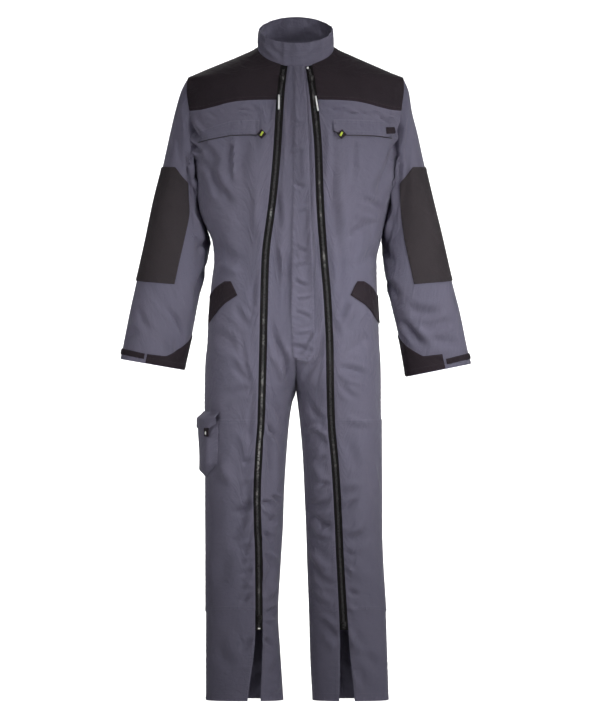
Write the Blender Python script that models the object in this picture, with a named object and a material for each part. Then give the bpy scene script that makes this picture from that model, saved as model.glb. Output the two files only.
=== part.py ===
"""Boiler suit with two long front zips, made of separate cut pieces on one hollow, filled-out form.

Metres, +Z up.  The suit faces -Y, and -X is the wearer's right.  The origin is at the base of the
neck, midway between the shoulders, where the wearer holds the suit up.

The body is one surface for each half.  A point of it is given by u and z: u runs round the half
from the centre front (0), over the front crest (1), the side seam (2) and the back crest (3) to the
centre back (4).  Below the crotch 0 and 4 meet at the inseam.  The sleeve is a surface in v, from
the armhole (0) to the hem (1), and an angle from its top edge round over the front.
"""

import math
from collections import namedtuple

import bmesh
import bpy
import numpy as np
from mathutils import Matrix, Vector

# ---------------------------------------------------------------------------------- sizes

RIGHT = -1
LEFT = 1
SIDES = {RIGHT: "right", LEFT: "left"}

SEAM_GAP = 0.0003
CLOTH = 0.0012
COLLAR_CLOTH = 0.0020
ZIP_TAPE = 0.0010
ZIP_SINK = 0.0002
LAY_GAP = 0.0008
ROUND = 0.87
SLEEVE_ROUND = 0.92
FRONT_SEAM = 1.9999
BACK_SEAM = 2.0001

HEM_Z = -1.498
ZIP_END_Z = -1.333
SHIN_SEAM_Z = -1.289
KNEE_SEAM_Z = -0.843
CROTCH_Z = -0.781
FORK_Z = -0.700
UNDERARM_Z = -0.272
YOKE_Z = -0.104
ZIP_TOP_Z = -0.019

NECK_HALF_WIDTH = 0.0885
NECK_SIDE_Z = 0.0233
NECK_FRONT_Z = -0.0225
NECK_BACK_Z = 0.0400
COLLAR_SIDE_Z = 0.0630
COLLAR_TILT = 0.0335
COLLAR_RIM_HALF_WIDTH = 0.0850
COLLAR_RIM_TAPER = 0.94
COLLAR_SWELL = 0.0022
COLLAR_STAND = 0.0009

SHOULDER_TIP_Z = -0.0513
ARMHOLE_STEPS = 20
ARMHOLE_YOKE_STEP = 4
ARMHOLE_FRONT_REACH = 0.26
ARMHOLE_BACK_REACH = 0.24

BodyRow = namedtuple("BodyRow", "z right_out left_out right_in left_in crest front back front_in back_in")
BODY_ROWS = (
    BodyRow(0.0400, 0.0740, 0.0740, 0.0000, 0.0000, 0.045, 0.022, 0.065, -0.022, 0.065),
    BodyRow(0.0351, 0.0800, 0.0800, 0.0000, 0.0000, 0.045, 0.025, 0.069, -0.025, 0.069),
    BodyRow(0.0233, 0.0885, 0.0885, 0.0000, 0.0000, 0.045, 0.036, 0.078, -0.036, 0.078),
    BodyRow(0.0010, 0.1330, 0.1330, 0.0000, 0.0000, 0.048, 0.057, 0.088, -0.057, 0.088),
    BodyRow(-0.0156, 0.1735, 0.1710, 0.0000, 0.0000, 0.050, 0.071, 0.095, -0.071, 0.095),
    BodyRow(-0.0373, 0.2260, 0.2210, 0.0000, 0.0000, 0.052, 0.091, 0.103, -0.091, 0.103),
    BodyRow(-0.0513, 0.2530, 0.2510, 0.0000, 0.0000, 0.055, 0.100, 0.107, -0.100, 0.107),
    BodyRow(-0.0955, 0.2630, 0.2590, 0.0000, 0.0000, 0.055, 0.119, 0.117, -0.119, 0.117),
    BodyRow(-0.1420, 0.2600, 0.2575, 0.0000, 0.0000, 0.055, 0.130, 0.123, -0.130, 0.123),
    BodyRow(-0.2167, 0.2490, 0.2470, 0.0000, 0.0000, 0.055, 0.138, 0.127, -0.138, 0.127),
    BodyRow(-0.2719, 0.2405, 0.2370, 0.0000, 0.0000, 0.055, 0.139, 0.125, -0.139, 0.125),
    BodyRow(-0.3658, 0.2230, 0.2120, 0.0000, 0.0000, 0.055, 0.134, 0.116, -0.134, 0.116),
    BodyRow(-0.4334, 0.1940, 0.1960, 0.0000, 0.0000, 0.055, 0.128, 0.110, -0.128, 0.110),
    BodyRow(-0.4730, 0.1905, 0.1875, 0.0000, 0.0000, 0.057, 0.126, 0.112, -0.126, 0.112),
    BodyRow(-0.5243, 0.1965, 0.1880, 0.0000, 0.0000, 0.060, 0.126, 0.119, -0.126, 0.119),
    BodyRow(-0.6128, 0.2045, 0.1915, 0.0000, 0.0000, 0.072, 0.128, 0.131, -0.128, 0.131),
    BodyRow(-0.6687, 0.2065, 0.1935, 0.0000, 0.0000, 0.082, 0.130, 0.134, -0.130, 0.134),
    BodyRow(-0.7000, 0.2100, 0.1960, 0.0000, 0.0000, 0.090, 0.130, 0.133, -0.130, 0.126),
    BodyRow(-0.7250, 0.2115, 0.1970, 0.0000, 0.0000, 0.094, 0.129, 0.131, -0.096, 0.104),
    BodyRow(-0.7500, 0.2122, 0.1974, 0.0000, 0.0000, 0.098, 0.128, 0.129, -0.056, 0.074),
    BodyRow(-0.7700, 0.2125, 0.1975, 0.0000, 0.0000, 0.100, 0.126, 0.126, -0.018, 0.036),
    BodyRow(-0.7810, 0.2127, 0.1975, 0.0005, 0.0005, 0.101, 0.124, 0.123, 0.008, 0.008),
    BodyRow(-0.8039, 0.2130, 0.1975, 0.0085, 0.0035, 0.104, 0.118, 0.117, 0.008, 0.008),
    BodyRow(-0.8551, 0.2115, 0.1980, 0.0163, 0.0093, 0.109, 0.110, 0.108, 0.007, 0.007),
    BodyRow(-0.9413, 0.2100, 0.1985, 0.0233, 0.0163, 0.113, 0.100, 0.096, 0.005, 0.005),
    BodyRow(-1.0252, 0.2100, 0.1990, 0.0280, 0.0200, 0.115, 0.091, 0.088, 0.003, 0.003),
    BodyRow(-1.0951, 0.2098, 0.1990, 0.0303, 0.0233, 0.116, 0.085, 0.084, 0.002, 0.002),
    BodyRow(-1.1720, 0.2095, 0.2015, 0.0350, 0.0256, 0.118, 0.080, 0.080, 0.001, 0.001),
    BodyRow(-1.2978, 0.2095, 0.2090, 0.0415, 0.0303, 0.121, 0.074, 0.075, 0.000, 0.000),
    BodyRow(-1.3864, 0.2095, 0.2120, 0.0365, 0.0326, 0.121, 0.071, 0.073, 0.000, 0.000),
    BodyRow(-1.4980, 0.2095, 0.2155, 0.0291, 0.0382, 0.121, 0.069, 0.071, 0.000, 0.000),
)

ZipRow = namedtuple("ZipRow", "z right_x left_x right_half left_half")
ZIP_ROWS = (
    ZipRow(-0.0190, 0.0270, 0.0290, 0.0080, 0.0080),
    ZipRow(-0.0700, 0.0335, 0.0372, 0.0088, 0.0088),
    ZipRow(-0.1340, 0.0384, 0.0443, 0.0092, 0.0092),
    ZipRow(-0.2140, 0.0431, 0.0513, 0.0092, 0.0092),
    ZipRow(-0.3330, 0.0536, 0.0555, 0.0092, 0.0092),
    ZipRow(-0.4730, 0.0708, 0.0652, 0.0092, 0.0092),
    ZipRow(-0.5545, 0.0734, 0.0722, 0.0092, 0.0092),
    ZipRow(-0.6687, 0.0757, 0.0778, 0.0092, 0.0092),
    ZipRow(-0.7666, 0.0781, 0.0792, 0.0090, 0.0090),
    ZipRow(-0.8458, 0.0806, 0.0816, 0.0090, 0.0090),
    ZipRow(-0.9413, 0.0870, 0.0900, 0.0090, 0.0090),
    ZipRow(-1.0252, 0.0902, 0.0955, 0.0090, 0.0090),
    ZipRow(-1.1720, 0.0862, 0.1025, 0.0090, 0.0090),
    ZipRow(-1.3330, 0.0857, 0.1114, 0.0088, 0.0100),
    ZipRow(-1.4980, 0.0974, 0.1185, 0.0150, 0.0178),
)

ContourRow = namedtuple("ContourRow", "right_x right_z left_x left_z")
SLEEVE_TOP_EDGE = (
    ContourRow(0.2530, -0.0513, 0.2510, -0.0513),
    ContourRow(0.2670, -0.0780, 0.2630, -0.0816),
    ContourRow(0.2795, -0.1190, 0.2710, -0.1305),
    ContourRow(0.2930, -0.1750, 0.2825, -0.1750),
    ContourRow(0.3100, -0.2520, 0.2985, -0.2480),
    ContourRow(0.3310, -0.3350, 0.3215, -0.3450),
    ContourRow(0.3495, -0.4240, 0.3370, -0.4080),
    ContourRow(0.3710, -0.5200, 0.3615, -0.5150),
    ContourRow(0.3870, -0.5920, 0.3820, -0.5950),
    ContourRow(0.4040, -0.6780, 0.4010, -0.6870),
    ContourRow(0.4090, -0.7040, 0.4080, -0.7150),
)
SLEEVE_UNDER_EDGE = (
    ContourRow(0.2405, -0.2719, 0.2370, -0.2719),
    ContourRow(0.2425, -0.2950, 0.2405, -0.2950),
    ContourRow(0.2380, -0.3300, 0.2320, -0.3300),
    ContourRow(0.2300, -0.3658, 0.2190, -0.3700),
    ContourRow(0.2160, -0.4000, 0.2080, -0.4050),
    ContourRow(0.2010, -0.4334, 0.2020, -0.4357),
    ContourRow(0.2050, -0.4650, 0.2040, -0.4800),
    ContourRow(0.2240, -0.5500, 0.2160, -0.5500),
    ContourRow(0.2420, -0.6450, 0.2400, -0.6550),
    ContourRow(0.2610, -0.7300, 0.2563, -0.7456),
)

SleeveRow = namedtuple("SleeveRow", "v front back")
SLEEVE_ROWS = (
    SleeveRow(0.00, 0.060, 0.058),
    SleeveRow(0.15, 0.078, 0.074),
    SleeveRow(0.35, 0.076, 0.072),
    SleeveRow(0.55, 0.071, 0.062),
    SleeveRow(0.75, 0.066, 0.048),
    SleeveRow(1.00, 0.060, 0.030),
)
SLEEVE_LENGTH = 0.68
SLEEVE_RADIUS = 0.070
SLEEVE_RINGS = 18
SLEEVE_BLEND = 0.28

Fold = namedtuple("Fold", "x0 z0 x1 z1 width depth")
FRONT_FOLDS = (
    Fold(-0.024, -0.090, -0.005, -0.300, 0.010, -0.0040),
    Fold(-0.034, -0.230, -0.046, -0.780, 0.014, -0.0045),
    Fold(0.027, -0.280, 0.018, -0.420, 0.014, -0.0022),
    Fold(0.024, -0.430, 0.038, -0.640, 0.014, -0.0022),
    Fold(0.090, -0.300, 0.104, -0.560, 0.014, -0.0040),
    Fold(-0.128, -0.300, -0.118, -0.560, 0.022, -0.0050),
    Fold(-0.090, -0.200, -0.100, -0.440, 0.016, 0.0035),
    Fold(-0.215, -0.180, -0.140, -0.300, 0.018, 0.0040),
    Fold(-0.225, -0.230, -0.170, -0.380, 0.016, -0.0040),
    Fold(0.222, -0.190, 0.150, -0.330, 0.018, 0.0040),
    Fold(0.215, -0.250, 0.170, -0.420, 0.016, -0.0040),
    Fold(0.150, -0.440, 0.170, -0.640, 0.018, 0.0035),
    Fold(-0.150, -0.620, -0.090, -0.700, 0.014, -0.0030),
    Fold(0.140, -0.640, 0.090, -0.720, 0.014, -0.0030),
    Fold(-0.150, -0.860, -0.160, -1.180, 0.022, 0.0040),
    Fold(0.150, -0.880, 0.160, -1.200, 0.022, 0.0040),
    Fold(-0.105, -1.040, -0.140, -1.150, 0.015, -0.0040),
    Fold(0.030, -1.040, 0.085, -1.100, 0.014, -0.0035),
    Fold(-0.065, -0.860, -0.050, -1.020, 0.014, -0.0030),
    Fold(0.060, -0.880, 0.050, -1.020, 0.014, 0.0030),
    Fold(0.126, -1.350, 0.185, -1.455, 0.014, 0.0035),
    Fold(-0.150, -1.340, -0.185, -1.450, 0.014, 0.0030),
)
BACK_FOLDS = (
    Fold(-0.060, -0.200, -0.075, -0.520, 0.018, -0.0045),
    Fold(0.075, -0.230, 0.060, -0.500, 0.020, -0.0045),
    Fold(-0.215, -0.190, -0.130, -0.330, 0.018, 0.0045),
    Fold(0.215, -0.200, 0.120, -0.310, 0.018, 0.0045),
    Fold(-0.150, -0.440, -0.070, -0.480, 0.014, -0.0040),
    Fold(0.150, -0.470, 0.060, -0.500, 0.014, -0.0040),
    Fold(-0.040, -0.740, -0.140, -0.840, 0.016, -0.0045),
    Fold(0.040, -0.730, 0.130, -0.850, 0.016, -0.0045),
    Fold(-0.070, -0.980, -0.170, -1.030, 0.016, -0.0045),
    Fold(0.070, -1.000, 0.160, -1.040, 0.016, -0.0045),
    Fold(-0.120, -1.080, -0.115, -1.400, 0.020, 0.0035),
    Fold(0.125, -1.100, 0.130, -1.420, 0.020, 0.0035),
)

SleeveFold = namedtuple("SleeveFold", "v0 angle0 v1 angle1 width depth")
SLEEVE_FOLDS = {
    RIGHT: (
        SleeveFold(0.06, 50, 0.34, 80, 0.014, -0.0030),
        SleeveFold(0.71, 50, 0.82, 150, 0.014, -0.0030),
        SleeveFold(0.72, 220, 0.80, 310, 0.014, -0.0030),
    ),
    LEFT: (
        SleeveFold(0.08, 60, 0.36, 95, 0.014, -0.0030),
        SleeveFold(0.82, 140, 0.76, 45, 0.014, -0.0035),
        SleeveFold(0.82, 220, 0.75, 310, 0.014, -0.0030),
    ),
}

PlacketRow = namedtuple("PlacketRow", "z edge stitched")
PLACKET_ROWS = (
    PlacketRow(-0.0270, -0.0035, 0.0165),
    PlacketRow(-0.1000, -0.0035, 0.0250),
    PlacketRow(-0.2500, -0.0040, 0.0310),
    PlacketRow(-0.4200, -0.0090, 0.0370),
    PlacketRow(-0.5800, -0.0120, 0.0420),
    PlacketRow(-0.6960, -0.0070, 0.0440),
)
PLACKET_TOP_Z = -0.0270
PLACKET_LIFT = 0.0028

YokeRow = namedtuple("YokeRow", "x z")
FRONT_YOKE_EDGE = (
    YokeRow(0.020, -0.1035),
    YokeRow(0.080, -0.1040),
    YokeRow(0.135, -0.1070),
    YokeRow(0.165, -0.1125),
    YokeRow(0.195, -0.1205),
    YokeRow(0.230, -0.1270),
    YokeRow(0.262, -0.1275),
)
BACK_YOKE_Z = -0.150

FlapRow = namedtuple("FlapRow", "x top bottom")
CHEST_FLAPS = {
    RIGHT: (
        FlapRow(0.0850, -0.1510, -0.1850),
        FlapRow(0.1170, -0.1515, -0.1850),
        FlapRow(0.1500, -0.1530, -0.1855),
        FlapRow(0.1880, -0.1640, -0.1925),
        FlapRow(0.2240, -0.1760, -0.2000),
    ),
    LEFT: (
        FlapRow(0.0870, -0.1500, -0.1760),
        FlapRow(0.1100, -0.1500, -0.1855),
        FlapRow(0.1500, -0.1505, -0.1855),
        FlapRow(0.1880, -0.1520, -0.1870),
        FlapRow(0.2220, -0.1550, -0.1910),
    ),
}
FLAP_STEPS = 8
FLAP_TOP_LIFT = LAY_GAP + CLOTH + 0.0004
FLAP_BOTTOM_LIFT = FLAP_TOP_LIFT + 0.0022

TAB_SIZE = 0.016
TAB_CLOTH = 0.0016
TAB_LIFT = FLAP_BOTTOM_LIFT + TAB_CLOTH + 0.0010
TabPlace = namedtuple("TabPlace", "x z turn")
FLAP_TABS = {
    RIGHT: TabPlace(-0.0790, -0.1850, 45.0),
    LEFT: TabPlace(0.1050, -0.1850, 40.0),
}
LabelPlace = namedtuple("LabelPlace", "x z width height turn")
LABEL = LabelPlace(0.2150, -0.1740, 0.0190, 0.0150, 4.0)
LABEL_CLOTH = 0.0008
LABEL_LIFT = FLAP_BOTTOM_LIFT + LABEL_CLOTH + 0.0010

FacingRow = namedtuple("FacingRow", "along upper_x upper_z lower_x lower_z")
HIP_FACING_ROWS = (
    FacingRow(0.00, 0.1500, -0.5235, 0.1350, -0.5560),
    FacingRow(0.25, 0.1640, -0.5235, 0.1510, -0.5665),
    FacingRow(0.50, 0.1770, -0.5320, 0.1660, -0.5775),
    FacingRow(0.75, 0.1870, -0.5400, 0.1800, -0.5925),
    FacingRow(1.00, 0.1985, -0.5560, 0.2020, -0.6220),
)
HIP_FACING_STEPS = 12
HIP_FACING_RISES = 4
HIP_FACING_LEFT_SHIFT = -0.010
FACING_LIFT = LAY_GAP + CLOTH + 0.0008

LAID_SEAM = 1.985
KNEE_CLOTH = 0.0010
KNEE_LIFT = LAY_GAP + KNEE_CLOTH
PATCH_LIFT = LAY_GAP + CLOTH + 0.0006
PATCH_ANGLES = [-117] + list(range(-108, 91, 18)) + [99]
PATCH_RISES = 8
PatchRow = namedtuple("PatchRow", "angle top bottom")
ELBOW_PATCH_ROWS = (
    PatchRow(-117, -0.3000, -0.5260),
    PatchRow(-75, -0.2580, -0.5240),
    PatchRow(0, -0.2570, -0.5210),
    PatchRow(62, -0.2580, -0.5260),
    PatchRow(99, -0.2970, -0.5300),
)
GussetRow = namedtuple("GussetRow", "angle top")
CUFF_GUSSET_ROWS = (
    GussetRow(80, -0.6920),
    GussetRow(108, -0.6970),
    GussetRow(112, -0.6960),
    GussetRow(180, -0.6454),
    GussetRow(236, -0.7050),
)
GUSSET_ANGLES = (80, 90, 99, 108, 117, 126, 144, 162, 180, 198, 216, 234)
GUSSET_RISES = 3
GUSSET_SHORTEST = 0.985
GUSSET_END = 0.997
STRAP_ANGLES = (-70, 76)
STRAP_STEPS = 9
STRAP_BAND = (0.962, 0.983)
STRAP_CLOTH = 0.0016
STRAP_LIFT = LAY_GAP + CLOTH + 0.0006

CARGO_U = (1.44, 2.58)
CARGO_TOP_Z = -0.846
CARGO_BOTTOM_Z = -0.976
CARGO_CORNER = 0.026
CARGO_DEPTH = 0.0130
CARGO_EDGE_LIFT = KNEE_LIFT + 0.0020
CARGO_SHARES = (0.0, 0.05, 0.17, 0.34, 0.5, 0.66, 0.83, 0.95, 1.0)
CARGO_RISES = (0.0, 0.07, 0.16, 0.4, 0.7, 1.0)
CARGO_FLAP_TOP_Z = -0.8250
CARGO_FLAP_DROP = 0.0390
CARGO_FLAP_SIDE_DROP = 0.72
CARGO_FLAP_STAND = CARGO_DEPTH + 0.0035
CARGO_FLAP_WRAP = 0.0060
CARGO_FLAP_OVERHANG = 0.02
CargoTab = namedtuple("CargoTab", "u z turn height")
CARGO_TAB = CargoTab(1.56, -0.8720, 0.090, 0.020)
CARGO_TAB_LIFT = CARGO_EDGE_LIFT + CARGO_FLAP_STAND + TAB_CLOTH + 0.0010

SLIDER_SIZE = Vector((0.0100, 0.0160, 0.0040))
SLIDER_FOOT = 0.72
SLIDER_EDGE = 0.0003
SLIDER_REST = SLIDER_SIZE.z / 2 + LAY_GAP + 0.0006
BRIDGE_INSET = 0.0028
BRIDGE_RISE = 0.0022
HINGE_DROP = 0.0060
HINGE_LIFT = SLIDER_SIZE.z + BRIDGE_RISE + LAY_GAP + 0.0020
TOP_SLIDER_Z = -0.0560
ANKLE_SLIDER_Z = {RIGHT: -1.3060, LEFT: -1.3220}
CORD_START = 0.0016
PULL_CORD_RADIUS = 0.0011
PULL_SIDES = 10
PULL_GRIP_RADIUS = 0.0020
PullPlace = namedtuple("PullPlace", "grip_x grip_z end_x end_z")
ZIP_PULLS = {
    RIGHT: PullPlace(-0.0395, -0.0950, -0.0398, -0.1285),
    LEFT: PullPlace(0.0455, -0.0980, 0.0510, -0.1320),
}
PULL_LIFT = 0.0080

LEG_LEVELS = (
    (HEM_Z, ZIP_END_Z, 4),
    (ZIP_END_Z, SHIN_SEAM_Z, 1),
    (SHIN_SEAM_Z, KNEE_SEAM_Z, 11),
    (KNEE_SEAM_Z, CROTCH_Z, 2),
    (CROTCH_Z, FORK_Z, 5),
    (FORK_Z, UNDERARM_Z, 10),
)
ARMHOLE_LEVELS = 6
YOKE_LEVELS = 4
SIDE_FRONT_COLUMNS = 6
CENTRE_FRONT_COLUMNS = 5
BACK_COLUMNS = 8
BACK_YOKE_COLUMNS = 8
COLLAR_STEPS = 34
COLLAR_RISE_STEPS = 3
COLLAR_START = -19.0
COLLAR_END = 373.0
COLLAR_LAP = 0.0030
COLLAR_LAP_FADE = (18.0, 48.0)

COLOURS = {
    "grey": ((0.155, 0.148, 0.195), 0.85, 0.0),
    "black": ((0.022, 0.020, 0.022), 0.80, 0.0),
    "tape": ((0.010, 0.010, 0.010), 0.70, 0.0),
    "metal": ((0.035, 0.035, 0.036), 0.35, 1.0),
    "white": ((0.780, 0.780, 0.770), 0.45, 0.0),
}


# ------------------------------------------------------------------------ curves and tables

class Columns:
    """Smooth curves through a table's rows, one for each column after the first."""

    def __init__(self, rows):
        ordered = sorted(rows, key=lambda row: row[0])
        self.keys = np.array([row[0] for row in ordered])
        self.curves = {}
        for index, name in enumerate(ordered[0]._fields[1:], start=1):
            values = np.array([row[index] for row in ordered])
            self.curves[name] = (values, self.slopes(values))

    def slopes(self, values):
        """Slope at each row, flat where a column turns, so that no curve overshoots its rows."""
        rises = np.diff(values) / np.diff(self.keys)
        slopes = np.zeros(len(values))
        slopes[0] = rises[0]
        slopes[-1] = rises[-1]
        for i in range(1, len(values) - 1):
            if rises[i - 1] * rises[i] > 0:
                slopes[i] = 2 * rises[i - 1] * rises[i] / (rises[i - 1] + rises[i])
        return slopes

    def at(self, name, key):
        """Value of one column at a key, held at its end values beyond the table."""
        values, slopes = self.curves[name]
        key = min(max(key, self.keys[0]), self.keys[-1])
        i = min(int(np.searchsorted(self.keys, key, side="right")) - 1, len(values) - 2)
        span = self.keys[i + 1] - self.keys[i]
        t = (key - self.keys[i]) / span
        near = values[i] * (1 + 2 * t) * (1 - t) ** 2 + span * slopes[i] * t * (1 - t) ** 2
        far = values[i + 1] * t * t * (3 - 2 * t) + span * slopes[i + 1] * t * t * (t - 1)
        return float(near + far)


BODY = Columns(BODY_ROWS)
ZIPS = Columns(ZIP_ROWS)
PLACKET = Columns(PLACKET_ROWS)
YOKE_EDGE = Columns(FRONT_YOKE_EDGE)
SLEEVE_DEPTH = Columns(SLEEVE_ROWS)
ELBOW_PATCH = Columns(ELBOW_PATCH_ROWS)
CUFF_GUSSET = Columns(CUFF_GUSSET_ROWS)
HIP_FACING = Columns(HIP_FACING_ROWS)


def ease(value, low, high):
    """Smooth step from 0 at low to 1 at high."""
    t = min(max((value - low) / (high - low), 0.0), 1.0)
    return t * t * (3 - 2 * t)


def mix(a, b, t):
    """Value at t of the way from a to b."""
    return a + (b - a) * t


def spaced(start, end, steps):
    """Evenly spaced values, both ends in."""
    return [mix(start, end, i / steps) for i in range(steps + 1)]


def levels(spans):
    """Heights through several spans of (from, to, steps), each shared height once."""
    heights = [spans[0][0]]
    for start, end, steps in spans:
        heights += spaced(start, end, steps)[1:]
    return heights


def contour(rows, side):
    """Smooth edge of a sleeve in the XZ plane, by the share of its length."""
    points = [Vector((row.right_x, row.right_z)) if side == RIGHT else Vector((row.left_x, row.left_z))
              for row in rows]
    runs = [0.0]
    for a, b in zip(points, points[1:]):
        runs.append(runs[-1] + (b - a).length)
    Point = namedtuple("Point", "share x z")
    return Columns([Point(run / runs[-1], p.x, p.y) for run, p in zip(runs, points)])


TOP_EDGES = {side: contour(SLEEVE_TOP_EDGE, side) for side in SIDES}
UNDER_EDGES = {side: contour(SLEEVE_UNDER_EDGE, side) for side in SIDES}


# ----------------------------------------------------------------------------- folds in cloth

def fold_share(along, across, width):
    """Height share of a fold: full at its middle, soft to its sides and its two ends."""
    if along < -0.15 or along > 1.15:
        return 0.0
    ends = ease(along, -0.15, 0.25) * (1 - ease(along, 0.75, 1.15))
    return ends * math.exp(-(across / width) ** 2)


def fold_height(folds, x, z):
    """Sum of the folds that run past the point x, z of a front or back view."""
    height = 0.0
    for fold in folds:
        run_x = fold.x1 - fold.x0
        run_z = fold.z1 - fold.z0
        length = math.hypot(run_x, run_z)
        along = ((x - fold.x0) * run_x + (z - fold.z0) * run_z) / length ** 2
        across = ((x - fold.x0) * run_z - (z - fold.z0) * run_x) / length
        height += fold.depth * fold_share(along, across, fold.width)
    return height


def body_fold(side, u, x, z):
    """Fold height on the body, fading out at the side seam, the neck and the inseam."""
    folds = FRONT_FOLDS if u < 2 else BACK_FOLDS
    fade = ease(abs(u - 2), 0.04, 0.40) * (1 - ease(z, -0.100, -0.060))
    if z < FORK_Z + 0.02:
        fade *= ease(u, 0.05, 0.45) * ease(4 - u, 0.05, 0.45)
    return fade * fold_height(folds, x, z)


# ------------------------------------------------------------------------------- body surface

def bare_body(side, u, z):
    """Point of the smooth body, before its folds."""
    outer = BODY.at("right_out" if side == RIGHT else "left_out", z)
    inner = BODY.at("right_in" if side == RIGHT else "left_in", z) + SEAM_GAP / 2
    crest = BODY.at("crest", z)
    quarter = min(max(int(u), 0), 3)
    turn = (u - quarter) * math.pi / 2
    rise = max(math.sin(turn), 0.0) ** ROUND
    fall = max(math.cos(turn), 0.0) ** ROUND
    half_gap = SEAM_GAP / 2
    if quarter < 2:
        front = -BODY.at("front", z)
        front_in = BODY.at("front_in", z) - (half_gap if z <= CROTCH_Z else 0.0)
        if quarter == 0:
            x = crest - (crest - inner) * fall
            y = front_in + (front - front_in) * rise
        else:
            x = crest + (outer - crest) * rise
            y = -half_gap + (front + half_gap) * fall
    else:
        back = BODY.at("back", z)
        back_in = BODY.at("back_in", z) + (half_gap if z <= CROTCH_Z else 0.0)
        if quarter == 2:
            x = crest + (outer - crest) * fall
            y = half_gap + (back - half_gap) * rise
        else:
            x = crest - (crest - inner) * rise
            y = back_in + (back - back_in) * fall
    return Vector((side * x, y, z))


def body_normal(side, u, z):
    """Outward direction of the smooth body, kept in the seam's own plane at the side seam."""
    step_u = 0.03
    step_z = 0.004
    at_seam = FRONT_SEAM <= u <= BACK_SEAM
    low = u - step_u if at_seam else max(u - step_u, 0.0 if u < 2 else 2.0)
    high = u + step_u if at_seam else min(u + step_u, 2.0 if u < 2 else 4.0)
    around = bare_body(side, high, z) - bare_body(side, low, z)
    upward = bare_body(side, u, z + step_z) - bare_body(side, u, z - step_z)
    outward = around.cross(upward) * side
    if at_seam:
        outward.y = 0.0
    return outward.normalized()


def body(side, u, z, lift=0.0):
    """Point of the outer cloth face of the body, moved out by lift."""
    point = bare_body(side, u, z)
    height = body_fold(side, u, point.x, z)
    return point + body_normal(side, u, z) * (height + lift)


def on_front(side):
    """Way to place the spots u, z (and an own height) of a piece that ends at the side seam's front."""
    def place(spot, lift):
        own = spot[2] if len(spot) > 2 else 0.0
        return body(side, min(spot[0], FRONT_SEAM), spot[1], own + lift)
    return place


def on_back(side):
    """Way to place the spots u, z of a piece that ends at the side seam's back."""
    def place(spot, lift):
        return body(side, max(spot[0], BACK_SEAM), spot[1], lift)
    return place


def front_u(side, x, z):
    """Place round the front of the body for a distance x from the centre plane."""
    outer = BODY.at("right_out" if side == RIGHT else "left_out", z)
    inner = BODY.at("right_in" if side == RIGHT else "left_in", z) + SEAM_GAP / 2
    crest = BODY.at("crest", z)
    if x >= crest:
        share = min((x - crest) / (outer - crest), 1.0)
        return 1 + math.asin(share ** (1 / ROUND)) / (math.pi / 2)
    share = min((crest - x) / (crest - inner), 1.0)
    return math.acos(share ** (1 / ROUND)) / (math.pi / 2)


def front(x, z, lift=0.0):
    """Point of the front at a signed x and a height z."""
    side = RIGHT if x < 0 else LEFT
    return body(side, front_u(side, abs(x), z), z, lift)


def across_front(spot, lift):
    """Point of the front for a spot of signed x, z and, where it has one, its own height."""
    own = spot[2] if len(spot) > 2 else 0.0
    return front(spot[0], spot[1], own + lift)


def zip_edge(side, z, outward, clearance=0.0):
    """Place u of the zip's edge: outward 1 for the side front's edge, -1 for the centre front's."""
    return front_u(side, zip_x(side, z, outward, clearance), z)


def neckline(angle, front_side):
    """Height and half width of the neckline at an angle from the front (or from the back)."""
    x = NECK_HALF_WIDTH * math.sin(angle)
    far = NECK_FRONT_Z if front_side else NECK_BACK_Z
    return x, NECK_SIDE_Z + (far - NECK_SIDE_Z) * math.cos(angle)


def neck_uz(side, angle, front_side):
    """Neckline as u and z; the back half mirrors the front's way of measuring round."""
    x, z = neckline(angle, front_side)
    u = front_u(side, x, z)
    return (u, z) if front_side else (4 - u, z)


def armhole_uz(step, shrink=0.0):
    """Armhole as u and z: step 0 is the shoulder tip, then over the front and round under the arm.

    shrink draws the line in towards the arm, for the sleeve's edge.
    """
    angle = 2 * math.pi * step / ARMHOLE_STEPS
    middle = (SHOULDER_TIP_Z + UNDERARM_Z) / 2
    half = (SHOULDER_TIP_Z - UNDERARM_Z) / 2
    reach = ARMHOLE_FRONT_REACH if step <= ARMHOLE_STEPS / 2 else ARMHOLE_BACK_REACH
    share = 1 - shrink / half
    return 2 - reach * share * math.sin(angle), middle + half * share * math.cos(angle)


def neck_z(x):
    """Height of the front neckline at a distance x from the centre plane."""
    return NECK_SIDE_Z + (NECK_FRONT_Z - NECK_SIDE_Z) * math.sqrt(1 - (x / NECK_HALF_WIDTH) ** 2)


def zip_x(side, z, outward, clearance=0.0):
    """Distance from the centre plane of a zip's edge: outward 1 for its outer edge, -1 for its inner."""
    word = SIDES[side]
    return ZIPS.at(f"{word}_x", z) + outward * (ZIPS.at(f"{word}_half", z) + clearance)


# ----------------------------------------------------------------------------- sleeve surface

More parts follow.
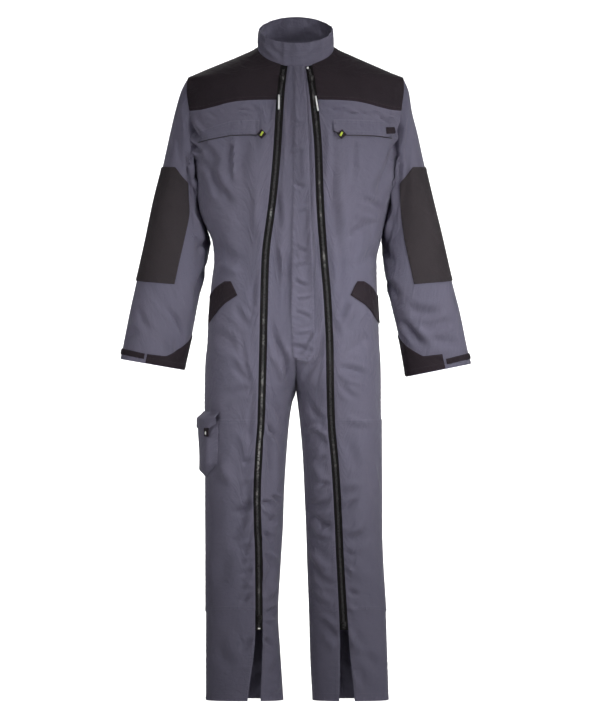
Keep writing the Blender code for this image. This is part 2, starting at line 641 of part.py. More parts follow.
def bare_sleeve(side, v, degrees):
    """Point of the smooth sleeve: 0 degrees is its top edge, 90 its front, 180 its under edge."""
    angle = math.radians(degrees)
    top = Vector((TOP_EDGES[side].at("x", v), TOP_EDGES[side].at("z", v)))
    under = Vector((UNDER_EDGES[side].at("x", v), UNDER_EDGES[side].at("z", v)))
    middle = (top + under) / 2
    half = (top - under) / 2
    cosine = math.copysign(abs(math.cos(angle)) ** SLEEVE_ROUND, math.cos(angle))
    sine = math.copysign(abs(math.sin(angle)) ** SLEEVE_ROUND, math.sin(angle))
    depth = SLEEVE_DEPTH.at("front" if sine > 0 else "back", v)
    oval = Vector((side * (middle.x + half.x * cosine), -depth * sine, middle.y + half.y * cosine))
    keep = ease(v, 0.0, SLEEVE_BLEND)
    if keep >= 1:
        return oval
    u, z = armhole_uz((degrees % 360) / 360 * ARMHOLE_STEPS, shrink=2 * SEAM_GAP)
    edge = body(side, u, z, SEAM_GAP)
    start_top = Vector((TOP_EDGES[side].at("x", 0), TOP_EDGES[side].at("z", 0)))
    start_under = Vector((UNDER_EDGES[side].at("x", 0), UNDER_EDGES[side].at("z", 0)))
    start_middle = (start_top + start_under) / 2
    start_half = (start_top - start_under) / 2
    start_depth = SLEEVE_DEPTH.at("front" if sine > 0 else "back", 0)
    start = Vector((side * (start_middle.x + start_half.x * cosine), -start_depth * sine,
                    start_middle.y + start_half.y * cosine))
    return oval + (edge - start) * (1 - keep)


def sleeve_fold(side, v, degrees):
    """Fold height on the sleeve, none at the armhole or the hem."""
    height = 0.0
    for fold in SLEEVE_FOLDS[side]:
        run_v = (fold.v1 - fold.v0) * SLEEVE_LENGTH
        run_a = math.radians(fold.angle1 - fold.angle0) * SLEEVE_RADIUS
        from_v = (v - fold.v0) * SLEEVE_LENGTH
        from_a = math.radians(degrees % 360 - fold.angle0) * SLEEVE_RADIUS
        run = math.hypot(run_v, run_a)
        along = (from_v * run_v + from_a * run_a) / run ** 2
        across = (from_v * run_a - from_a * run_v) / run
        height += fold.depth * fold_share(along, across, fold.width)
    return height * ease(v, 0.0, 0.12) * (1 - ease(v, 0.90, 1.0))


def sleeve(side, v, degrees, lift=0.0):
    """Point of the outer cloth face of the sleeve, moved out by lift."""
    step_v = 0.01
    step_a = 4.0
    low = max(v - step_v, 0.0)
    high = min(v + step_v, 1.0)
    along = bare_sleeve(side, high, degrees) - bare_sleeve(side, low, degrees)
    around = bare_sleeve(side, v, degrees + step_a) - bare_sleeve(side, v, degrees - step_a)
    outward = (along.cross(around) * -side).normalized()
    return bare_sleeve(side, v, degrees) + outward * (sleeve_fold(side, v, degrees) + lift)


def on_sleeve(side):
    """Way to place the spots v, degrees of a piece on one sleeve."""
    def place(spot, lift):
        return sleeve(side, spot[0], spot[1], lift)
    return place


def sleeve_v(side, degrees, z):
    """Share of the sleeve's length where the given angle passes the height z."""
    low = 0.0
    high = 1.0
    for _ in range(30):
        middle = (low + high) / 2
        if bare_sleeve(side, middle, degrees).z > z:
            low = middle
        else:
            high = middle
    return (low + high) / 2


# -------------------------------------------------------------------------- objects and cloth

def clear_scene():
    """Remove every object that the file opens with."""
    for thing in list(bpy.data.objects):
        bpy.data.objects.remove(thing, do_unlink=True)


def make_material(name):
    """Plain surface for one kind of cloth or trim."""
    colour, roughness, metallic = COLOURS[name]
    material = bpy.data.materials.new(name)
    material.use_nodes = True
    shader = material.node_tree.nodes["Principled BSDF"]
    shader.inputs["Base Color"].default_value = (*colour, 1.0)
    shader.inputs["Roughness"].default_value = roughness
    shader.inputs["Metallic"].default_value = metallic
    return material


class Suit:
    """The suit's collection, its materials and the ways to add a piece to it."""

    def __init__(self):
        self.collection = bpy.data.collections.new("boiler_suit")
        bpy.context.scene.collection.children.link(self.collection)
        self.materials = {name: make_material(name) for name in COLOURS}

    def add(self, name, mesh, material):
        """Link a finished mesh as one named piece."""
        mesh.materials.append(self.materials[material])
        thing = bpy.data.objects.new(name, mesh)
        self.collection.objects.link(thing)
        mesh.shade_smooth()
        mesh.set_sharp_from_angle(angle=math.radians(40))
        return thing

    def cloth(self, name, grid, place, material, thickness=CLOTH, lift=0.0, closed=False):
        """Wall over a grid of surface places: a flat grid is bent onto the surface and extruded.

        place(spot, lift) gives the point for one spot of the grid.  The flat grid becomes the inner
        face, and its extruded copy the outer one.  closed joins the last column to the first, as
        round a sleeve.
        """
        rows = len(grid)
        columns = len(grid[0])
        wall = bmesh.new()
        rank = wall.verts.layers.int.new("rank")
        bmesh.ops.create_grid(wall, x_segments=columns - 1, y_segments=rows - 1, size=1.0)
        order = sorted(wall.verts, key=lambda vert: (round(vert.co.y, 5), round(vert.co.x, 5)))
        for index, vert in enumerate(order):
            vert[rank] = index
            vert.co = place(grid[index // columns][index % columns], lift - thickness)
        if closed:
            bmesh.ops.remove_doubles(wall, verts=list(wall.verts), dist=0.00005)
        raised = bmesh.ops.extrude_face_region(wall, geom=list(wall.faces))
        for item in raised["geom"]:
            if isinstance(item, bmesh.types.BMVert):
                index = item[rank]
                item.co = place(grid[index // columns][index % columns], lift)
        bmesh.ops.recalc_face_normals(wall, faces=list(wall.faces))
        wall.verts.layers.int.remove(rank)
        mesh = bpy.data.meshes.new(name)
        wall.to_mesh(mesh)
        wall.free()
        return self.add(name, mesh, material)


def grid_between(left, right, bottom=None, top=None, reach=1):
    """Places filling four edges: left and right run upwards, bottom and top run left to right.

    A bottom or top edge that isn't straight in its own terms bends the rows near it, by a weight
    that falls off with the power reach.
    """
    rows = len(left)
    columns = len(bottom or top)
    grid = []
    for j in range(rows):
        t = j / (rows - 1)
        line = []
        for i in range(columns):
            s = i / (columns - 1)
            spot = [mix(left[j][k], right[j][k], s) for k in (0, 1)]
            for edge, weight in ((bottom, (1 - t) ** reach), (top, t ** reach)):
                if edge:
                    for k in (0, 1):
                        spot[k] += weight * (edge[i][k] - mix(edge[0][k], edge[-1][k], s))
            line.append(tuple(spot))
        grid.append(line)
    return grid


def straight(a, b, steps):
    """Places in a straight line from a to b."""
    return [(mix(a[0], b[0], t), mix(a[1], b[1], t)) for t in spaced(0, 1, steps)]


# -------------------------------------------------------------------------------- cut pieces

def yoke_bottom(side, columns):
    """Lower edge of a front yoke as u and z, from the zip to the armhole."""
    start = zip_edge(side, YOKE_Z, 1)
    end_u, end_z = armhole_uz(ARMHOLE_YOKE_STEP)
    edge = []
    for t in spaced(0, 1, columns):
        u = mix(start, end_u, t)
        z = YOKE_Z
        for _ in range(6):
            z = YOKE_EDGE.at("z", abs(bare_body(side, u, z).x))
        edge.append((u, mix(z, end_z, ease(t, 0.85, 1.0))))
    edge[0] = (start, YOKE_Z)
    return edge


def seam_shift(edge, drop):
    """The same edge a little lower, for the piece on the other side of its seam."""
    return [(u, z - drop) for u, z in edge]


def build_yokes(suit):
    """Black yokes: two in front between zip, neck, shoulder and armhole, and one across the back."""
    for side, word in SIDES.items():
        bottom = yoke_bottom(side, SIDE_FRONT_COLUMNS)
        zip_line = [(zip_edge(side, z, 1), z) for z in spaced(YOKE_Z, ZIP_TOP_Z, YOKE_LEVELS - 1)]
        shoulder = straight((2.0, NECK_SIDE_Z), (2.0, SHOULDER_TIP_Z), SIDE_FRONT_COLUMNS)
        neck_start = math.asin(zip_x(side, ZIP_TOP_Z, 1) / NECK_HALF_WIDTH)
        neck = [neck_uz(side, a, True) for a in spaced(neck_start, math.pi / 2, 4)]
        inner = zip_line[:-1] + neck
        armhole = [armhole_uz(s) for s in spaced(ARMHOLE_YOKE_STEP, 0, len(inner) - 1)]
        grid = grid_between(inner, armhole, bottom, shoulder)
        suit.cloth(f"yoke_front_{word}", grid, on_front(side), "black")
    half_back = []
    for side in SIDES:
        neck = [neck_uz(side, a, False) for a in spaced(0.0, math.pi / 2, 4)]
        lower = [(mix(4.0, armhole_uz(ARMHOLE_STEPS - ARMHOLE_YOKE_STEP)[0], t),
                  mix(BACK_YOKE_Z, armhole_uz(ARMHOLE_STEPS - ARMHOLE_YOKE_STEP)[1], t ** 2))
                 for t in spaced(0, 1, BACK_YOKE_COLUMNS)]
        upper = neck + straight((2.0, NECK_SIDE_Z), (2.0, SHOULDER_TIP_Z), BACK_YOKE_COLUMNS - 4)[1:]
        centre = straight(lower[0], upper[0], ARMHOLE_YOKE_STEP)
        armhole = [armhole_uz(ARMHOLE_STEPS - s) for s in spaced(ARMHOLE_YOKE_STEP, 0, ARMHOLE_YOKE_STEP)]
        grid = grid_between(centre, armhole, lower, upper)
        half_back.append([[(side, u, z) for u, z in line] for line in grid])
    whole = [list(reversed(right[1:])) + left for right, left in zip(*half_back)]
    suit.cloth("yoke_back", whole, back_across, "black")


def back_across(spot, lift):
    """Point of the back for a piece that runs from one side to the other."""
    side, u, z = spot
    point = body(side, max(u, BACK_SEAM), z, lift)
    if u == 4.0:
        point.x = 0.0
    return point


def front_levels():
    """Heights of the rows that the side fronts, zips and centre fronts share."""
    return levels(LEG_LEVELS) + spaced(UNDERARM_Z, YOKE_Z, ARMHOLE_LEVELS)[1:]


def side_front_grid(side):
    """Places of a side front, from the zip's edge to the side seam and the armhole."""
    leg = levels(LEG_LEVELS)
    left = [(zip_edge(side, z, 1), z) for z in front_levels()]
    steps = spaced(ARMHOLE_STEPS / 2, ARMHOLE_YOKE_STEP, ARMHOLE_LEVELS)
    right = [(2.0, z) for z in leg] + [armhole_uz(s) for s in steps[1:]]
    top = yoke_bottom(side, SIDE_FRONT_COLUMNS)
    bottom = straight(left[0], right[0], SIDE_FRONT_COLUMNS)
    grid = grid_between(left, right, bottom, top, reach=5)
    grid[-1] = seam_shift(grid[-1], SEAM_GAP)
    return grid


def build_side_fronts(suit):
    """Grey side fronts and the knee panels laid on them."""
    for side, word in SIDES.items():
        grid = side_front_grid(side)
        suit.cloth(f"front_side_{word}", grid, on_front(side), "grey")
        heights = front_levels()
        low = heights.index(SHIN_SEAM_Z)
        high = heights.index(KNEE_SEAM_Z)
        knee = [line[:-1] + [(LAID_SEAM, line[-1][1])] for line in grid[low:high + 1]]
        suit.cloth(f"knee_panel_{word}", knee, on_front(side), "grey", thickness=KNEE_CLOTH, lift=KNEE_LIFT)


def build_centre_fronts(suit):
    """Grey centre fronts: neck to crotch between zip and centre, then the inner front of the leg."""
    for side, word in SIDES.items():
        heights = front_levels() + spaced(YOKE_Z, ZIP_TOP_Z, YOKE_LEVELS - 1)[1:]
        zip_side = [(zip_edge(side, z, -1), z) for z in heights]
        centre = [(0.0, z) for z in heights[:-1]] + [(0.0, NECK_FRONT_Z)]
        neck_end = math.asin(zip_x(side, ZIP_TOP_Z, -1) / NECK_HALF_WIDTH)
        neck = [neck_uz(side, a, True) for a in spaced(0.0, neck_end, CENTRE_FRONT_COLUMNS)]
        zip_side[-1] = neck[-1]
        bottom = straight(centre[0], zip_side[0], CENTRE_FRONT_COLUMNS)
        grid = grid_between(centre, zip_side, bottom, neck, reach=6)
        suit.cloth(f"front_centre_{word}", grid, on_front(side), "grey")


def build_placket(suit):
    """Fly placket over the centre seam, from the neck to the crotch."""
    grid = []
    heights = front_levels() + spaced(YOKE_Z, ZIP_TOP_Z, YOKE_LEVELS - 1)[1:-1]
    for z in [z for z in heights if z >= FORK_Z] + [PLACKET_TOP_Z]:
        edge = PLACKET.at("edge", z)
        stitched = PLACKET.at("stitched", z)
        grid.append([(mix(edge, stitched, t), z) for t in spaced(0, 1, 4)])
    suit.cloth("fly_placket", grid, across_front, "grey", lift=PLACKET_LIFT)


def build_backs(suit):
    """Grey backs, each one piece from the yoke through the seat to the hem."""
    for side, word in SIDES.items():
        steps = spaced(ARMHOLE_STEPS / 2, ARMHOLE_STEPS - ARMHOLE_YOKE_STEP, ARMHOLE_LEVELS)
        seam = [(BACK_SEAM, z) for z in levels(LEG_LEVELS)] + [armhole_uz(s) for s in steps[1:]]
        heights = levels(LEG_LEVELS) + spaced(UNDERARM_Z, BACK_YOKE_Z, ARMHOLE_LEVELS)[1:]
        centre = [(4.0, z) for z in heights]
        top = [(mix(seam[-1][0], 4.0, t), mix(BACK_YOKE_Z, seam[-1][1], (1 - t) ** 2))
               for t in spaced(0, 1, BACK_COLUMNS)]
        bottom = straight(seam[0], centre[0], BACK_COLUMNS)
        grid = grid_between(seam, centre, bottom, top, reach=5)
        grid[-1] = seam_shift(grid[-1], SEAM_GAP)
        suit.cloth(f"back_{word}", grid, on_back(side), "grey")


def build_zips(suit):
    """Black zip tapes filling the slots between side fronts and centre fronts."""
    for side, word in SIDES.items():
        heights = front_levels() + spaced(YOKE_Z, ZIP_TOP_Z, YOKE_LEVELS - 1)[1:]
        heights = [z for z in heights if z >= ZIP_END_Z]
        grid = [[(zip_edge(side, z, -1, -SEAM_GAP), z), (zip_edge(side, z, 1, -SEAM_GAP), z)]
                for z in heights]
        ends = [zip_x(side, ZIP_TOP_Z, outward, -SEAM_GAP) for outward in (-1, 1)]
        grid[-1] = [(front_u(side, x, neck_z(x) - SEAM_GAP), neck_z(x) - SEAM_GAP) for x in ends]
        suit.cloth(f"zip_{word}", grid, on_front(side), "tape", thickness=ZIP_TAPE, lift=-ZIP_SINK)


def build_sleeves(suit):
    """Grey sleeves with their black elbow patches, cuff gussets and cuff straps."""
    for side, word in SIDES.items():
        place = on_sleeve(side)
        turns = spaced(0, 360, ARMHOLE_STEPS)
        grid = [[(v, angle) for angle in turns] for v in spaced(0, 1, SLEEVE_RINGS)]
        suit.cloth(f"sleeve_{word}", grid, place, "grey", closed=True)

        patch = []
        for t in spaced(0, 1, PATCH_RISES):
            line = []
            for angle in PATCH_ANGLES:
                top = sleeve_v(side, angle, ELBOW_PATCH.at("top", angle))
                bottom = sleeve_v(side, angle, ELBOW_PATCH.at("bottom", angle))
                line.append((mix(top, bottom, t), angle))
            patch.append(line)
        suit.cloth(f"elbow_patch_{word}", patch, place, "black", lift=PATCH_LIFT)

        gusset = []
        for t in spaced(0, 1, GUSSET_RISES):
            line = []
            for angle in GUSSET_ANGLES:
                top = sleeve_v(side, angle, CUFF_GUSSET.at("top", angle))
                line.append((mix(min(top, GUSSET_SHORTEST), GUSSET_END, t), angle))
            gusset.append(line)
        suit.cloth(f"cuff_gusset_{word}", gusset, place, "black", lift=LAY_GAP + CLOTH)

        angles = spaced(*STRAP_ANGLES, STRAP_STEPS)
        strap = [[(v, angle) for angle in angles] for v in STRAP_BAND]
        suit.cloth(f"cuff_strap_{word}", strap, place, "black", thickness=STRAP_CLOTH, lift=STRAP_LIFT)


def collar_point(spot, lift):
    """Point of the stand collar by its rise (0 at the neck seam, 1 at the rim) and angle in degrees."""
    rise, degrees = spot
    angle = math.radians(degrees)
    side = LEFT if math.sin(angle) >= 0 else RIGHT
    front_side = math.cos(angle) >= 0
    from_front = abs(math.atan2(math.sin(angle), math.cos(angle)))
    from_middle = from_front if front_side else math.pi - from_front
    u, z = neck_uz(side, from_middle, front_side)
    base = body(side, u, z)
    base.z += COLLAR_STAND
    rim = Vector((math.sin(angle) * COLLAR_RIM_HALF_WIDTH, base.y * COLLAR_RIM_TAPER,
                  COLLAR_SIDE_Z - COLLAR_TILT * math.cos(angle)))
    swell = COLLAR_SWELL * math.sin(math.pi * rise)
    lap = COLLAR_LAP * (1 - ease(degrees, *COLLAR_LAP_FADE))
    outward = Vector((math.sin(angle), -math.cos(angle) * 0.9, 0)).normalized()
    return base.lerp(rim, rise) + outward * (swell + lap + lift)


def build_collar(suit):
    """Stand collar: one band round the neck whose left end laps over its right at the throat."""
    angles = spaced(COLLAR_START, COLLAR_END, COLLAR_STEPS)
    grid = [[(rise, angle) for angle in angles] for rise in spaced(0, 1, COLLAR_RISE_STEPS)]
    suit.cloth("collar", grid, collar_point, "grey", thickness=COLLAR_CLOTH)


# ------------------------------------------------------------------------------ laid-on trim

def build_chest_flaps(suit):
    """Chest pocket flaps with their corner tabs, and the blank label on the left one."""
    Flap = namedtuple("Flap", "share x top bottom")
    for side, word in SIDES.items():
        rows = CHEST_FLAPS[side]
        edge = Columns([Flap(i / (len(rows) - 1), *row) for i, row in enumerate(rows)])
        grid = []
        for t in spaced(0, 1, 3):
            line = []
            for share in spaced(0, 1, FLAP_STEPS):
                z = mix(edge.at("top", share), edge.at("bottom", share), t)
                line.append((side * edge.at("x", share), z, mix(FLAP_TOP_LIFT, FLAP_BOTTOM_LIFT, t)))
            grid.append(line)
        suit.cloth(f"chest_flap_{word}", grid, across_front, "grey")
        tab = FLAP_TABS[side]
        square = square_on_front(tab.x, tab.z, TAB_SIZE, TAB_SIZE, tab.turn)
        suit.cloth(f"flap_tab_{word}", square, across_front, "black", thickness=TAB_CLOTH, lift=TAB_LIFT)
    label = square_on_front(LABEL.x, LABEL.z, LABEL.width, LABEL.height, LABEL.turn)
    suit.cloth("flap_label", label, across_front, "black", thickness=LABEL_CLOTH, lift=LABEL_LIFT)


def square_on_front(x, z, width, height, turn):
    """Small turned rectangle of places on the front, three by three."""
    angle = math.radians(turn)
    grid = []
    for up in (-0.5, 0.0, 0.5):
        line = []
        for across in (-0.5, 0.0, 0.5):
            dx = across * width
            dz = up * height
            line.append((x + dx * math.cos(angle) - dz * math.sin(angle),
                         z + dx * math.sin(angle) + dz * math.cos(angle)))
        grid.append(line)
    return grid


def build_hip_facings(suit):
    """Black facings of the slanted hip pockets, from the front round to the side seam."""
    for side, word in SIDES.items():
        shift = HIP_FACING_LEFT_SHIFT if side == LEFT else 0.0
        grid = []
        for t in spaced(0, 1, HIP_FACING_RISES):
            line = []
            for share in spaced(0, 1, HIP_FACING_STEPS):
                x = mix(HIP_FACING.at("upper_x", share), HIP_FACING.at("lower_x", share), t) + shift
                z = mix(HIP_FACING.at("upper_z", share), HIP_FACING.at("lower_z", share), t)
                line.append((min(front_u(side, x, z), LAID_SEAM), z))
            grid.append(line)
        suit.cloth(f"hip_facing_{word}", grid, on_front(side), "black", lift=FACING_LIFT)


def cargo_lift(share_u, share_z):
    """How far the cargo pocket stands off the leg: little at its edges, its bellows' depth inside."""
    edge = min(share_u, 1 - share_u, share_z * 1.3)
    return CARGO_EDGE_LIFT + CARGO_DEPTH * ease(edge, 0.0, 0.16)


def round_leg(spot, lift):
    """Point on the right leg for a spot of u, z and its own height; it may cross the side seam."""
    u, z, own = spot
    return body(RIGHT, u, z, own + lift)


def build_cargo_pocket(suit):
    """Bellows pocket round the right thigh's side seam, with its flap and pull tab."""
    pocket = []
    for up in CARGO_RISES:
        line = []
        for share in CARGO_SHARES:
            corner = CARGO_CORNER * (1 - ease(min(share, 1 - share), 0.0, 0.30))
            z = mix(CARGO_BOTTOM_Z + corner, CARGO_TOP_Z, up)
            line.append((mix(*CARGO_U, share), z, cargo_lift(share, up)))
        pocket.append(line)
    suit.cloth("cargo_pocket", pocket, round_leg, "grey")

    flap = []
    for t in (0.0, 0.12, 0.5, 1.0):
        line = []
        for share in spaced(0, 1, FLAP_STEPS):
            edge = 1 - ease(min(share, 1 - share), 0.0, 0.10)
            drop = CARGO_FLAP_DROP * mix(1.0, CARGO_FLAP_SIDE_DROP, edge)
            lift = CARGO_EDGE_LIFT + ease(t, 0.0, 0.45) * CARGO_FLAP_STAND - edge * CARGO_FLAP_WRAP * t
            u = mix(CARGO_U[0] - CARGO_FLAP_OVERHANG, CARGO_U[1] + CARGO_FLAP_OVERHANG, share)
            line.append((u, CARGO_FLAP_TOP_Z - drop * t, lift))
        flap.append(line)
    suit.cloth("cargo_flap", flap, round_leg, "grey")

    tab = []
    for up in (-0.5, 0.0, 0.5):
        tab.append([(CARGO_TAB.u + across * CARGO_TAB.turn, CARGO_TAB.z + up * CARGO_TAB.height, CARGO_TAB_LIFT)
                    for across in (-0.5, 0.0, 0.5)])
    suit.cloth("cargo_tab", tab, round_leg, "black", thickness=TAB_CLOTH)


# ------------------------------------------------------------------------ sliders and pulls

def zip_frame(x, z, lift):
    """Place on the zip and its own axes: across, down the zip and out of the cloth."""
    spot = front(x, z, lift)
    reach = SLIDER_SIZE.y * 0.75
    down = (front(x, z - reach, lift) - front(x, z + reach, lift)).normalized()
    across = Vector((1.0, 0.0, 0.0))
    out = across.cross(down).normalized() * -1
    if out.y > 0:
        out.negate()
    across = down.cross(out).normalized()
    turn = Matrix((across, down, out)).transposed()
    return spot, turn


def slider_mesh(name):
    """Slider body that narrows downwards, with the bridge that holds its pull."""
    block = bmesh.new()
    bmesh.ops.create_cube(block, size=1.0)
    bmesh.ops.scale(block, vec=SLIDER_SIZE, verts=block.verts)
    for vert in block.verts:
        if vert.co.y > 0:
            vert.co.x *= SLIDER_FOOT
    top = max(block.faces, key=lambda face: face.calc_center_median().z)
    bmesh.ops.inset_region(block, faces=[top], thickness=BRIDGE_INSET)
    top = max(block.faces, key=lambda face: face.calc_center_median().z - face.calc_area())
    raised = bmesh.ops.extrude_face_region(block, geom=[top])
    corners = [item for item in raised["geom"] if isinstance(item, bmesh.types.BMVert)]
    bmesh.ops.translate(block, vec=(0, 0, BRIDGE_RISE), verts=corners)
    bmesh.ops.delete(block, geom=[top], context="FACES_ONLY")
    bmesh.ops.bevel(block, geom=list(block.edges), offset=SLIDER_EDGE, segments=1, affect="EDGES")
    mesh = bpy.data.meshes.new(name)
    block.to_mesh(mesh)
    block.free()
    return mesh


def rod_mesh(name, start, end, radius, sides):
    """Round bar between two points."""
    bar = bmesh.new()
    bmesh.ops.create_cone(bar, cap_ends=True, segments=sides, radius1=radius, radius2=radius,
                          depth=(end - start).length)
    turn = (end - start).to_track_quat("Z", "Y").to_matrix()
    bmesh.ops.transform(bar, matrix=turn.to_4x4(), verts=bar.verts)
    bmesh.ops.translate(bar, vec=(start + end) / 2, verts=bar.verts)
    mesh = bpy.data.meshes.new(name)
    bar.to_mesh(mesh)
    bar.free()
    return mesh


def build_sliders(suit):
    """Top and ankle sliders, and the top sliders' pulls, each hinged at its slider's bridge."""
    for side, word in SIDES.items():
        for name, z in ((f"zip_slider_{word}", TOP_SLIDER_Z), (f"ankle_slider_{word}", ANKLE_SLIDER_Z[side])):
            spot, turn = zip_frame(side * ZIPS.at(f"{word}_x", z), z, SLIDER_REST)
            slider = suit.add(name, slider_mesh(name), "metal")
            slider.matrix_world = Matrix.Translation(spot) @ turn.to_4x4()
        pull = ZIP_PULLS[side]
        hinge = pull_hinge(side)
        grip_start = front(pull.grip_x, pull.grip_z, PULL_LIFT)
        grip_end = front(pull.end_x, pull.end_z, PULL_LIFT)
        along = (grip_start - hinge).normalized()
        cord = rod_mesh(f"pull_cord_{word}", along * CORD_START, grip_start - hinge - along * SEAM_GAP,
                        PULL_CORD_RADIUS, PULL_SIDES)
        grip = rod_mesh(f"pull_grip_{word}", grip_start - hinge, grip_end - hinge, PULL_GRIP_RADIUS, PULL_SIDES)
        for mesh, material in ((cord, "tape"), (grip, "white")):
            thing = suit.add(mesh.name, mesh, material)
            thing.location = hinge


def pull_hinge(side):
    """Pivot of a zip pull, just off the slider's bridge."""
    x = ZIPS.at(f"{SIDES[side]}_x", TOP_SLIDER_Z)
    return front(side * x, TOP_SLIDER_Z - HINGE_DROP, HINGE_LIFT)


def main():
    """Build every piece of the suit."""
    clear_scene()
    suit = Suit()
    build_collar(suit)
    build_yokes(suit)
    build_side_fronts(suit)
    build_centre_fronts(suit)
    build_placket(suit)
    build_backs(suit)
    build_zips(suit)
    build_sleeves(suit)
    build_chest_flaps(suit)
    build_hip_facings(suit)
    build_cargo_pocket(suit)
    build_sliders(suit)


main()
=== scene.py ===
"""Looks of the boiler suit: cloth panels, seams, stitching, zips, trims, light and camera.

Metres, +Z up.  The suit faces -Y, and -X is the wearer's right.  A place on the body is u and z: u runs
round one half from the centre front (0) over the front crest (1), the side seam (2) and the back crest
(3) to the centre back (4).  A place on a sleeve is v, from armhole (0) to hem (1), and an angle from
its top edge round over the front.
"""

import logging
import math
from collections.abc import Callable, Iterator, Sequence
from contextlib import contextmanager
from dataclasses import dataclass, field
from enum import Enum
from typing import NamedTuple

import bpy
import numpy as np
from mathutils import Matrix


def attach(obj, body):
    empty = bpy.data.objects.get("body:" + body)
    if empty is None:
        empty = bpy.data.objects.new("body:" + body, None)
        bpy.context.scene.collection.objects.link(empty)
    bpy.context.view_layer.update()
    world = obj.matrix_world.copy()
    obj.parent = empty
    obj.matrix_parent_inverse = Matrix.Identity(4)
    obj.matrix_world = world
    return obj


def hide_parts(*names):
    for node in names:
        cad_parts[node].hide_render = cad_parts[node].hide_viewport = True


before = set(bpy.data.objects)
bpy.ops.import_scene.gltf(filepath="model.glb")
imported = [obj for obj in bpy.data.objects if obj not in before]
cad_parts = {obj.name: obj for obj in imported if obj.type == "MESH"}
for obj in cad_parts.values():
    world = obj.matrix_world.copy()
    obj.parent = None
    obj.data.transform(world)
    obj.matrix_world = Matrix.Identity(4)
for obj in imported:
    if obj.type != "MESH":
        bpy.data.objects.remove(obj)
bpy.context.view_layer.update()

logging.basicConfig(level=logging.INFO, format="%(message)s")
LOG = logging.getLogger("boiler_suit")

Array = np.ndarray
Place = Callable[[Array, Array], Array]

# ---------------------------------------------------------------------------------- sizes

SIDE_SEAM = 2.0
CENTRE_BACK = 4.0
SEAM_GAP = 0.00004
CLOTH = 0.0012
COLLAR_CLOTH = 0.0020
LAY_GAP = 0.0008
ROUND = 0.87
SLEEVE_ROUND = 0.92
FRONT_SEAM = 1.9999
BACK_SEAM = 2.0001

MM_PER_M = 1000
HEM_Z = -1.498
ZIP_END_Z = -1.333
SHIN_SEAM_Z = -1.289
KNEE_SEAM_Z = -0.843
CROTCH_Z = -0.781
FORK_Z = -0.700
UNDERARM_Z = -0.272
YOKE_Z = -0.104
ZIP_TOP_Z = -0.019
BACK_YOKE_Z = -0.150

NECK_HALF_WIDTH = 0.0885
NECK_SIDE_Z = 0.0233
NECK_FRONT_Z = -0.0225
NECK_BACK_Z = 0.0400
SHOULDER_TIP_Z = -0.0513
ARMHOLE_STEPS = 20
ARMHOLE_YOKE_STEP = 4
ARMHOLE_FRONT_REACH = 0.26
ARMHOLE_BACK_REACH = 0.24
ARMHOLE_LEVELS = 6
YOKE_LEVELS = 4

LEG_LEVELS = (
    (HEM_Z, ZIP_END_Z, 4),
    (ZIP_END_Z, SHIN_SEAM_Z, 1),
    (SHIN_SEAM_Z, KNEE_SEAM_Z, 11),
    (KNEE_SEAM_Z, CROTCH_Z, 2),
    (CROTCH_Z, FORK_Z, 5),
    (FORK_Z, UNDERARM_Z, 10),
)


class Side(Enum):
    """Wearer's side; the value is the sign of X there."""

    RIGHT = -1
    LEFT = 1

    @property
    def word(self) -> str:
        """Name of the side as the pieces carry it."""
        return self.name.lower()


def table(kind: Callable[..., tuple], *rows: Sequence[float]) -> tuple:
    """Rows of one kind of table."""
    return tuple(kind(*row) for row in rows)


def in_mm(kind: Callable[..., tuple], *rows: Sequence[float]) -> tuple:
    """Rows of one kind of table in metres, from rows written in millimetres."""
    return tuple(kind(*(value / MM_PER_M for value in row)) for row in rows)


class BodyRow(NamedTuple):
    """Half widths and depths of the body at one height."""

    z: float
    right_out: float
    left_out: float
    right_in: float
    left_in: float
    crest: float
    front: float
    back: float
    front_in: float
    back_in: float


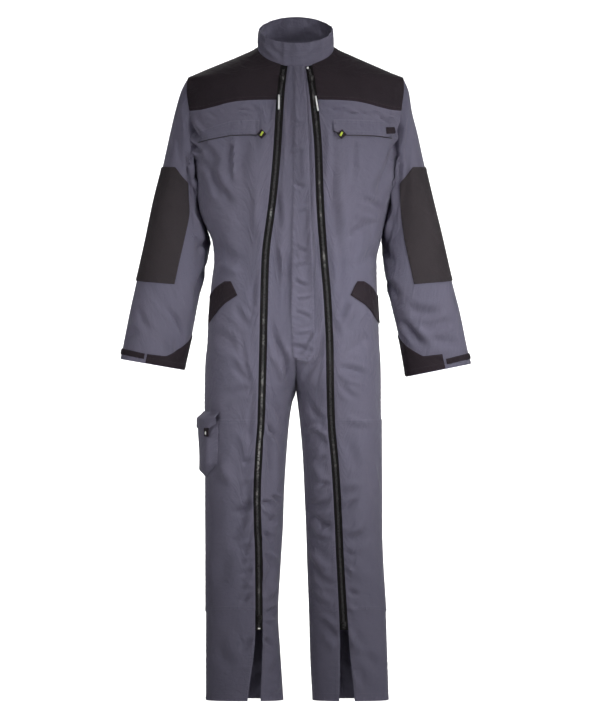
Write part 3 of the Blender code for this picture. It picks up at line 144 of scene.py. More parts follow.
BODY_ROWS = in_mm(BodyRow,
    (40, 74, 74, 0, 0, 45, 22, 65, -22, 65),
    (35.1, 80, 80, 0, 0, 45, 25, 69, -25, 69),
    (23.3, 88.5, 88.5, 0, 0, 45, 36, 78, -36, 78),
    (1, 133, 133, 0, 0, 48, 57, 88, -57, 88),
    (-15.6, 173.5, 171, 0, 0, 50, 71, 95, -71, 95),
    (-37.3, 226, 221, 0, 0, 52, 91, 103, -91, 103),
    (-51.3, 253, 251, 0, 0, 55, 100, 107, -100, 107),
    (-95.5, 263, 259, 0, 0, 55, 119, 117, -119, 117),
    (-142, 260, 257.5, 0, 0, 55, 130, 123, -130, 123),
    (-216.7, 249, 247, 0, 0, 55, 138, 127, -138, 127),
    (-271.9, 240.5, 237, 0, 0, 55, 139, 125, -139, 125),
    (-365.8, 223, 212, 0, 0, 55, 134, 116, -134, 116),
    (-433.4, 194, 196, 0, 0, 55, 128, 110, -128, 110),
    (-473, 190.5, 187.5, 0, 0, 57, 126, 112, -126, 112),
    (-524.3, 196.5, 188, 0, 0, 60, 126, 119, -126, 119),
    (-612.8, 204.5, 191.5, 0, 0, 72, 128, 131, -128, 131),
    (-668.7, 206.5, 193.5, 0, 0, 82, 130, 134, -130, 134),
    (-700, 210, 196, 0, 0, 90, 130, 133, -130, 126),
    (-725, 211.5, 197, 0, 0, 94, 129, 131, -96, 104),
    (-750, 212.2, 197.4, 0, 0, 98, 128, 129, -56, 74),
    (-770, 212.5, 197.5, 0, 0, 100, 126, 126, -18, 36),
    (-781, 212.7, 197.5, 0.5, 0.5, 101, 124, 123, 8, 8),
    (-803.9, 213, 197.5, 8.5, 3.5, 104, 118, 117, 8, 8),
    (-855.1, 211.5, 198, 16.3, 9.3, 109, 110, 108, 7, 7),
    (-941.3, 210, 198.5, 23.3, 16.3, 113, 100, 96, 5, 5),
    (-1025.2, 210, 199, 28, 20, 115, 91, 88, 3, 3),
    (-1095.1, 209.8, 199, 30.3, 23.3, 116, 85, 84, 2, 2),
    (-1172, 209.5, 201.5, 35, 25.6, 118, 80, 80, 1, 1),
    (-1297.8, 209.5, 209, 41.5, 30.3, 121, 74, 75, 0, 0),
    (-1386.4, 209.5, 212, 36.5, 32.6, 121, 71, 73, 0, 0),
    (-1498, 209.5, 215.5, 29.1, 38.2, 121, 69, 71, 0, 0),
)


class ZipRow(NamedTuple):
    """Distance of each zip from the centre plane and its half width, at one height."""

    z: float
    right_x: float
    left_x: float
    right_half: float
    left_half: float


ZIP_ROWS = in_mm(ZipRow,
    (-19, 27, 29, 8, 8),
    (-70, 33.5, 37.2, 8.8, 8.8),
    (-134, 38.4, 44.3, 9.2, 9.2),
    (-214, 43.1, 51.3, 9.2, 9.2),
    (-333, 53.6, 55.5, 9.2, 9.2),
    (-473, 70.8, 65.2, 9.2, 9.2),
    (-554.5, 73.4, 72.2, 9.2, 9.2),
    (-668.7, 75.7, 77.8, 9.2, 9.2),
    (-766.6, 78.1, 79.2, 9, 9),
    (-845.8, 80.6, 81.6, 9, 9),
    (-941.3, 87, 90, 9, 9),
    (-1025.2, 90.2, 95.5, 9, 9),
    (-1172, 86.2, 102.5, 9, 9),
    (-1333, 85.7, 111.4, 8.8, 10),
    (-1498, 97.4, 118.5, 15, 17.8),
)


class ContourRow(NamedTuple):
    """One point of a sleeve's edge in the XZ plane, for each side."""

    right_x: float
    right_z: float
    left_x: float
    left_z: float


SLEEVE_TOP_EDGE = in_mm(ContourRow,
    (253, -51.3, 251, -51.3),
    (267, -78, 263, -81.6),
    (279.5, -119, 271, -130.5),
    (293, -175, 282.5, -175),
    (310, -252, 298.5, -248),
    (331, -335, 321.5, -345),
    (349.5, -424, 337, -408),
    (371, -520, 361.5, -515),
    (387, -592, 382, -595),
    (404, -678, 401, -687),
    (409, -704, 408, -715),
)
SLEEVE_UNDER_EDGE = in_mm(ContourRow,
    (240.5, -271.9, 237, -271.9),
    (238.5, -295, 234.5, -295),
    (231, -330, 224, -330),
    (222.5, -365.8, 211, -370),
    (211, -400, 204.5, -405),
    (200.5, -433.4, 201.5, -435.7),
    (205, -465, 204, -480),
    (224, -550, 216, -550),
    (242, -645, 240, -655),
    (261, -730, 256.3, -745.6),
)


class SleeveRow(NamedTuple):
    """Half depths of a sleeve at a share of its length."""

    v: float
    front: float
    back: float


SLEEVE_ROWS = table(SleeveRow,
    (0.00, 0.060, 0.058),
    (0.15, 0.078, 0.074),
    (0.35, 0.076, 0.072),
    (0.55, 0.071, 0.062),
    (0.75, 0.066, 0.048),
    (1.00, 0.060, 0.030),
)
SLEEVE_LENGTH = 0.68
SLEEVE_RADIUS = 0.070
SLEEVE_BLEND = 0.28
UNDER_SWING = 0.034
ALLOWANCE = 0.009
ALLOWANCE_SINK = 0.0020


class Fold(NamedTuple):
    """Straight soft fold in a front or back view: a ridge where depth is positive, else a trough."""

    x0: float
    z0: float
    x1: float
    z1: float
    width: float
    depth: float


FRONT_FOLDS = in_mm(Fold,
    (-24, -90, -5, -300, 10, -4),
    (-34, -230, -46, -780, 14, -4.5),
    (27, -280, 18, -420, 14, -2.2),
    (24, -430, 38, -640, 14, -2.2),
    (90, -300, 104, -560, 14, -4),
    (-128, -300, -118, -560, 22, -5),
    (-90, -200, -100, -440, 16, 3.5),
    (-215, -180, -140, -300, 18, 4),
    (-225, -230, -170, -380, 16, -4),
    (222, -190, 150, -330, 18, 4),
    (215, -250, 170, -420, 16, -4),
    (150, -440, 170, -640, 18, 3.5),
    (-150, -620, -90, -700, 14, -3),
    (140, -640, 90, -720, 14, -3),
    (-150, -860, -160, -1180, 22, 4),
    (150, -880, 160, -1200, 22, 4),
    (-105, -1040, -140, -1150, 15, -4),
    (30, -1040, 85, -1100, 14, -3.5),
    (-65, -860, -50, -1020, 14, -3),
    (60, -880, 50, -1020, 14, 3),
    (126, -1350, 185, -1455, 14, 3.5),
    (-150, -1340, -185, -1450, 14, 3),
)
BACK_FOLDS = in_mm(Fold,
    (-60, -200, -75, -520, 18, -4.5),
    (75, -230, 60, -500, 20, -4.5),
    (-215, -190, -130, -330, 18, 4.5),
    (215, -200, 120, -310, 18, 4.5),
    (-150, -440, -70, -480, 14, -4),
    (150, -470, 60, -500, 14, -4),
    (-40, -740, -140, -840, 16, -4.5),
    (40, -730, 130, -850, 16, -4.5),
    (-70, -980, -170, -1030, 16, -4.5),
    (70, -1000, 160, -1040, 16, -4.5),
    (-120, -1080, -115, -1400, 20, 3.5),
    (125, -1100, 130, -1420, 20, 3.5),
)


class SleeveFold(NamedTuple):
    """Straight soft fold on a sleeve, between two places v, angle."""

    v0: float
    angle0: float
    v1: float
    angle1: float
    width: float
    depth: float


SLEEVE_FOLDS = {
    Side.RIGHT: table(SleeveFold,
        (0.06, 50, 0.34, 80, 0.014, -0.0030),
        (0.71, 50, 0.82, 150, 0.014, -0.0030),
        (0.72, 220, 0.80, 310, 0.014, -0.0030),
    ),
    Side.LEFT: table(SleeveFold,
        (0.08, 60, 0.36, 95, 0.014, -0.0030),
        (0.82, 140, 0.76, 45, 0.014, -0.0035),
        (0.82, 220, 0.75, 310, 0.014, -0.0030),
    ),
}


# ------------------------------------------------------------------------ curves and tables

class Columns:
    """Smooth curves through a table's rows, one for each column after the first."""

    def __init__(self, rows: Sequence[tuple]) -> None:
        """Put the rows in order and work out each column's slopes.

        Args:
            rows: the table's rows, each with its key first.
        """
        ordered = sorted(rows, key=lambda row: row[0])
        self.keys = np.array([row[0] for row in ordered])
        self.curves: dict[str, tuple[Array, Array]] = {}
        for index, name in enumerate(ordered[0]._fields[1:], start=1):
            values = np.array([row[index] for row in ordered])
            self.curves[name] = (values, self._slopes(values))

    def _slopes(self, values: Array) -> Array:
        """Slope at each row, flat where a column turns, so that no curve overshoots its rows.

        Args:
            values: the column's values.

        Returns:
            A slope for every row.
        """
        rises = np.diff(values) / np.diff(self.keys)
        slopes = np.zeros(len(values))
        slopes[0] = rises[0]
        slopes[-1] = rises[-1]
        for i in range(1, len(values) - 1):
            if rises[i - 1] * rises[i] > 0:
                slopes[i] = 2 * rises[i - 1] * rises[i] / (rises[i - 1] + rises[i])
        return slopes

    def at(self, name: str, key: Array | float) -> Array:
        """Values of one column, held at its end values beyond the table.

        Args:
            name: the column.
            key: one key or an array of them.

        Returns:
            The values, in the shape of key.
        """
        values, slopes = self.curves[name]
        key = np.clip(np.asarray(key, dtype=float), self.keys[0], self.keys[-1])
        i = np.clip(np.searchsorted(self.keys, key, side="right") - 1, 0, len(values) - 2)
        span = self.keys[i + 1] - self.keys[i]
        t = (key - self.keys[i]) / span
        near = values[i] * (1 + 2 * t) * (1 - t) ** 2 + span * slopes[i] * t * (1 - t) ** 2
        far = values[i + 1] * t * t * (3 - 2 * t) + span * slopes[i + 1] * t * t * (t - 1)
        return near + far


class EdgePoint(NamedTuple):
    """Point of an edge by the share of its length."""

    share: float
    x: float
    z: float


def contour(rows: Sequence[ContourRow], side: Side) -> Columns:
    """Smooth edge of one sleeve in the XZ plane, by the share of its length.

    Args:
        rows: the edge's points, for both sides.
        side: the wearer's side.

    Returns:
        Columns x and z by the share of the edge.
    """
    points = np.array([(getattr(row, f"{side.word}_x"), getattr(row, f"{side.word}_z")) for row in rows])
    runs = np.concatenate([[0.0], np.cumsum(np.linalg.norm(np.diff(points, axis=0), axis=1))])
    return Columns([EdgePoint(run / runs[-1], *point) for run, point in zip(runs, points)])


BODY = Columns(BODY_ROWS)
ZIPS = Columns(ZIP_ROWS)
SLEEVE_DEPTH = Columns(SLEEVE_ROWS)
TOP_EDGES = {side: contour(SLEEVE_TOP_EDGE, side) for side in Side}
UNDER_EDGES = {side: contour(SLEEVE_UNDER_EDGE, side) for side in Side}


def ease(value: Array | float, low: float, high: float) -> Array:
    """Smooth step from 0 at low to 1 at high."""
    t = np.clip((np.asarray(value, dtype=float) - low) / (high - low), 0.0, 1.0)
    return t * t * (3 - 2 * t)


def mix(a: Array | float, b: Array | float, t: Array | float) -> Array:
    """Value at t of the way from a to b."""
    return a + (b - a) * t


def unit(vectors: Array) -> Array:
    """Vectors scaled to length one."""
    return vectors / np.maximum(np.linalg.norm(vectors, axis=-1, keepdims=True), 1e-12)


def spaced(start: float, end: float, steps: int) -> Array:
    """Evenly spaced values, both ends in."""
    return np.linspace(start, end, steps + 1)


def levels(spans: Sequence[tuple[float, float, int]], fine: int) -> Array:
    """Heights through several spans of (from, to, steps), each span cut fine times as small."""
    parts = [np.array([spans[0][0]])] + [spaced(start, end, steps * fine)[1:] for start, end, steps in spans]
    return np.concatenate(parts)


# ----------------------------------------------------------------------------- folds in cloth

class Crease(NamedTuple):
    """Curved crease from one spot to another: bow is how far its middle leaves the straight line."""

    x0: float
    z0: float
    x1: float
    z1: float
    bow: float
    width: float
    depth: float


FRONT_CREASES = in_mm(Crease,
    # crinkles between the yokes and the flaps
    (-206, -128, -180, -146, 3, 3, -1.4),
    (-190, -122, -160, -134, -2, 3.4, 1.3),
    (-172, -122, -150, -142, 3, 2.8, -1.3),
    (-146, -120, -112, -128, 2, 3.2, -1.4),
    (-140, -132, -100, -139, -2, 3, 1.2),
    (-104, -114, -82, -134, 2, 3, -1.4),
    (-86, -112, -76, -150, -2, 3, 1.3),
    (76, -116, 100, -134, 2, 3, -1.4),
    (98, -120, 130, -128, -2, 3.4, 1.3),
    (112, -132, 150, -138, 2, 2.8, -1.4),
    (140, -124, 172, -140, 3, 3.2, -1.3),
    (170, -128, 204, -138, -2, 3, 1.3),
    (188, -136, 226, -160, 4, 3.4, -1.6),
    (206, -142, 236, -150, -2, 3, 1.3),
    # pocket bags pressing through the chest
    (-142, -192, -138, -306, 2, 6, 1.8),
    (-152, -196, -148, -312, 2, 7, -1.6),
    (75, -150, 79, -300, 2, 6, 1.6),
    (134, -200, 131, -306, -2, 6, -1.6),
    # chest, between the yokes and the waist
    (-249, -146, -206, -196, 12, 4.2, -2.8),
    (-251, -160, -214, -212, 11, 3.8, 2.2),
    (-250, -174, -218, -224, 10, 4, -2.6),
    (-240, -140, -196, -184, 8, 4.2, 2),
    (-247, -192, -216, -244, 8, 4.8, 2),
    (-226, -205, -178, -262, -8, 8, -2.2),
    (-232, -250, -190, -345, -10, 9, 2.6),
    (-205, -285, -150, -370, -12, 11, -2.6),
    (-183, -240, -150, -330, 6, 9, 1.8),
    (-116, -200, -126, -300, 4, 10, -1.6),
    (-70, -130, -78, -250, 3, 8, 1.4),
    (-24, -105, -21, -235, 2, 5.5, 1.6),
    (-29, -320, -32, -560, 3, 8, 2),
    (-21, -460, -24, -640, -2, 6.5, -1.4),
    (20, -200, 26, -330, 3, 7, 1.4),
    (33, -330, 44, -560, 2, 9, 1.6),
    (112, -330, 96, -480, -4, 11, 1.8),
    (248, -150, 206, -198, -10, 5, -2.2),
    (246, -172, 212, -226, -10, 4.5, -1.8),
    (240, -190, 196, -330, 10, 8.5, -3),
    (222, -205, 196, -300, 4, 8, 2.2),
    (206, -362, 142, -330, 4, 6, -1.8),
    (196, -376, 136, -368, -4, 7, 1.6),
    (176, -395, 120, -430, 6, 9, -1.6),
    # waist and hips
    (-184, -430, -120, -480, 10, 12, -2.2),
    (-182, -490, -130, -505, -4, 8, 1.4),
    (182, -440, 128, -500, -8, 11, -2),
    (-140, -580, -98, -636, 6, 8, -1.8),
    (120, -566, 94, -612, -4, 6, -2.2),
    (128, -584, 100, -640, -5, 7, 1.6),
    (-196, -640, -120, -720, -12, 12, -2),
    (-128, -640, -104, -762, 4, 6, -1.4),
    (-112, -700, -92, -800, -4, 5.5, 1.4),
    (186, -650, 116, -700, 8, 12, -1.8),
    # rumples beside the zips and the fly
    (-10, -150, 18, -162, 3, 4, -1.4),
    (-12, -226, 20, -214, -3, 4.5, 1.4),
    (-8, -292, 24, -308, 3, 4, -1.4),
    (4, -360, 34, -352, -2, 4.5, 1.3),
    (-4, -440, 30, -456, 4, 4.5, -1.8),
    (0, -486, 36, -478, -3, 4, 1.8),
    (-4, -520, 30, -536, 3, 4.2, -2),
    (2, -560, 38, -552, 3, 4, 1.8),
    (-2, -596, 36, -612, -3, 4.2, -2),
    (0, -640, 40, -632, 3, 4.2, 1.8),
    (-42, -300, -30, -420, 3, 5.5, -1.8),
    (-40, -440, -30, -530, -3, 5, 1.8),
    (48, -400, 54, -520, 3, 5.5, -1.8),
    (-88, -300, -86, -440, 4, 8, 1.8),
    (86, -240, 94, -420, 4, 8, -2),
    (84, -420, 90, -560, -4, 7, 1.8),
    (-94, -520, -102, -620, 4, 7, -1.8),
    (-112, -560, -92, -600, 3, 5, 1.6),
    (84, -600, 104, -660, 3, 6, -2),
    (-150, -690, -106, -716, 6, 6, 1.8),
    (-150, -720, -112, -760, -4, 6, -1.8),
    (114, -840, 180, -852, 4, 7, 1.6),
    (-100, -820, -110, -900, 4, 6, -1.8),
    (-172, -930, -140, -1000, 6, 11, 2),
    # crotch: drag lines into the fork
    (-20, -676, 46, -692, -6, 5.5, -2.2),
    (-18, -694, 48, -706, 5, 5, 1.8),
    (-60, -606, -34, -700, 4, 7, -2.2),
    (-50, -652, -14, -776, -8, 6, -2.4),
    (-60, -690, -26, -772, -6, 6, 1.8),
    (62, -620, 40, -730, -4, 7, -2),
    (58, -690, 18, -764, 6, 6, -2.2),
    (50, -646, 16, -700, 4, 5, 1.6),
    (98, -724, 176, -746, -5, 6, -2.2),
    (96, -738, 160, -764, 4, 5, 1.6),
    (100, -760, 146, -800, 3, 6, -1.6),
    (-104, -772, -168, -800, 6, 8, -2),
    (-60, -800, -28, -860, -5, 7, -2),
    (30, -800, 66, -850, 6, 7, -1.8),
    # thighs
    (-66, -850, -42, -884, 3, 4.5, -2.2),
    (-70, -872, -44, -916, -4, 5.5, 2),
    (-58, -900, -50, -990, 4, 6, -2.2),
    (-134, -870, -112, -940, -6, 10, 1.8),
    (-104, -980, -130, -1030, -6, 7, -1.8),
    (22, -872, 70, -884, -14, 6, 2.6),
    (30, -892, 72, -912, -12, 9, -2.2),
    (40, -940, 72, -990, 4, 8, 1.6),
    (176, -934, 192, -1020, 3, 6, 2.2),
    (116, -890, 140, -980, -6, 11, -1.6),
    # knees
    (-54, -1020, -34, -1034, 2, 4.5, -2.6),
    (-80, -1036, -50, -1046, -4, 4.5, -2.8),
    (-76, -1050, -42, -1066, 4, 5, 2),
    (-66, -1082, -40, -1072, 3, 5, -1.8),
    (-106, -1024, -146, -1062, -10, 7, -4.2),
    (-104, -1058, -150, -1120, -14, 9, 3.8),
    (28, -1044, 80, -1026, 6, 5.5, -3),
    (36, -1060, 82, -1054, 6, 6, 2.6),
    (38, -1074, 86, -1088, 6, 6, -3.2),
    (40, -1100, 84, -1112, 4, 7, 2.2),
    (104, -1052, 136, -1018, -3, 7, 2.4),
    (112, -1064, 146, -1026, -4, 8, -2),
    (106, -1004, 150, -992, -4, 8, 2),
    (108, -1104, 156, -1076, 10, 9, 2.2),
    (116, -1122, 168, -1098, 10, 11, -1.8),
    # ripples let in along the zips
    (-102, -934, -124, -950, 2, 5, -2.2),
    (-102, -972, -120, -990, -2, 5.5, 2.2),
    (-102, -1134, -126, -1150, 2, 5, -2.6),
    (-102, -1160, -120, -1178, 2, 4.5, 2.2),
    (-102, -1188, -130, -1206, -2, 5.5, -2.6),
    (-102, -1222, -122, -1236, 2, 4.5, 2.4),
    (-102, -1250, -128, -1270, 2, 5, -2.4),
    (-100, -1352, -126, -1380, 3, 6, -2.4),
    (-76, -1104, -50, -1120, 3, 5, -2.6),
    (-72, -1150, -48, -1172, -3, 5, 2.2),
    (-72, -1350, -46, -1372, 3, 6, -2.4),
    (112, -1146, 136, -1160, 2, 5, -2.4),
    (116, -1184, 134, -1204, -2, 5, 2.2),
    (120, -1236, 146, -1250, 2, 5, -2.4),
    (122, -1276, 142, -1290, 2, 5, 2),
    (70, -930, 46, -944, 2, 5, -2),
    (76, -990, 50, -1000, 2, 5, -2.4),
    # shins
    (-70, -1262, -44, -1218, 3, 5.5, 2.6),
    (-72, -1238, -50, -1180, -3, 6, -2.2),
    (-66, -1140, -50, -1196, 4, 7, -2),
    (-72, -1292, -44, -1280, 3, 4.5, -2.4),
    (-74, -1308, -44, -1318, -3, 5, 2),
    (-154, -1150, -176, -1240, 6, 16, -2),
    (-150, -1420, -182, -1360, -6, 15, -2.4),
    (-60, -1440, -42, -1400, 4, 8, -1.8),
    (-64, -1476, -34, -1462, 2, 5.5, 2.2),
    (36, -1148, 80, -1192, 6, 8, 2.8),
    (40, -1196, 92, -1226, 6, 7.5, -2.2),
    (44, -1240, 88, -1268, 4, 7, 2.2),
    (48, -1298, 90, -1322, -5, 6, 2.6),
    (56, -1318, 94, -1350, -5, 6.5, -2.4),
    (60, -1350, 92, -1380, -4, 8, 2),
    (130, -1160, 168, -1220, 8, 14, 1.6),
    (120, -1330, 152, -1386, 4, 8, 2.6),
    (150, -1386, 196, -1436, -6, 10, -2),
    (134, -1430, 150, -1480, 3, 8, 1.8),
)
BACK_CREASES = in_mm(Crease,
    (-20, -170, -34, -330, 4, 11, -2.2),
    (28, -180, 36, -360, -4, 12, 2),
    (-110, -190, -120, -330, 8, 11, 2.4),
    (120, -180, 110, -330, -6, 12, -2.2),
    (-230, -190, -180, -290, -10, 8, -2.4),
    (232, -200, 176, -300, 10, 8.5, -2.4),
    (-200, -290, -140, -400, -14, 11, 2.6),
    (202, -300, 150, -410, 12, 10, 2.2),
    (-180, -420, -100, -450, 8, 8, -2.4),
    (184, -430, 104, -462, -8, 8.5, -2.2),
    (-130, -500, -20, -494, -8, 9, 2.4),
    (20, -486, 126, -520, 6, 8.5, 2.4),
    (-160, -560, -110, -680, 12, 14, -2),
    (164, -560, 120, -690, -12, 13, -2.2),
    (-20, -690, -90, -760, -12, 8, -2.6),
    (18, -700, 84, -776, 12, 8.5, -2.6),
    (-14, -720, -100, -800, -14, 8, 2.2),
    (16, -730, 110, -806, 14, 8, 2.2),
    (-60, -800, -150, -900, -12, 11, 2.2),
    (60, -810, 146, -890, 12, 12, 2.2),
    (-180, -800, -170, -960, 6, 14, -1.8),
    (176, -820, 170, -970, -6, 15, -1.8),
    (-50, -990, -120, -1000, 8, 7, -3),
    (-80, -1010, -180, -1020, 10, 7, 2.6),
    (-60, -1046, -150, -1050, -6, 8, -2.6),
    (-100, -1078, -180, -1070, -6, 8.5, 2.2),
    (40, -1012, 120, -1006, -8, 7, -3),
    (60, -1030, 160, -1020, -8, 7.5, 2.6),
    (60, -1060, 150, -1070, 6, 8, -2.6),
    (50, -1092, 130, -1088, 5, 9, 2),
    (-80, -1160, -90, -1300, 8, 13, -2.2),
    (90, -1150, 80, -1310, -8, 14, -2.2),
    (-150, -1220, -170, -1380, 8, 15, 2),
    (156, -1240, 176, -1390, -8, 14, 2),
    (-70, -1420, -110, -1476, 6, 10, 2),
    (70, -1410, 116, -1470, -6, 10, 2),
)


class SleeveCrease(NamedTuple):
    """Curved crease on a sleeve between two places v, angle; bow is in metres."""

    v0: float
    angle0: float
    v1: float
    angle1: float
    bow: float
    width: float
    depth: float


SLEEVE_CREASES = {
    Side.RIGHT: table(SleeveCrease,
        (0.03, 130, 0.20, 100, 0.008, 0.0080, -0.0030),
        (0.05, 155, 0.26, 120, 0.010, 0.0090, 0.0030),
        (0.10, 160, 0.40, 150, -0.008, 0.0100, -0.0030),
        (0.30, 120, 0.44, 150, 0.006, 0.0090, 0.0020),
        (0.34, 165, 0.47, 125, 0.008, 0.0080, -0.0024),
        (0.46, 190, 0.62, 150, 0.010, 0.0110, -0.0026),
        (0.60, 130, 0.72, 160, 0.006, 0.0100, 0.0020),
        (0.76, 95, 0.84, 140, -0.006, 0.0060, -0.0020),
        (0.80, 40, 0.88, 80, 0.005, 0.0090, -0.0016),
        (0.86, 110, 0.95, 125, 0.004, 0.0080, 0.0022),
        (0.88, 60, 0.94, 20, 0.004, 0.0090, -0.0014),
        (0.08, 230, 0.30, 265, 0.008, 0.0100, -0.0028),
        (0.20, 215, 0.42, 240, -0.008, 0.0110, 0.0026),
        (0.42, 205, 0.55, 262, 0.010, 0.0080, -0.0030),
        (0.50, 215, 0.60, 280, 0.010, 0.0080, 0.0026),
        (0.64, 230, 0.74, 290, -0.008, 0.0100, -0.0022),
        (0.84, 225, 0.92, 290, 0.006, 0.0090, 0.0020),
    ),
    Side.LEFT: table(SleeveCrease,
        (0.03, 125, 0.22, 95, 0.008, 0.0080, -0.0030),
        (0.05, 150, 0.28, 118, 0.010, 0.0085, 0.0030),
        (0.12, 165, 0.42, 140, -0.010, 0.0110, -0.0032),
        (0.26, 128, 0.40, 160, 0.006, 0.0080, 0.0022),
        (0.36, 170, 0.50, 130, 0.008, 0.0090, -0.0022),
        (0.52, 180, 0.66, 135, 0.010, 0.0110, -0.0024),
        (0.70, 120, 0.80, 60, -0.008, 0.0090, -0.0026),
        (0.74, 150, 0.88, 112, 0.008, 0.0085, -0.0034),
        (0.78, 130, 0.90, 90, 0.008, 0.0080, 0.0028),
        (0.82, 100, 0.86, 40, 0.006, 0.0100, -0.0024),
        (0.87, 96, 0.93, 36, -0.004, 0.0090, -0.0016),
        (0.08, 235, 0.32, 268, 0.008, 0.0100, -0.0028),
        (0.22, 212, 0.40, 244, -0.008, 0.0110, 0.0026),
        (0.44, 208, 0.56, 266, 0.010, 0.0080, -0.0030),
        (0.51, 214, 0.62, 276, 0.010, 0.0085, 0.0026),
        (0.66, 226, 0.76, 294, -0.008, 0.0100, -0.0022),
        (0.85, 222, 0.93, 286, 0.006, 0.0090, 0.0020),
    ),
}

CREASE_GAIN = 3.2
CREASE_SPREAD = 1.1
FLANK_SHARE = 0.34
FLANK_REACH = 1.9
FLANK_WIDTH = 0.95
FOLD_START = (-0.15, 0.25)
FOLD_END = (0.75, 1.15)
CREASE_START = (-0.10, 0.35)
CREASE_END = (0.55, 1.10)


def fold_share(along: Array, across: Array, width: float) -> Array:
    """Height share of a broad fold: full at its middle, soft to its sides and its two ends.

    Args:
        along: shares along the fold.
        across: distances beside it.
        width: its half width.

    Returns:
        A share for every place.
    """
    ends = ease(along, *FOLD_START) * (1 - ease(along, *FOLD_END))
    return ends * np.exp(-(across / width) ** 2)


def crease_share(along: Array, across: Array, width: float) -> Array:
    """Height share of a crease: a narrow line between two lower flanks that turn the other way.

    Args:
        along: shares along the crease.
        across: distances beside it.
        width: its half width.

    Returns:
        A share for every place.
    """
    ends = ease(along, *CREASE_START) * (1 - ease(along, *CREASE_END))
    flank = np.exp(-((np.abs(across) - FLANK_REACH * width) / (FLANK_WIDTH * width)) ** 2)
    return ends * (np.exp(-(across / width) ** 2) - FLANK_SHARE * flank)


def beside_line(a: Array, b: Array, start: tuple, end: tuple) -> tuple[Array, Array]:
    """Share along a line, and distance beside it, of the flat places a, b.

    Args:
        a: first values of the places.
        b: second values.
        start: the line's start.
        end: its end.

    Returns:
        The shares and the distances.
    """
    run_a = end[0] - start[0]
    run_b = end[1] - start[1]
    length = math.hypot(run_a, run_b)
    along = ((a - start[0]) * run_a + (b - start[1]) * run_b) / length ** 2
    return along, ((a - start[0]) * run_b - (b - start[1]) * run_a) / length


def straight_height(a: Array, b: Array, start: tuple, end: tuple, width: float, depth: float) -> Array:
    """Height of one broad straight fold at the flat places a, b.

    Args:
        a: first values of the places.
        b: second values.
        start: the fold's start.
        end: its end.
        width: its half width.
        depth: its height at the middle.

    Returns:
        A height for every place.
    """
    along, across = beside_line(a, b, start, end)
    inside = (along > FOLD_START[0]) & (along < FOLD_END[1])
    return np.where(inside, depth * fold_share(along, across, width), 0.0)


def bowed_height(a: Array, b: Array, start: tuple, end: tuple, crease: Crease | SleeveCrease) -> Array:
    """Height of one bowed crease at the flat places a, b.

    Args:
        a: first values of the places.
        b: second values.
        start: the crease's start.
        end: its end.
        crease: its bow, width and depth.

    Returns:
        A height for every place.
    """
    along, across = beside_line(a, b, start, end)
    across = across - 4 * crease.bow * np.clip(along, 0, 1) * (1 - np.clip(along, 0, 1))
    return CREASE_GAIN * crease.depth * crease_share(along, across, CREASE_SPREAD * crease.width)


# ------------------------------------------------------------------------------- body surface

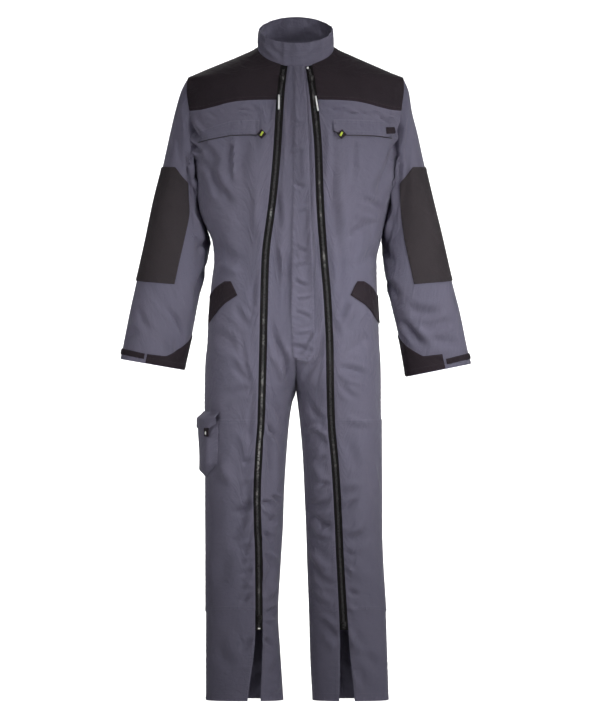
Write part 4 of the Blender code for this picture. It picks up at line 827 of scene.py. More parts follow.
class BodySurface:
    """Outer cloth face of one half of the body."""

    STEP_U = 0.03
    STEP_Z = 0.004
    FORK_REACH = 0.02
    INSEAM_FADE = (0.05, 0.45)
    INSEAM_FINE_FADE = (0.0, 0.20)
    SIDE_FADE = (0.04, 0.40)
    SIDE_FINE_FADE = (0.02, 0.16)
    NECK_FADE = (-0.100, -0.060)

    def __init__(self, side: Side) -> None:
        """Keep the side that the surface lies on."""
        self.side = side

    def _widths(self, z: Array) -> tuple[Array, Array, Array]:
        """Distances of the inner line, the crest and the side seam from the centre plane."""
        word = self.side.word
        return BODY.at(f"{word}_in", z) + SEAM_GAP / 2, BODY.at("crest", z), BODY.at(f"{word}_out", z)

    def bare(self, u: Array, z: Array) -> Array:
        """Points of the smooth half, before its folds.

        Args:
            u: places round the half.
            z: heights.

        Returns:
            A point for every place.
        """
        inner, crest, outer = self._widths(z)
        quarter = np.clip(np.floor(u), 0, 3)
        turn = (u - quarter) * math.pi / 2
        rise = np.maximum(np.sin(turn), 0.0) ** ROUND
        fall = np.maximum(np.cos(turn), 0.0) ** ROUND
        half_gap = SEAM_GAP / 2
        closed = np.where(z <= CROTCH_Z, half_gap, 0.0)
        front = -BODY.at("front", z)
        front_in = BODY.at("front_in", z) - closed
        back = BODY.at("back", z)
        back_in = BODY.at("back_in", z) + closed
        cases = [quarter == 0, quarter == 1, quarter == 2]
        x = np.select(cases, [crest - (crest - inner) * fall, crest + (outer - crest) * rise,
                              crest + (outer - crest) * fall], crest - (crest - inner) * rise)
        y = np.select(cases, [front_in + (front - front_in) * rise, -half_gap + (front + half_gap) * fall,
                              half_gap + (back - half_gap) * rise], back_in + (back - back_in) * fall)
        return np.stack([self.side.value * x, y, z], axis=-1)

    def normal(self, u: Array, z: Array) -> Array:
        """Outward directions of the smooth half, kept in the seam's own plane at the side seam.

        Args:
            u: places round the half.
            z: heights.

        Returns:
            A direction for every place.
        """
        at_seam = (u >= FRONT_SEAM) & (u <= BACK_SEAM)
        low = np.where(at_seam, u - self.STEP_U, np.maximum(u - self.STEP_U, np.where(u < 2, 0.0, 2.0)))
        high = np.where(at_seam, u + self.STEP_U, np.minimum(u + self.STEP_U, np.where(u < 2, 2.0, 4.0)))
        around = self.bare(high, z) - self.bare(low, z)
        upward = self.bare(u, z + self.STEP_Z) - self.bare(u, z - self.STEP_Z)
        outward = np.cross(around, upward) * self.side.value
        outward[..., 1] = np.where(at_seam, 0.0, outward[..., 1])
        return unit(outward)

    def fold(self, u: Array, x: Array, z: Array) -> Array:
        """Fold height, fading out at the side seam, the neck and the inseam.

        Args:
            u: places round the half.
            x: signed X of the bare points.
            z: heights.

        Returns:
            A height for every place.
        """
        in_front = u < 2
        broad = np.zeros_like(x)
        fine = np.zeros_like(x)
        for folds, creases, where in ((FRONT_FOLDS, FRONT_CREASES, in_front),
                                      (BACK_FOLDS, BACK_CREASES, ~in_front)):
            if not where.any():
                continue
            heights = sum(straight_height(x, z, (f.x0, f.z0), (f.x1, f.z1), f.width, f.depth) for f in folds)
            lines = sum(bowed_height(x, z, (c.x0, c.z0), (c.x1, c.z1), c) for c in creases)
            broad = np.where(where, heights, broad)
            fine = np.where(where, lines, fine)
        low = z < FORK_Z + self.FORK_REACH
        inner = np.where(low, ease(u, *self.INSEAM_FADE) * ease(4 - u, *self.INSEAM_FADE), 1.0)
        inner_fine = np.where(low, ease(u, *self.INSEAM_FINE_FADE) * ease(4 - u, *self.INSEAM_FINE_FADE), 1.0)
        off_seam = np.abs(u - 2)
        broad = broad * ease(off_seam, *self.SIDE_FADE) * inner
        fine = fine * ease(off_seam, *self.SIDE_FINE_FADE) * inner_fine
        return (broad + fine) * (1 - ease(z, *self.NECK_FADE))

    def at(self, u: Array, z: Array, lift: Array | float = 0.0) -> Array:
        """Points of the outer cloth face, moved out by lift.

        Args:
            u: places round the half.
            z: heights.
            lift: height over the cloth.

        Returns:
            A point for every place.
        """
        point = self.bare(u, z)
        height = self.fold(u, point[..., 0], z) + lift
        return point + self.normal(u, z) * height[..., None]

    def front_u(self, x: Array | float, z: Array | float) -> Array:
        """Place round the front for a distance x from the centre plane.

        Args:
            x: distances from the centre plane.
            z: heights.

        Returns:
            Places u.
        """
        x, z = np.broadcast_arrays(np.asarray(x, dtype=float), np.asarray(z, dtype=float))
        inner, crest, outer = self._widths(z)
        far = np.clip((x - crest) / (outer - crest), 0.0, 1.0)
        near = np.clip((crest - x) / (crest - inner), 0.0, 1.0)
        quarter = math.pi / 2
        return np.where(x >= crest, 1 + np.arcsin(far ** (1 / ROUND)) / quarter,
                        np.arccos(near ** (1 / ROUND)) / quarter)

    def zip_x(self, z: Array | float, outward: int, clearance: float = 0.0) -> Array:
        """Distance from the centre plane of a zip's edge: outward 1 for its outer edge, -1 for its inner.

        Args:
            z: heights.
            outward: 1 for the outer edge, -1 for the inner.
            clearance: distance beyond the edge.

        Returns:
            Distances from the centre plane.
        """
        word = self.side.word
        return ZIPS.at(f"{word}_x", z) + outward * (ZIPS.at(f"{word}_half", z) + clearance)

    def zip_edge(self, z: Array | float, outward: int, clearance: float = 0.0) -> Array:
        """Places u, z down a zip's edge."""
        z = np.asarray(z, dtype=float)
        return np.stack([self.front_u(self.zip_x(z, outward, clearance), z), z], axis=-1)

    def neckline(self, angle: Array, front_side: bool) -> Array:
        """Places u, z of the neckline at angles from the front, or from the back.

        Args:
            angle: turns from the centre plane.
            front_side: whether they start at the front.

        Returns:
            Spots u, z.
        """
        x = NECK_HALF_WIDTH * np.sin(angle)
        far = NECK_FRONT_Z if front_side else NECK_BACK_Z
        z = NECK_SIDE_Z + (far - NECK_SIDE_Z) * np.cos(angle)
        u = self.front_u(x, z)
        return np.stack([u if front_side else CENTRE_BACK - u, z], axis=-1)


def armhole(step: Array, shrink: Array | float = 0.0) -> Array:
    """Armhole as places u, z: step 0 is the shoulder tip, then over the front and round under the arm.

    Args:
        step: steps round the armhole, ARMHOLE_STEPS for a full turn.
        shrink: how far inside the edge the spots lie.

    Returns:
        Spots u, z.
    """
    angle = 2 * math.pi * np.asarray(step, dtype=float) / ARMHOLE_STEPS
    middle = (SHOULDER_TIP_Z + UNDERARM_Z) / 2
    half = (SHOULDER_TIP_Z - UNDERARM_Z) / 2
    reach = np.where(np.asarray(step) <= ARMHOLE_STEPS / 2, ARMHOLE_FRONT_REACH, ARMHOLE_BACK_REACH)
    share = 1 - shrink / half
    return np.stack([SIDE_SEAM - reach * share * np.sin(angle),
                     middle + half * share * np.cos(angle)], axis=-1)


BODIES = {side: BodySurface(side) for side in Side}


def zip_middle(side: Side, z: Array | float) -> Array:
    """Signed X of a zip's middle line at a height."""
    return side.value * ZIPS.at(f"{side.word}_x", z)


def on_front(side: Side) -> Place:
    """Way to place spots u, z of a piece that ends at the side seam's front.

    Args:
        side: the wearer's side.

    Returns:
        The way to place them.
    """
    def place(spots: Array, lift: Array) -> Array:
        """Points for spots at their lift."""
        return BODIES[side].at(np.minimum(spots[..., 0], FRONT_SEAM), spots[..., 1], lift)
    return place


def on_back(side: Side) -> Place:
    """Way to place spots u, z of a piece that ends at the side seam's back.

    Args:
        side: the wearer's side.

    Returns:
        The way to place them.
    """
    def place(spots: Array, lift: Array) -> Array:
        """Points for spots at their lift."""
        return BODIES[side].at(np.maximum(spots[..., 0], BACK_SEAM), spots[..., 1], lift)
    return place


def across_front(spots: Array, lift: Array) -> Array:
    """Points of the front for spots of signed x, z and, where they have one, an own height.

    Args:
        spots: the spots.
        lift: height over the cloth.

    Returns:
        A point for every spot.
    """
    x = spots[..., 0]
    z = spots[..., 1]
    own = spots[..., 2] if spots.shape[-1] > 2 else 0.0
    height = own + lift + np.zeros_like(x)
    right, left = (BODIES[side].at(BODIES[side].front_u(np.abs(x), z), z, height) for side in Side)
    return np.where((x < 0)[..., None], right, left)


def across_back(spots: Array, lift: Array) -> Array:
    """Points of the back for spots of side sign, u and z of a piece that runs from side to side.

    Args:
        spots: the spots.
        lift: height over the cloth.

    Returns:
        A point for every spot.
    """
    sign = spots[..., 0]
    u = np.maximum(spots[..., 1], BACK_SEAM)
    z = spots[..., 2]
    height = lift + np.zeros_like(z)
    right, left = (BODIES[side].at(u, z, height) for side in Side)
    points = np.where((sign < 0)[..., None], right, left)
    points[..., 0] = np.where(u == CENTRE_BACK, 0.0, points[..., 0])
    return points


# ----------------------------------------------------------------------------- sleeve surface

class SleeveSurface:
    """Outer cloth face of one sleeve; 0 degrees is its top edge, 90 its front, 180 its under edge."""

    STEP_V = 0.01
    STEP_A = 4.0
    TUCK_START = (0.06, 0.20)
    TUCK_END = (0.36, 0.56)
    HEAD_FADE = (0.0, 0.12)
    HEM_FADE = (0.90, 1.0)
    SINK_RUN = 0.0012
    LOOK_UP_STEPS = 400

    def __init__(self, side: Side) -> None:
        """Keep the side that the surface lies on."""
        self.side = side

    def _oval(self, v: Array, degrees: Array) -> Array:
        """Points of the plain oval tube between the sleeve's two edges.

        Args:
            v: shares of the length.
            degrees: angles round the sleeve.

        Returns:
            A point for every place.
        """
        angle = np.radians(degrees)
        top_x = TOP_EDGES[self.side].at("x", v)
        top_z = TOP_EDGES[self.side].at("z", v)
        under_x = UNDER_EDGES[self.side].at("x", v)
        under_z = UNDER_EDGES[self.side].at("z", v)
        cosine = np.sign(np.cos(angle)) * np.abs(np.cos(angle)) ** SLEEVE_ROUND
        sine = np.sign(np.sin(angle)) * np.abs(np.sin(angle)) ** SLEEVE_ROUND
        depth = np.where(sine > 0, SLEEVE_DEPTH.at("front", v), SLEEVE_DEPTH.at("back", v))
        x = (top_x + under_x) / 2 + (top_x - under_x) / 2 * cosine
        z = (top_z + under_z) / 2 + (top_z - under_z) / 2 * cosine
        tucked = UNDER_SWING * (1 - cosine) / 2 * ease(v, *self.TUCK_START) * (1 - ease(v, *self.TUCK_END))
        return np.stack([self.side.value * x, tucked - depth * sine, z], axis=-1)

    def bare(self, v: Array, degrees: Array) -> Array:
        """Points of the smooth sleeve, drawn in to the armhole at its head.

        Args:
            v: shares of the length.
            degrees: angles round the sleeve.

        Returns:
            A point for every place.
        """
        keep = ease(v, 0.0, SLEEVE_BLEND)[..., None]
        places = armhole((degrees % 360) / 360 * ARMHOLE_STEPS, shrink=2 * SEAM_GAP)
        edge = BODIES[self.side].at(places[..., 0], places[..., 1], np.full(v.shape, SEAM_GAP))
        return self._oval(v, degrees) + (edge - self._oval(np.zeros_like(v), degrees)) * (1 - keep)

    def _ends(self, line: SleeveFold | SleeveCrease) -> tuple[tuple, tuple]:
        """Flat places where a fold or crease starts and ends."""
        return ((line.v0 * SLEEVE_LENGTH, math.radians(line.angle0) * SLEEVE_RADIUS),
                (line.v1 * SLEEVE_LENGTH, math.radians(line.angle1) * SLEEVE_RADIUS))

    def fold(self, v: Array, degrees: Array) -> Array:
        """Fold height on the sleeve, none at the armhole or the hem.

        Args:
            v: shares of the length.
            degrees: angles round the sleeve.

        Returns:
            A height for every place.
        """
        a = v * SLEEVE_LENGTH
        b = np.radians(degrees % 360) * SLEEVE_RADIUS
        height = np.zeros_like(v)
        for fold in SLEEVE_FOLDS[self.side]:
            height = height + straight_height(a, b, *self._ends(fold), fold.width, fold.depth)
        for crease in SLEEVE_CREASES[self.side]:
            height = height + bowed_height(a, b, *self._ends(crease), crease)
        return height * ease(v, *self.HEAD_FADE) * (1 - ease(v, *self.HEM_FADE))

    def turned_in(self, v: Array, degrees: Array) -> Array:
        """Points of the sleeve head's seam allowance, lying under the body's edge where v is negative.

        Args:
            v: shares of the length, negative on the allowance.
            degrees: angles round the sleeve.

        Returns:
            A point for every place.
        """
        reach = np.maximum(-v, 0.0) * SLEEVE_LENGTH
        places = armhole((degrees % 360) / 360 * ARMHOLE_STEPS, shrink=-reach)
        sink = -ALLOWANCE_SINK * ease(reach, 0.0, self.SINK_RUN)
        return BODIES[self.side].at(places[..., 0], places[..., 1], SEAM_GAP + sink)

    def at(self, v: Array, degrees: Array, lift: Array | float = 0.0) -> Array:
        """Points of the outer cloth face of the sleeve, moved out by lift.

        Args:
            v: shares of the length.
            degrees: angles round the sleeve.
            lift: height over the cloth.

        Returns:
            A point for every place.
        """
        inside = self.turned_in(v, degrees) if (v < 0).any() else None
        turned = v < 0
        v = np.maximum(v, 0.0)
        low = np.maximum(v - self.STEP_V, 0.0)
        high = np.minimum(v + self.STEP_V, 1.0)
        along = self.bare(high, degrees) - self.bare(low, degrees)
        around = self.bare(v, degrees + self.STEP_A) - self.bare(v, degrees - self.STEP_A)
        outward = unit(np.cross(along, around) * -self.side.value)
        outside = self.bare(v, degrees) + outward * (self.fold(v, degrees) + lift)[..., None]
        return outside if inside is None else np.where(turned[..., None], inside, outside)

    def v_at(self, degrees: float, z: float) -> float:
        """Share of the sleeve's length where an angle passes a height.

        Args:
            degrees: the angle.
            z: the height.

        Returns:
            The share.
        """
        shares = spaced(0.0, 1.0, self.LOOK_UP_STEPS)
        heights = self.bare(shares, np.full_like(shares, degrees))[:, 2]
        return float(np.interp(-z, -heights, shares))


SLEEVES = {side: SleeveSurface(side) for side in Side}


def on_sleeve(side: Side) -> Place:
    """Way to place spots v, degrees of a piece on one sleeve.

    Args:
        side: the wearer's side.

    Returns:
        The way to place them.
    """
    def place(spots: Array, lift: Array) -> Array:
        """Points for spots at their lift."""
        return SLEEVES[side].at(spots[..., 0], spots[..., 1], lift + np.zeros(spots.shape[:-1]))
    return place


# ---------------------------------------------------------------------------------- finishes

class Graph:
    """Short way to add and join nodes in one node tree."""

    def __init__(self, tree: bpy.types.NodeTree) -> None:
        """Keep the tree that the nodes go into."""
        self.tree = tree

    def add(self, kind: str, settings: dict | None = None, **inputs: object) -> bpy.types.Node:
        """Add a node, set its properties and fill or join its inputs.

        Args:
            kind: the node type, without its leading ShaderNode.
            settings: properties of the node.
            inputs: as in fill.

        Returns:
            The new node.
        """
        node = self.tree.nodes.new(kind if kind.startswith("NodeGroup") else f"ShaderNode{kind}")
        for key, value in (settings or {}).items():
            setattr(node, key, value)
        self.fill(node, **inputs)
        return node

    def fill(self, node: bpy.types.Node, **inputs: object) -> None:
        """Fill or join a node's inputs: by name, with _ for a space, or by number as i0, i1.

        Args:
            node: the node.
            inputs: a value or a socket for each of them.
        """
        for key, value in inputs.items():
            numbered = key[0] == "i" and key[1:].isdigit()
            socket = node.inputs[int(key[1:]) if numbered else key.replace("_", " ")]
            if isinstance(value, bpy.types.NodeSocket):
                self.tree.links.new(value, socket)
            else:
                socket.default_value = value

    def noise(self, vector: object, scale: object, detail: float, roughness: float = 0.5,
              distortion: float = 0.0) -> bpy.types.NodeSocket:
        """Value of one noise pattern.

        Args:
            vector: socket that places the pattern.
            scale: its scale.
            detail: its detail.
            roughness: its roughness.
            distortion: its distortion.

        Returns:
            The pattern's socket.
        """
        return self.add("TexNoise", None, Vector=vector, Scale=scale, Detail=detail, Roughness=roughness,
                        Distortion=distortion).outputs[0]

    def blend(self, share: object, first: object, second: object) -> bpy.types.NodeSocket:
        """Colour at a share of the way from the first to the second."""
        return self.add("Mix", {"data_type": "RGBA"}, Factor=share, i6=first, i7=second).outputs[2]

    def math(self, operation: str, a: object, b: object = 0.0) -> bpy.types.NodeSocket:
        """Result of one math operation."""
        return self.add("Math", {"operation": operation}, i0=a, i1=b).outputs[0]


SOCKET_KINDS = {"Vector": "Vector", "Normal": "Vector", "Color": "Color", "Warm": "Color"}


def new_group(name: str, inputs: Sequence[str], outputs: Sequence[str]) -> tuple:
    """Empty shader node group with named sockets, of the kind that each name stands for.

    Args:
        name: the group's name.
        inputs: name of each input.
        outputs: name of each output.

    Returns:
        The group, its graph, its input node and its output node.
    """
    group = bpy.data.node_groups.new(name, "ShaderNodeTree")
    for labels, way in ((inputs, "INPUT"), (outputs, "OUTPUT")):
        for label in labels:
            kind = f"NodeSocket{SOCKET_KINDS.get(label, 'Float')}"
            group.interface.new_socket(label, in_out=way, socket_type=kind)
    graph = Graph(group)
    return group, graph, graph.add("NodeGroupInput"), graph.add("NodeGroupOutput")


def seam_mask(graph: Graph, distance: bpy.types.NodeSocket, reach: float) -> bpy.types.NodeSocket:
    """Share that is 1 at a seam and falls off over reach."""
    scaled = graph.math("MULTIPLY", distance, -1.0 / reach)
    return graph.math("EXPONENT", scaled)


PUCKER_FADE = 0.013
CRUMPLE_HEIGHT = 0.0022
RIB_HEIGHT = 0.00022
SEAM_PALE_REACH = 0.002
SEAM_PALE_GAIN = 0.10
# grey of the painted glint highlights
PAINTED_GLINT_GREY = (0.50, 0.49, 0.47, 1.0)
TWILL_SCALE = 210.0
RUMPLE_SHARE = 2.4
PUCKER_ALONG = 16.0
PUCKER_ACROSS = 120.0
ROUGH_SWING = 0.25
GLINT_PATCHES = ((9.0, 3.0, 0.7, 0.53, 0.66), (210.0, 1.0, 0.5, 0.42, 0.56))


def make_relief_group() -> bpy.types.NodeTree:
    """Twill ribs, small crumples and the fine puckers that run in from each sewn edge.

    Returns:
        The node group.
    """
    group, graph, entry, leave = new_group(
        "cloth_relief", ("Vector", "Side Distance", "End Distance", "Weave", "Crumple", "Pucker"),
        ("Normal",))
    vector = entry.outputs["Vector"]
    twill = graph.add("TexWave", {"wave_type": "BANDS", "bands_direction": "DIAGONAL"},
                      Vector=vector, Scale=TWILL_SCALE, Distortion=0.6, Detail=1.0)
    small = graph.noise(vector, scale=58.0, detail=4.0, roughness=0.6, distortion=0.8)
    large = graph.noise(vector, scale=15.0, detail=2.0, distortion=1.2)
    rumple = graph.math("ADD", small, graph.math("MULTIPLY", large, RUMPLE_SHARE))
    heights = [graph.math("MULTIPLY", rumple, entry.outputs["Crumple"])]
    for label, stretch in (("Side Distance", (PUCKER_ALONG, PUCKER_ACROSS, 1.0)),
                           ("End Distance", (PUCKER_ACROSS, PUCKER_ALONG, 1.0))):
        flat = graph.add("VectorMath", {"operation": "MULTIPLY"}, i0=vector, i1=stretch)
        mask = seam_mask(graph, entry.outputs[label], PUCKER_FADE)
        strength = graph.math("MULTIPLY", mask, entry.outputs["Pucker"])
        heights.append(graph.math("MULTIPLY", graph.noise(flat.outputs[0], 1.0, 2.0), strength))
    total = graph.math("ADD", graph.math("ADD", heights[0], heights[1]), heights[2])
    coarse = graph.add("Bump", None, Strength=1.0, Distance=CRUMPLE_HEIGHT, Height=total)
    rib = graph.math("MULTIPLY", twill.outputs["Fac"], entry.outputs["Weave"])
    fine = graph.add("Bump", None, Strength=1.0, Distance=RIB_HEIGHT, Height=rib, Normal=coarse.outputs[0])
    graph.fill(leave, Normal=fine.outputs[0])
    return group


def make_tone_group() -> bpy.types.NodeTree:
    """Uneven dye in broad soft patches and a fleck between threads, and a paler colour close to the sewn
    edges.

    Returns:
        The node group.
    """
    group, graph, entry, leave = new_group(
        "cloth_tone", ("Vector", "Color", "Warm", "Side Distance", "End Distance", "Variation"), ("Color",))
    vector = entry.outputs["Vector"]
    broad = graph.noise(vector, scale=5.5, detail=3.0)
    fleck = graph.noise(vector, scale=950.0, detail=1.0, roughness=0.6)
    hue = graph.blend(broad, entry.outputs["Color"], entry.outputs["Warm"])
    nearest = graph.math("MINIMUM", entry.outputs["Side Distance"], entry.outputs["End Distance"])
    # paler colour close to the sewn edges
    paled = graph.math("MULTIPLY", seam_mask(graph, nearest, SEAM_PALE_REACH), SEAM_PALE_GAIN)
    swing = graph.math("SUBTRACT", fleck, 0.5)
    patch = graph.math("SUBTRACT", broad, 0.5)
    change = graph.math("MULTIPLY", graph.math("ADD", swing, patch), entry.outputs["Variation"])
    gain = graph.math("ADD", graph.math("ADD", change, paled), 1.0)
    scaled = graph.add("VectorMath", {"operation": "SCALE"}, i0=hue, Scale=gain)
    graph.fill(leave, Color=scaled.outputs[0])
    return group


def make_fleck_group() -> bpy.types.NodeTree:
    """Slight change of colour and roughness over hard or thread-like small parts, and pale glint patches
    painted in as highlights where Glint is set.

    Returns:
        The node group.
    """
    group, graph, entry, leave = new_group(
        "small_part_fleck", ("Vector", "Color", "Roughness", "Scale", "Glint"), ("Color", "Roughness"))
    vector = entry.outputs["Vector"]
    swing = graph.math("SUBTRACT", graph.noise(vector, entry.outputs["Scale"], 2.0, 0.6), 0.5)
    gain = graph.math("ADD", graph.math("MULTIPLY", swing, 0.5), 1.0)
    scaled = graph.add("VectorMath", {"operation": "SCALE"}, i0=entry.outputs["Color"], Scale=gain)
    # painted highlight: the Glint share, cut down by two thresholded noises, blends the colour towards a pale
    # grey
    share = entry.outputs["Glint"]
    for scale, detail, roughness, low, high in GLINT_PATCHES:
        patches = graph.noise(vector, scale, detail, roughness)
        lit = graph.add("MapRange", {"clamp": True}, i0=patches, i1=low, i2=high, i3=0.0, i4=1.0)
        share = graph.math("MULTIPLY", share, lit.outputs[0])
    paled = graph.blend(share, scaled.outputs[0], PAINTED_GLINT_GREY)
    rough = graph.math("ADD", graph.math("MULTIPLY", swing, ROUGH_SWING), entry.outputs["Roughness"])
    graph.fill(leave, Color=paled, Roughness=rough)
    return group


RELIEF_GROUP = make_relief_group()
TONE_GROUP = make_tone_group()
FLECK_GROUP = make_fleck_group()

Colour = tuple[float, float, float]


def new_material(name: str) -> tuple[bpy.types.Material, Graph, bpy.types.Node]:
    """Fresh material with its graph and its shader.

    Args:
        name: the material's name.

    Returns:
        The material, its graph and its shader.
    """
    material = bpy.data.materials.new(name)
    material.use_nodes = True
    return material, Graph(material.node_tree), material.node_tree.nodes["Principled BSDF"]


@dataclass(frozen=True)
class ClothFinish:
    """Woven cloth: its two dye colours, sheen and relief."""

    name: str
    colour: Colour
    warm: Colour
    roughness: float
    sheen: float
    variation: float
    weave: float = 0.6
    crumple: float = 0.95
    pucker: float = 1.3

    def material(self) -> bpy.types.Material:
        """Build the material of this cloth.

        Returns:
            The material.
        """
        material, graph, shader = new_material(self.name)
        uv = graph.add("UVMap", {"uv_map": "cut"}).outputs[0]
        side = graph.add("Attribute", {"attribute_name": "side_distance"}).outputs["Fac"]
        end = graph.add("Attribute", {"attribute_name": "end_distance"}).outputs["Fac"]
        shared = {"Vector": uv, "Side_Distance": side, "End_Distance": end}
        tone = graph.add("Group", {"node_tree": TONE_GROUP}, **shared, Color=(*self.colour, 1.0),
                         Warm=(*self.warm, 1.0), Variation=self.variation)
        relief = graph.add("Group", {"node_tree": RELIEF_GROUP}, **shared, Weave=self.weave,
                           Crumple=self.crumple, Pucker=self.pucker)
        graph.fill(shader, Base_Color=tone.outputs["Color"], Normal=relief.outputs["Normal"],
                   Roughness=self.roughness, Sheen_Weight=self.sheen, Sheen_Roughness=0.45,
                   Specular_IOR_Level=0.12)
        return material


@dataclass(frozen=True)
class SmallFinish:
    """Thread, tape, plastic or metal of the small parts."""

    name: str
    colour: Colour
    roughness: float
    metallic: float = 0.0
    fleck: float = 300.0
    specular: float = 0.35
    glint: float = 0.0

    def material(self) -> bpy.types.Material:
        """Build the material of this small part.

        Returns:
            The material.
        """
        material, graph, shader = new_material(self.name)
        place = graph.add("TexCoord").outputs["Object"]
        fleck = graph.add("Group", {"node_tree": FLECK_GROUP}, Vector=place, Color=(*self.colour, 1.0),
                          Roughness=self.roughness, Scale=self.fleck, Glint=self.glint)
        graph.fill(shader, Base_Color=fleck.outputs["Color"], Roughness=fleck.outputs["Roughness"],
                   Metallic=self.metallic, Specular_IOR_Level=self.specular)
        return material


class Finish(Enum):
    """Every finish on the suit."""

    GREY = ClothFinish("grey_twill", (0.117, 0.1130, 0.1605), (0.127, 0.1170, 0.1585), 0.74, 0.08, 0.20)
    BLACK = ClothFinish("black_twill", (0.021, 0.0160, 0.0210), (0.025, 0.0180, 0.0220), 0.80, 0.02, 0.20)
    CANVAS = ClothFinish("black_canvas", (0.034, 0.0290, 0.0330), (0.038, 0.0310, 0.0340), 0.78, 0.02, 0.20,
                         weave=1.0)
    TAPE = SmallFinish("zip_tape", (0.0115, 0.0104, 0.0110), 0.85, fleck=900.0, specular=0.06)
    # glint paints pale highlight patches into the teeth's colour
    TEETH = SmallFinish("zip_teeth", (0.040, 0.039, 0.041), 0.30, glint=0.8)
    METAL = SmallFinish("slider_black", (0.030, 0.029, 0.029), 0.30, 0.6)
    GREY_THREAD = SmallFinish("grey_thread", (0.150, 0.143, 0.185), 0.65)
    BLACK_THREAD = SmallFinish("black_thread", (0.030, 0.027, 0.029), 0.65)
    CORD = SmallFinish("cord_black", (0.016, 0.015, 0.016), 0.70, fleck=1500.0)
    WHITE = SmallFinish("moulded_white", (0.780, 0.780, 0.770), 0.42)
    LIME = SmallFinish("lime_print", (0.560, 0.680, 0.060), 0.55)
    STEEL = SmallFinish("bright_stop", (0.700, 0.690, 0.660), 0.30, 0.7)


MATERIALS = {finish: finish.value.material() for finish in Finish}
GREY_CLOTH = (Finish.GREY, "body_cloth")
BLACK_CLOTH = (Finish.BLACK, "panel_cloth")


# ------------------------------------------------------------------------------------ panels

def clear_selection() -> None:
    """Leave nothing selected."""
    for thing in bpy.context.selected_objects:
        thing.select_set(False)
    bpy.context.view_layer.objects.active = None


def select_only(thing: bpy.types.Object) -> None:
    """Select one object and make it active.

    Args:
        thing: the object.
    """
    clear_selection()
    thing.select_set(True)
    bpy.context.view_layer.objects.active = thing


def settle(thing: bpy.types.Object) -> None:
    """Put an object's place, turn and size into its mesh."""
    select_only(thing)
    bpy.ops.object.transform_apply(location=True, rotation=True, scale=True)


@contextmanager
def editing() -> Iterator[None]:
    """Edit mode with the whole mesh selected, and object mode again at the end.

    Returns:
        The context of one with statement.
    """
    bpy.ops.object.mode_set(mode="EDIT")
    bpy.ops.mesh.select_all(action="SELECT")
    yield
    bpy.ops.object.mode_set(mode="OBJECT")


def corners_of(thing: bpy.types.Object) -> Array:
    """Own coordinates of a mesh's vertices."""
    return np.array([vert.co[:] for vert in thing.data.vertices])


def move_corners(thing: bpy.types.Object, corners: Array) -> None:
    """Give a mesh's vertices new coordinates."""
    thing.data.vertices.foreach_set("co", corners.ravel())
    thing.data.update()


def placed(name: str, data: bpy.types.ID) -> bpy.types.Object:
    """New object in the scene for a mesh, curve, lamp or camera.

    Args:
        name: its name.
        data: what it holds.

    Returns:
        The object.
    """
    thing = bpy.data.objects.new(name, data)
    bpy.context.scene.collection.objects.link(thing)
    return thing


def dress(thing: bpy.types.Object, finish: Finish, body: str = "suit") -> bpy.types.Object:
    """Give an object its finish and the body it rides on.

    Args:
        thing: the object.
        finish: its finish.
        body: the body it moves with.

    Returns:
        The same object.
    """
    thing.data.materials.clear()
    thing.data.materials.append(MATERIALS[finish])
    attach(thing, body)
    return thing


def filled(left: Array, right: Array, bottom: Array | None = None, top: Array | None = None,
           reach: float = 1) -> Array:
    """Spots filling four edges: left and right run upwards, bottom and top run left to right.

    Args:
        left: the left edge's spots.
        right: the right edge's spots, as many.
        bottom: the lower edge, or None for a straight one.
        top: the upper edge, or None for a straight one.
        reach: power by which a bent bottom or top edge loses its hold on the rows away from it.

    Returns:
        Rows of spots from the bottom up.
    """
    columns = len(bottom if bottom is not None else top)
    t = np.linspace(0, 1, len(left))[:, None, None]
    s = np.linspace(0, 1, columns)[None, :, None]
    grid = mix(left[:, None, :], right[:, None, :], s)
    for edge, weight in ((bottom, (1 - t) ** reach), (top, t ** reach)):
        if edge is not None:
            grid = grid + weight * (edge[None, :, :] - mix(edge[0], edge[-1], s))
    return grid


def line_between(a: Sequence[float], b: Sequence[float], steps: int) -> Array:
    """Spots in a straight line from a to b."""
    return mix(np.asarray(a, dtype=float), np.asarray(b, dtype=float), np.linspace(0, 1, steps + 1)[:, None])


def evenly(rows: Sequence[tuple], count: int) -> list[Array]:
    """A table's columns, each read at count even shares of the table."""
    places = np.linspace(0, len(rows) - 1, count)
    return [np.interp(places, np.arange(len(rows)), column) for column in zip(*rows)]


def grid_over(rows: Array, columns: Array) -> Array:
    """Spots of (row value, column value) for every pair."""
    return np.stack(np.meshgrid(rows, columns, indexing="ij"), axis=-1)


MERGE = 0.00002
SMALL_RISE = 0.001
NEAR_EDGE = (0.0012, 0.0034, 0.0070)
NEAR_SHARE = 0.18
ROLL_DROP = 0.0005
ROLL_REACH = 0.0015
WELT_RISE = 0.00055
WELT_PLACE = 0.0050
WELT_REACH = 0.0028
PUCKER_REACH = 0.015
PUCKER_START = 0.0025
PUCKER_WAVE = 0.0135
LONG_DRIFT = (2.3, 0.143)
SLOW_DRIFT = (1.7, 0.061, 2.1)
WAVE_SWELL = (0.55, 0.45, 0.087, 1.3)
FLAT_REACH = 0.012
SMOOTH_ANGLE = math.radians(50)
TRIM_ANGLE = math.radians(40)


def stations(length: float, step: float) -> Array:
    """Shares along a length: lines close to both ends, then even ones.

    Args:
        length: the whole length.
        step: distance of the even lines.

    Returns:
        Shares from 0 to 1.
    """
    near = [d for d in NEAR_EDGE if d < NEAR_SHARE * length]
    start = near[-1] if near else 0.0
    count = max(int(round((length - 2 * start) / step)), 1)
    middle = list(np.linspace(start, length - start, count + 1))
    ends = [0.0, *near[:-1]] if near else []
    return np.array(ends + middle + [length - d for d in reversed(ends)]) / length


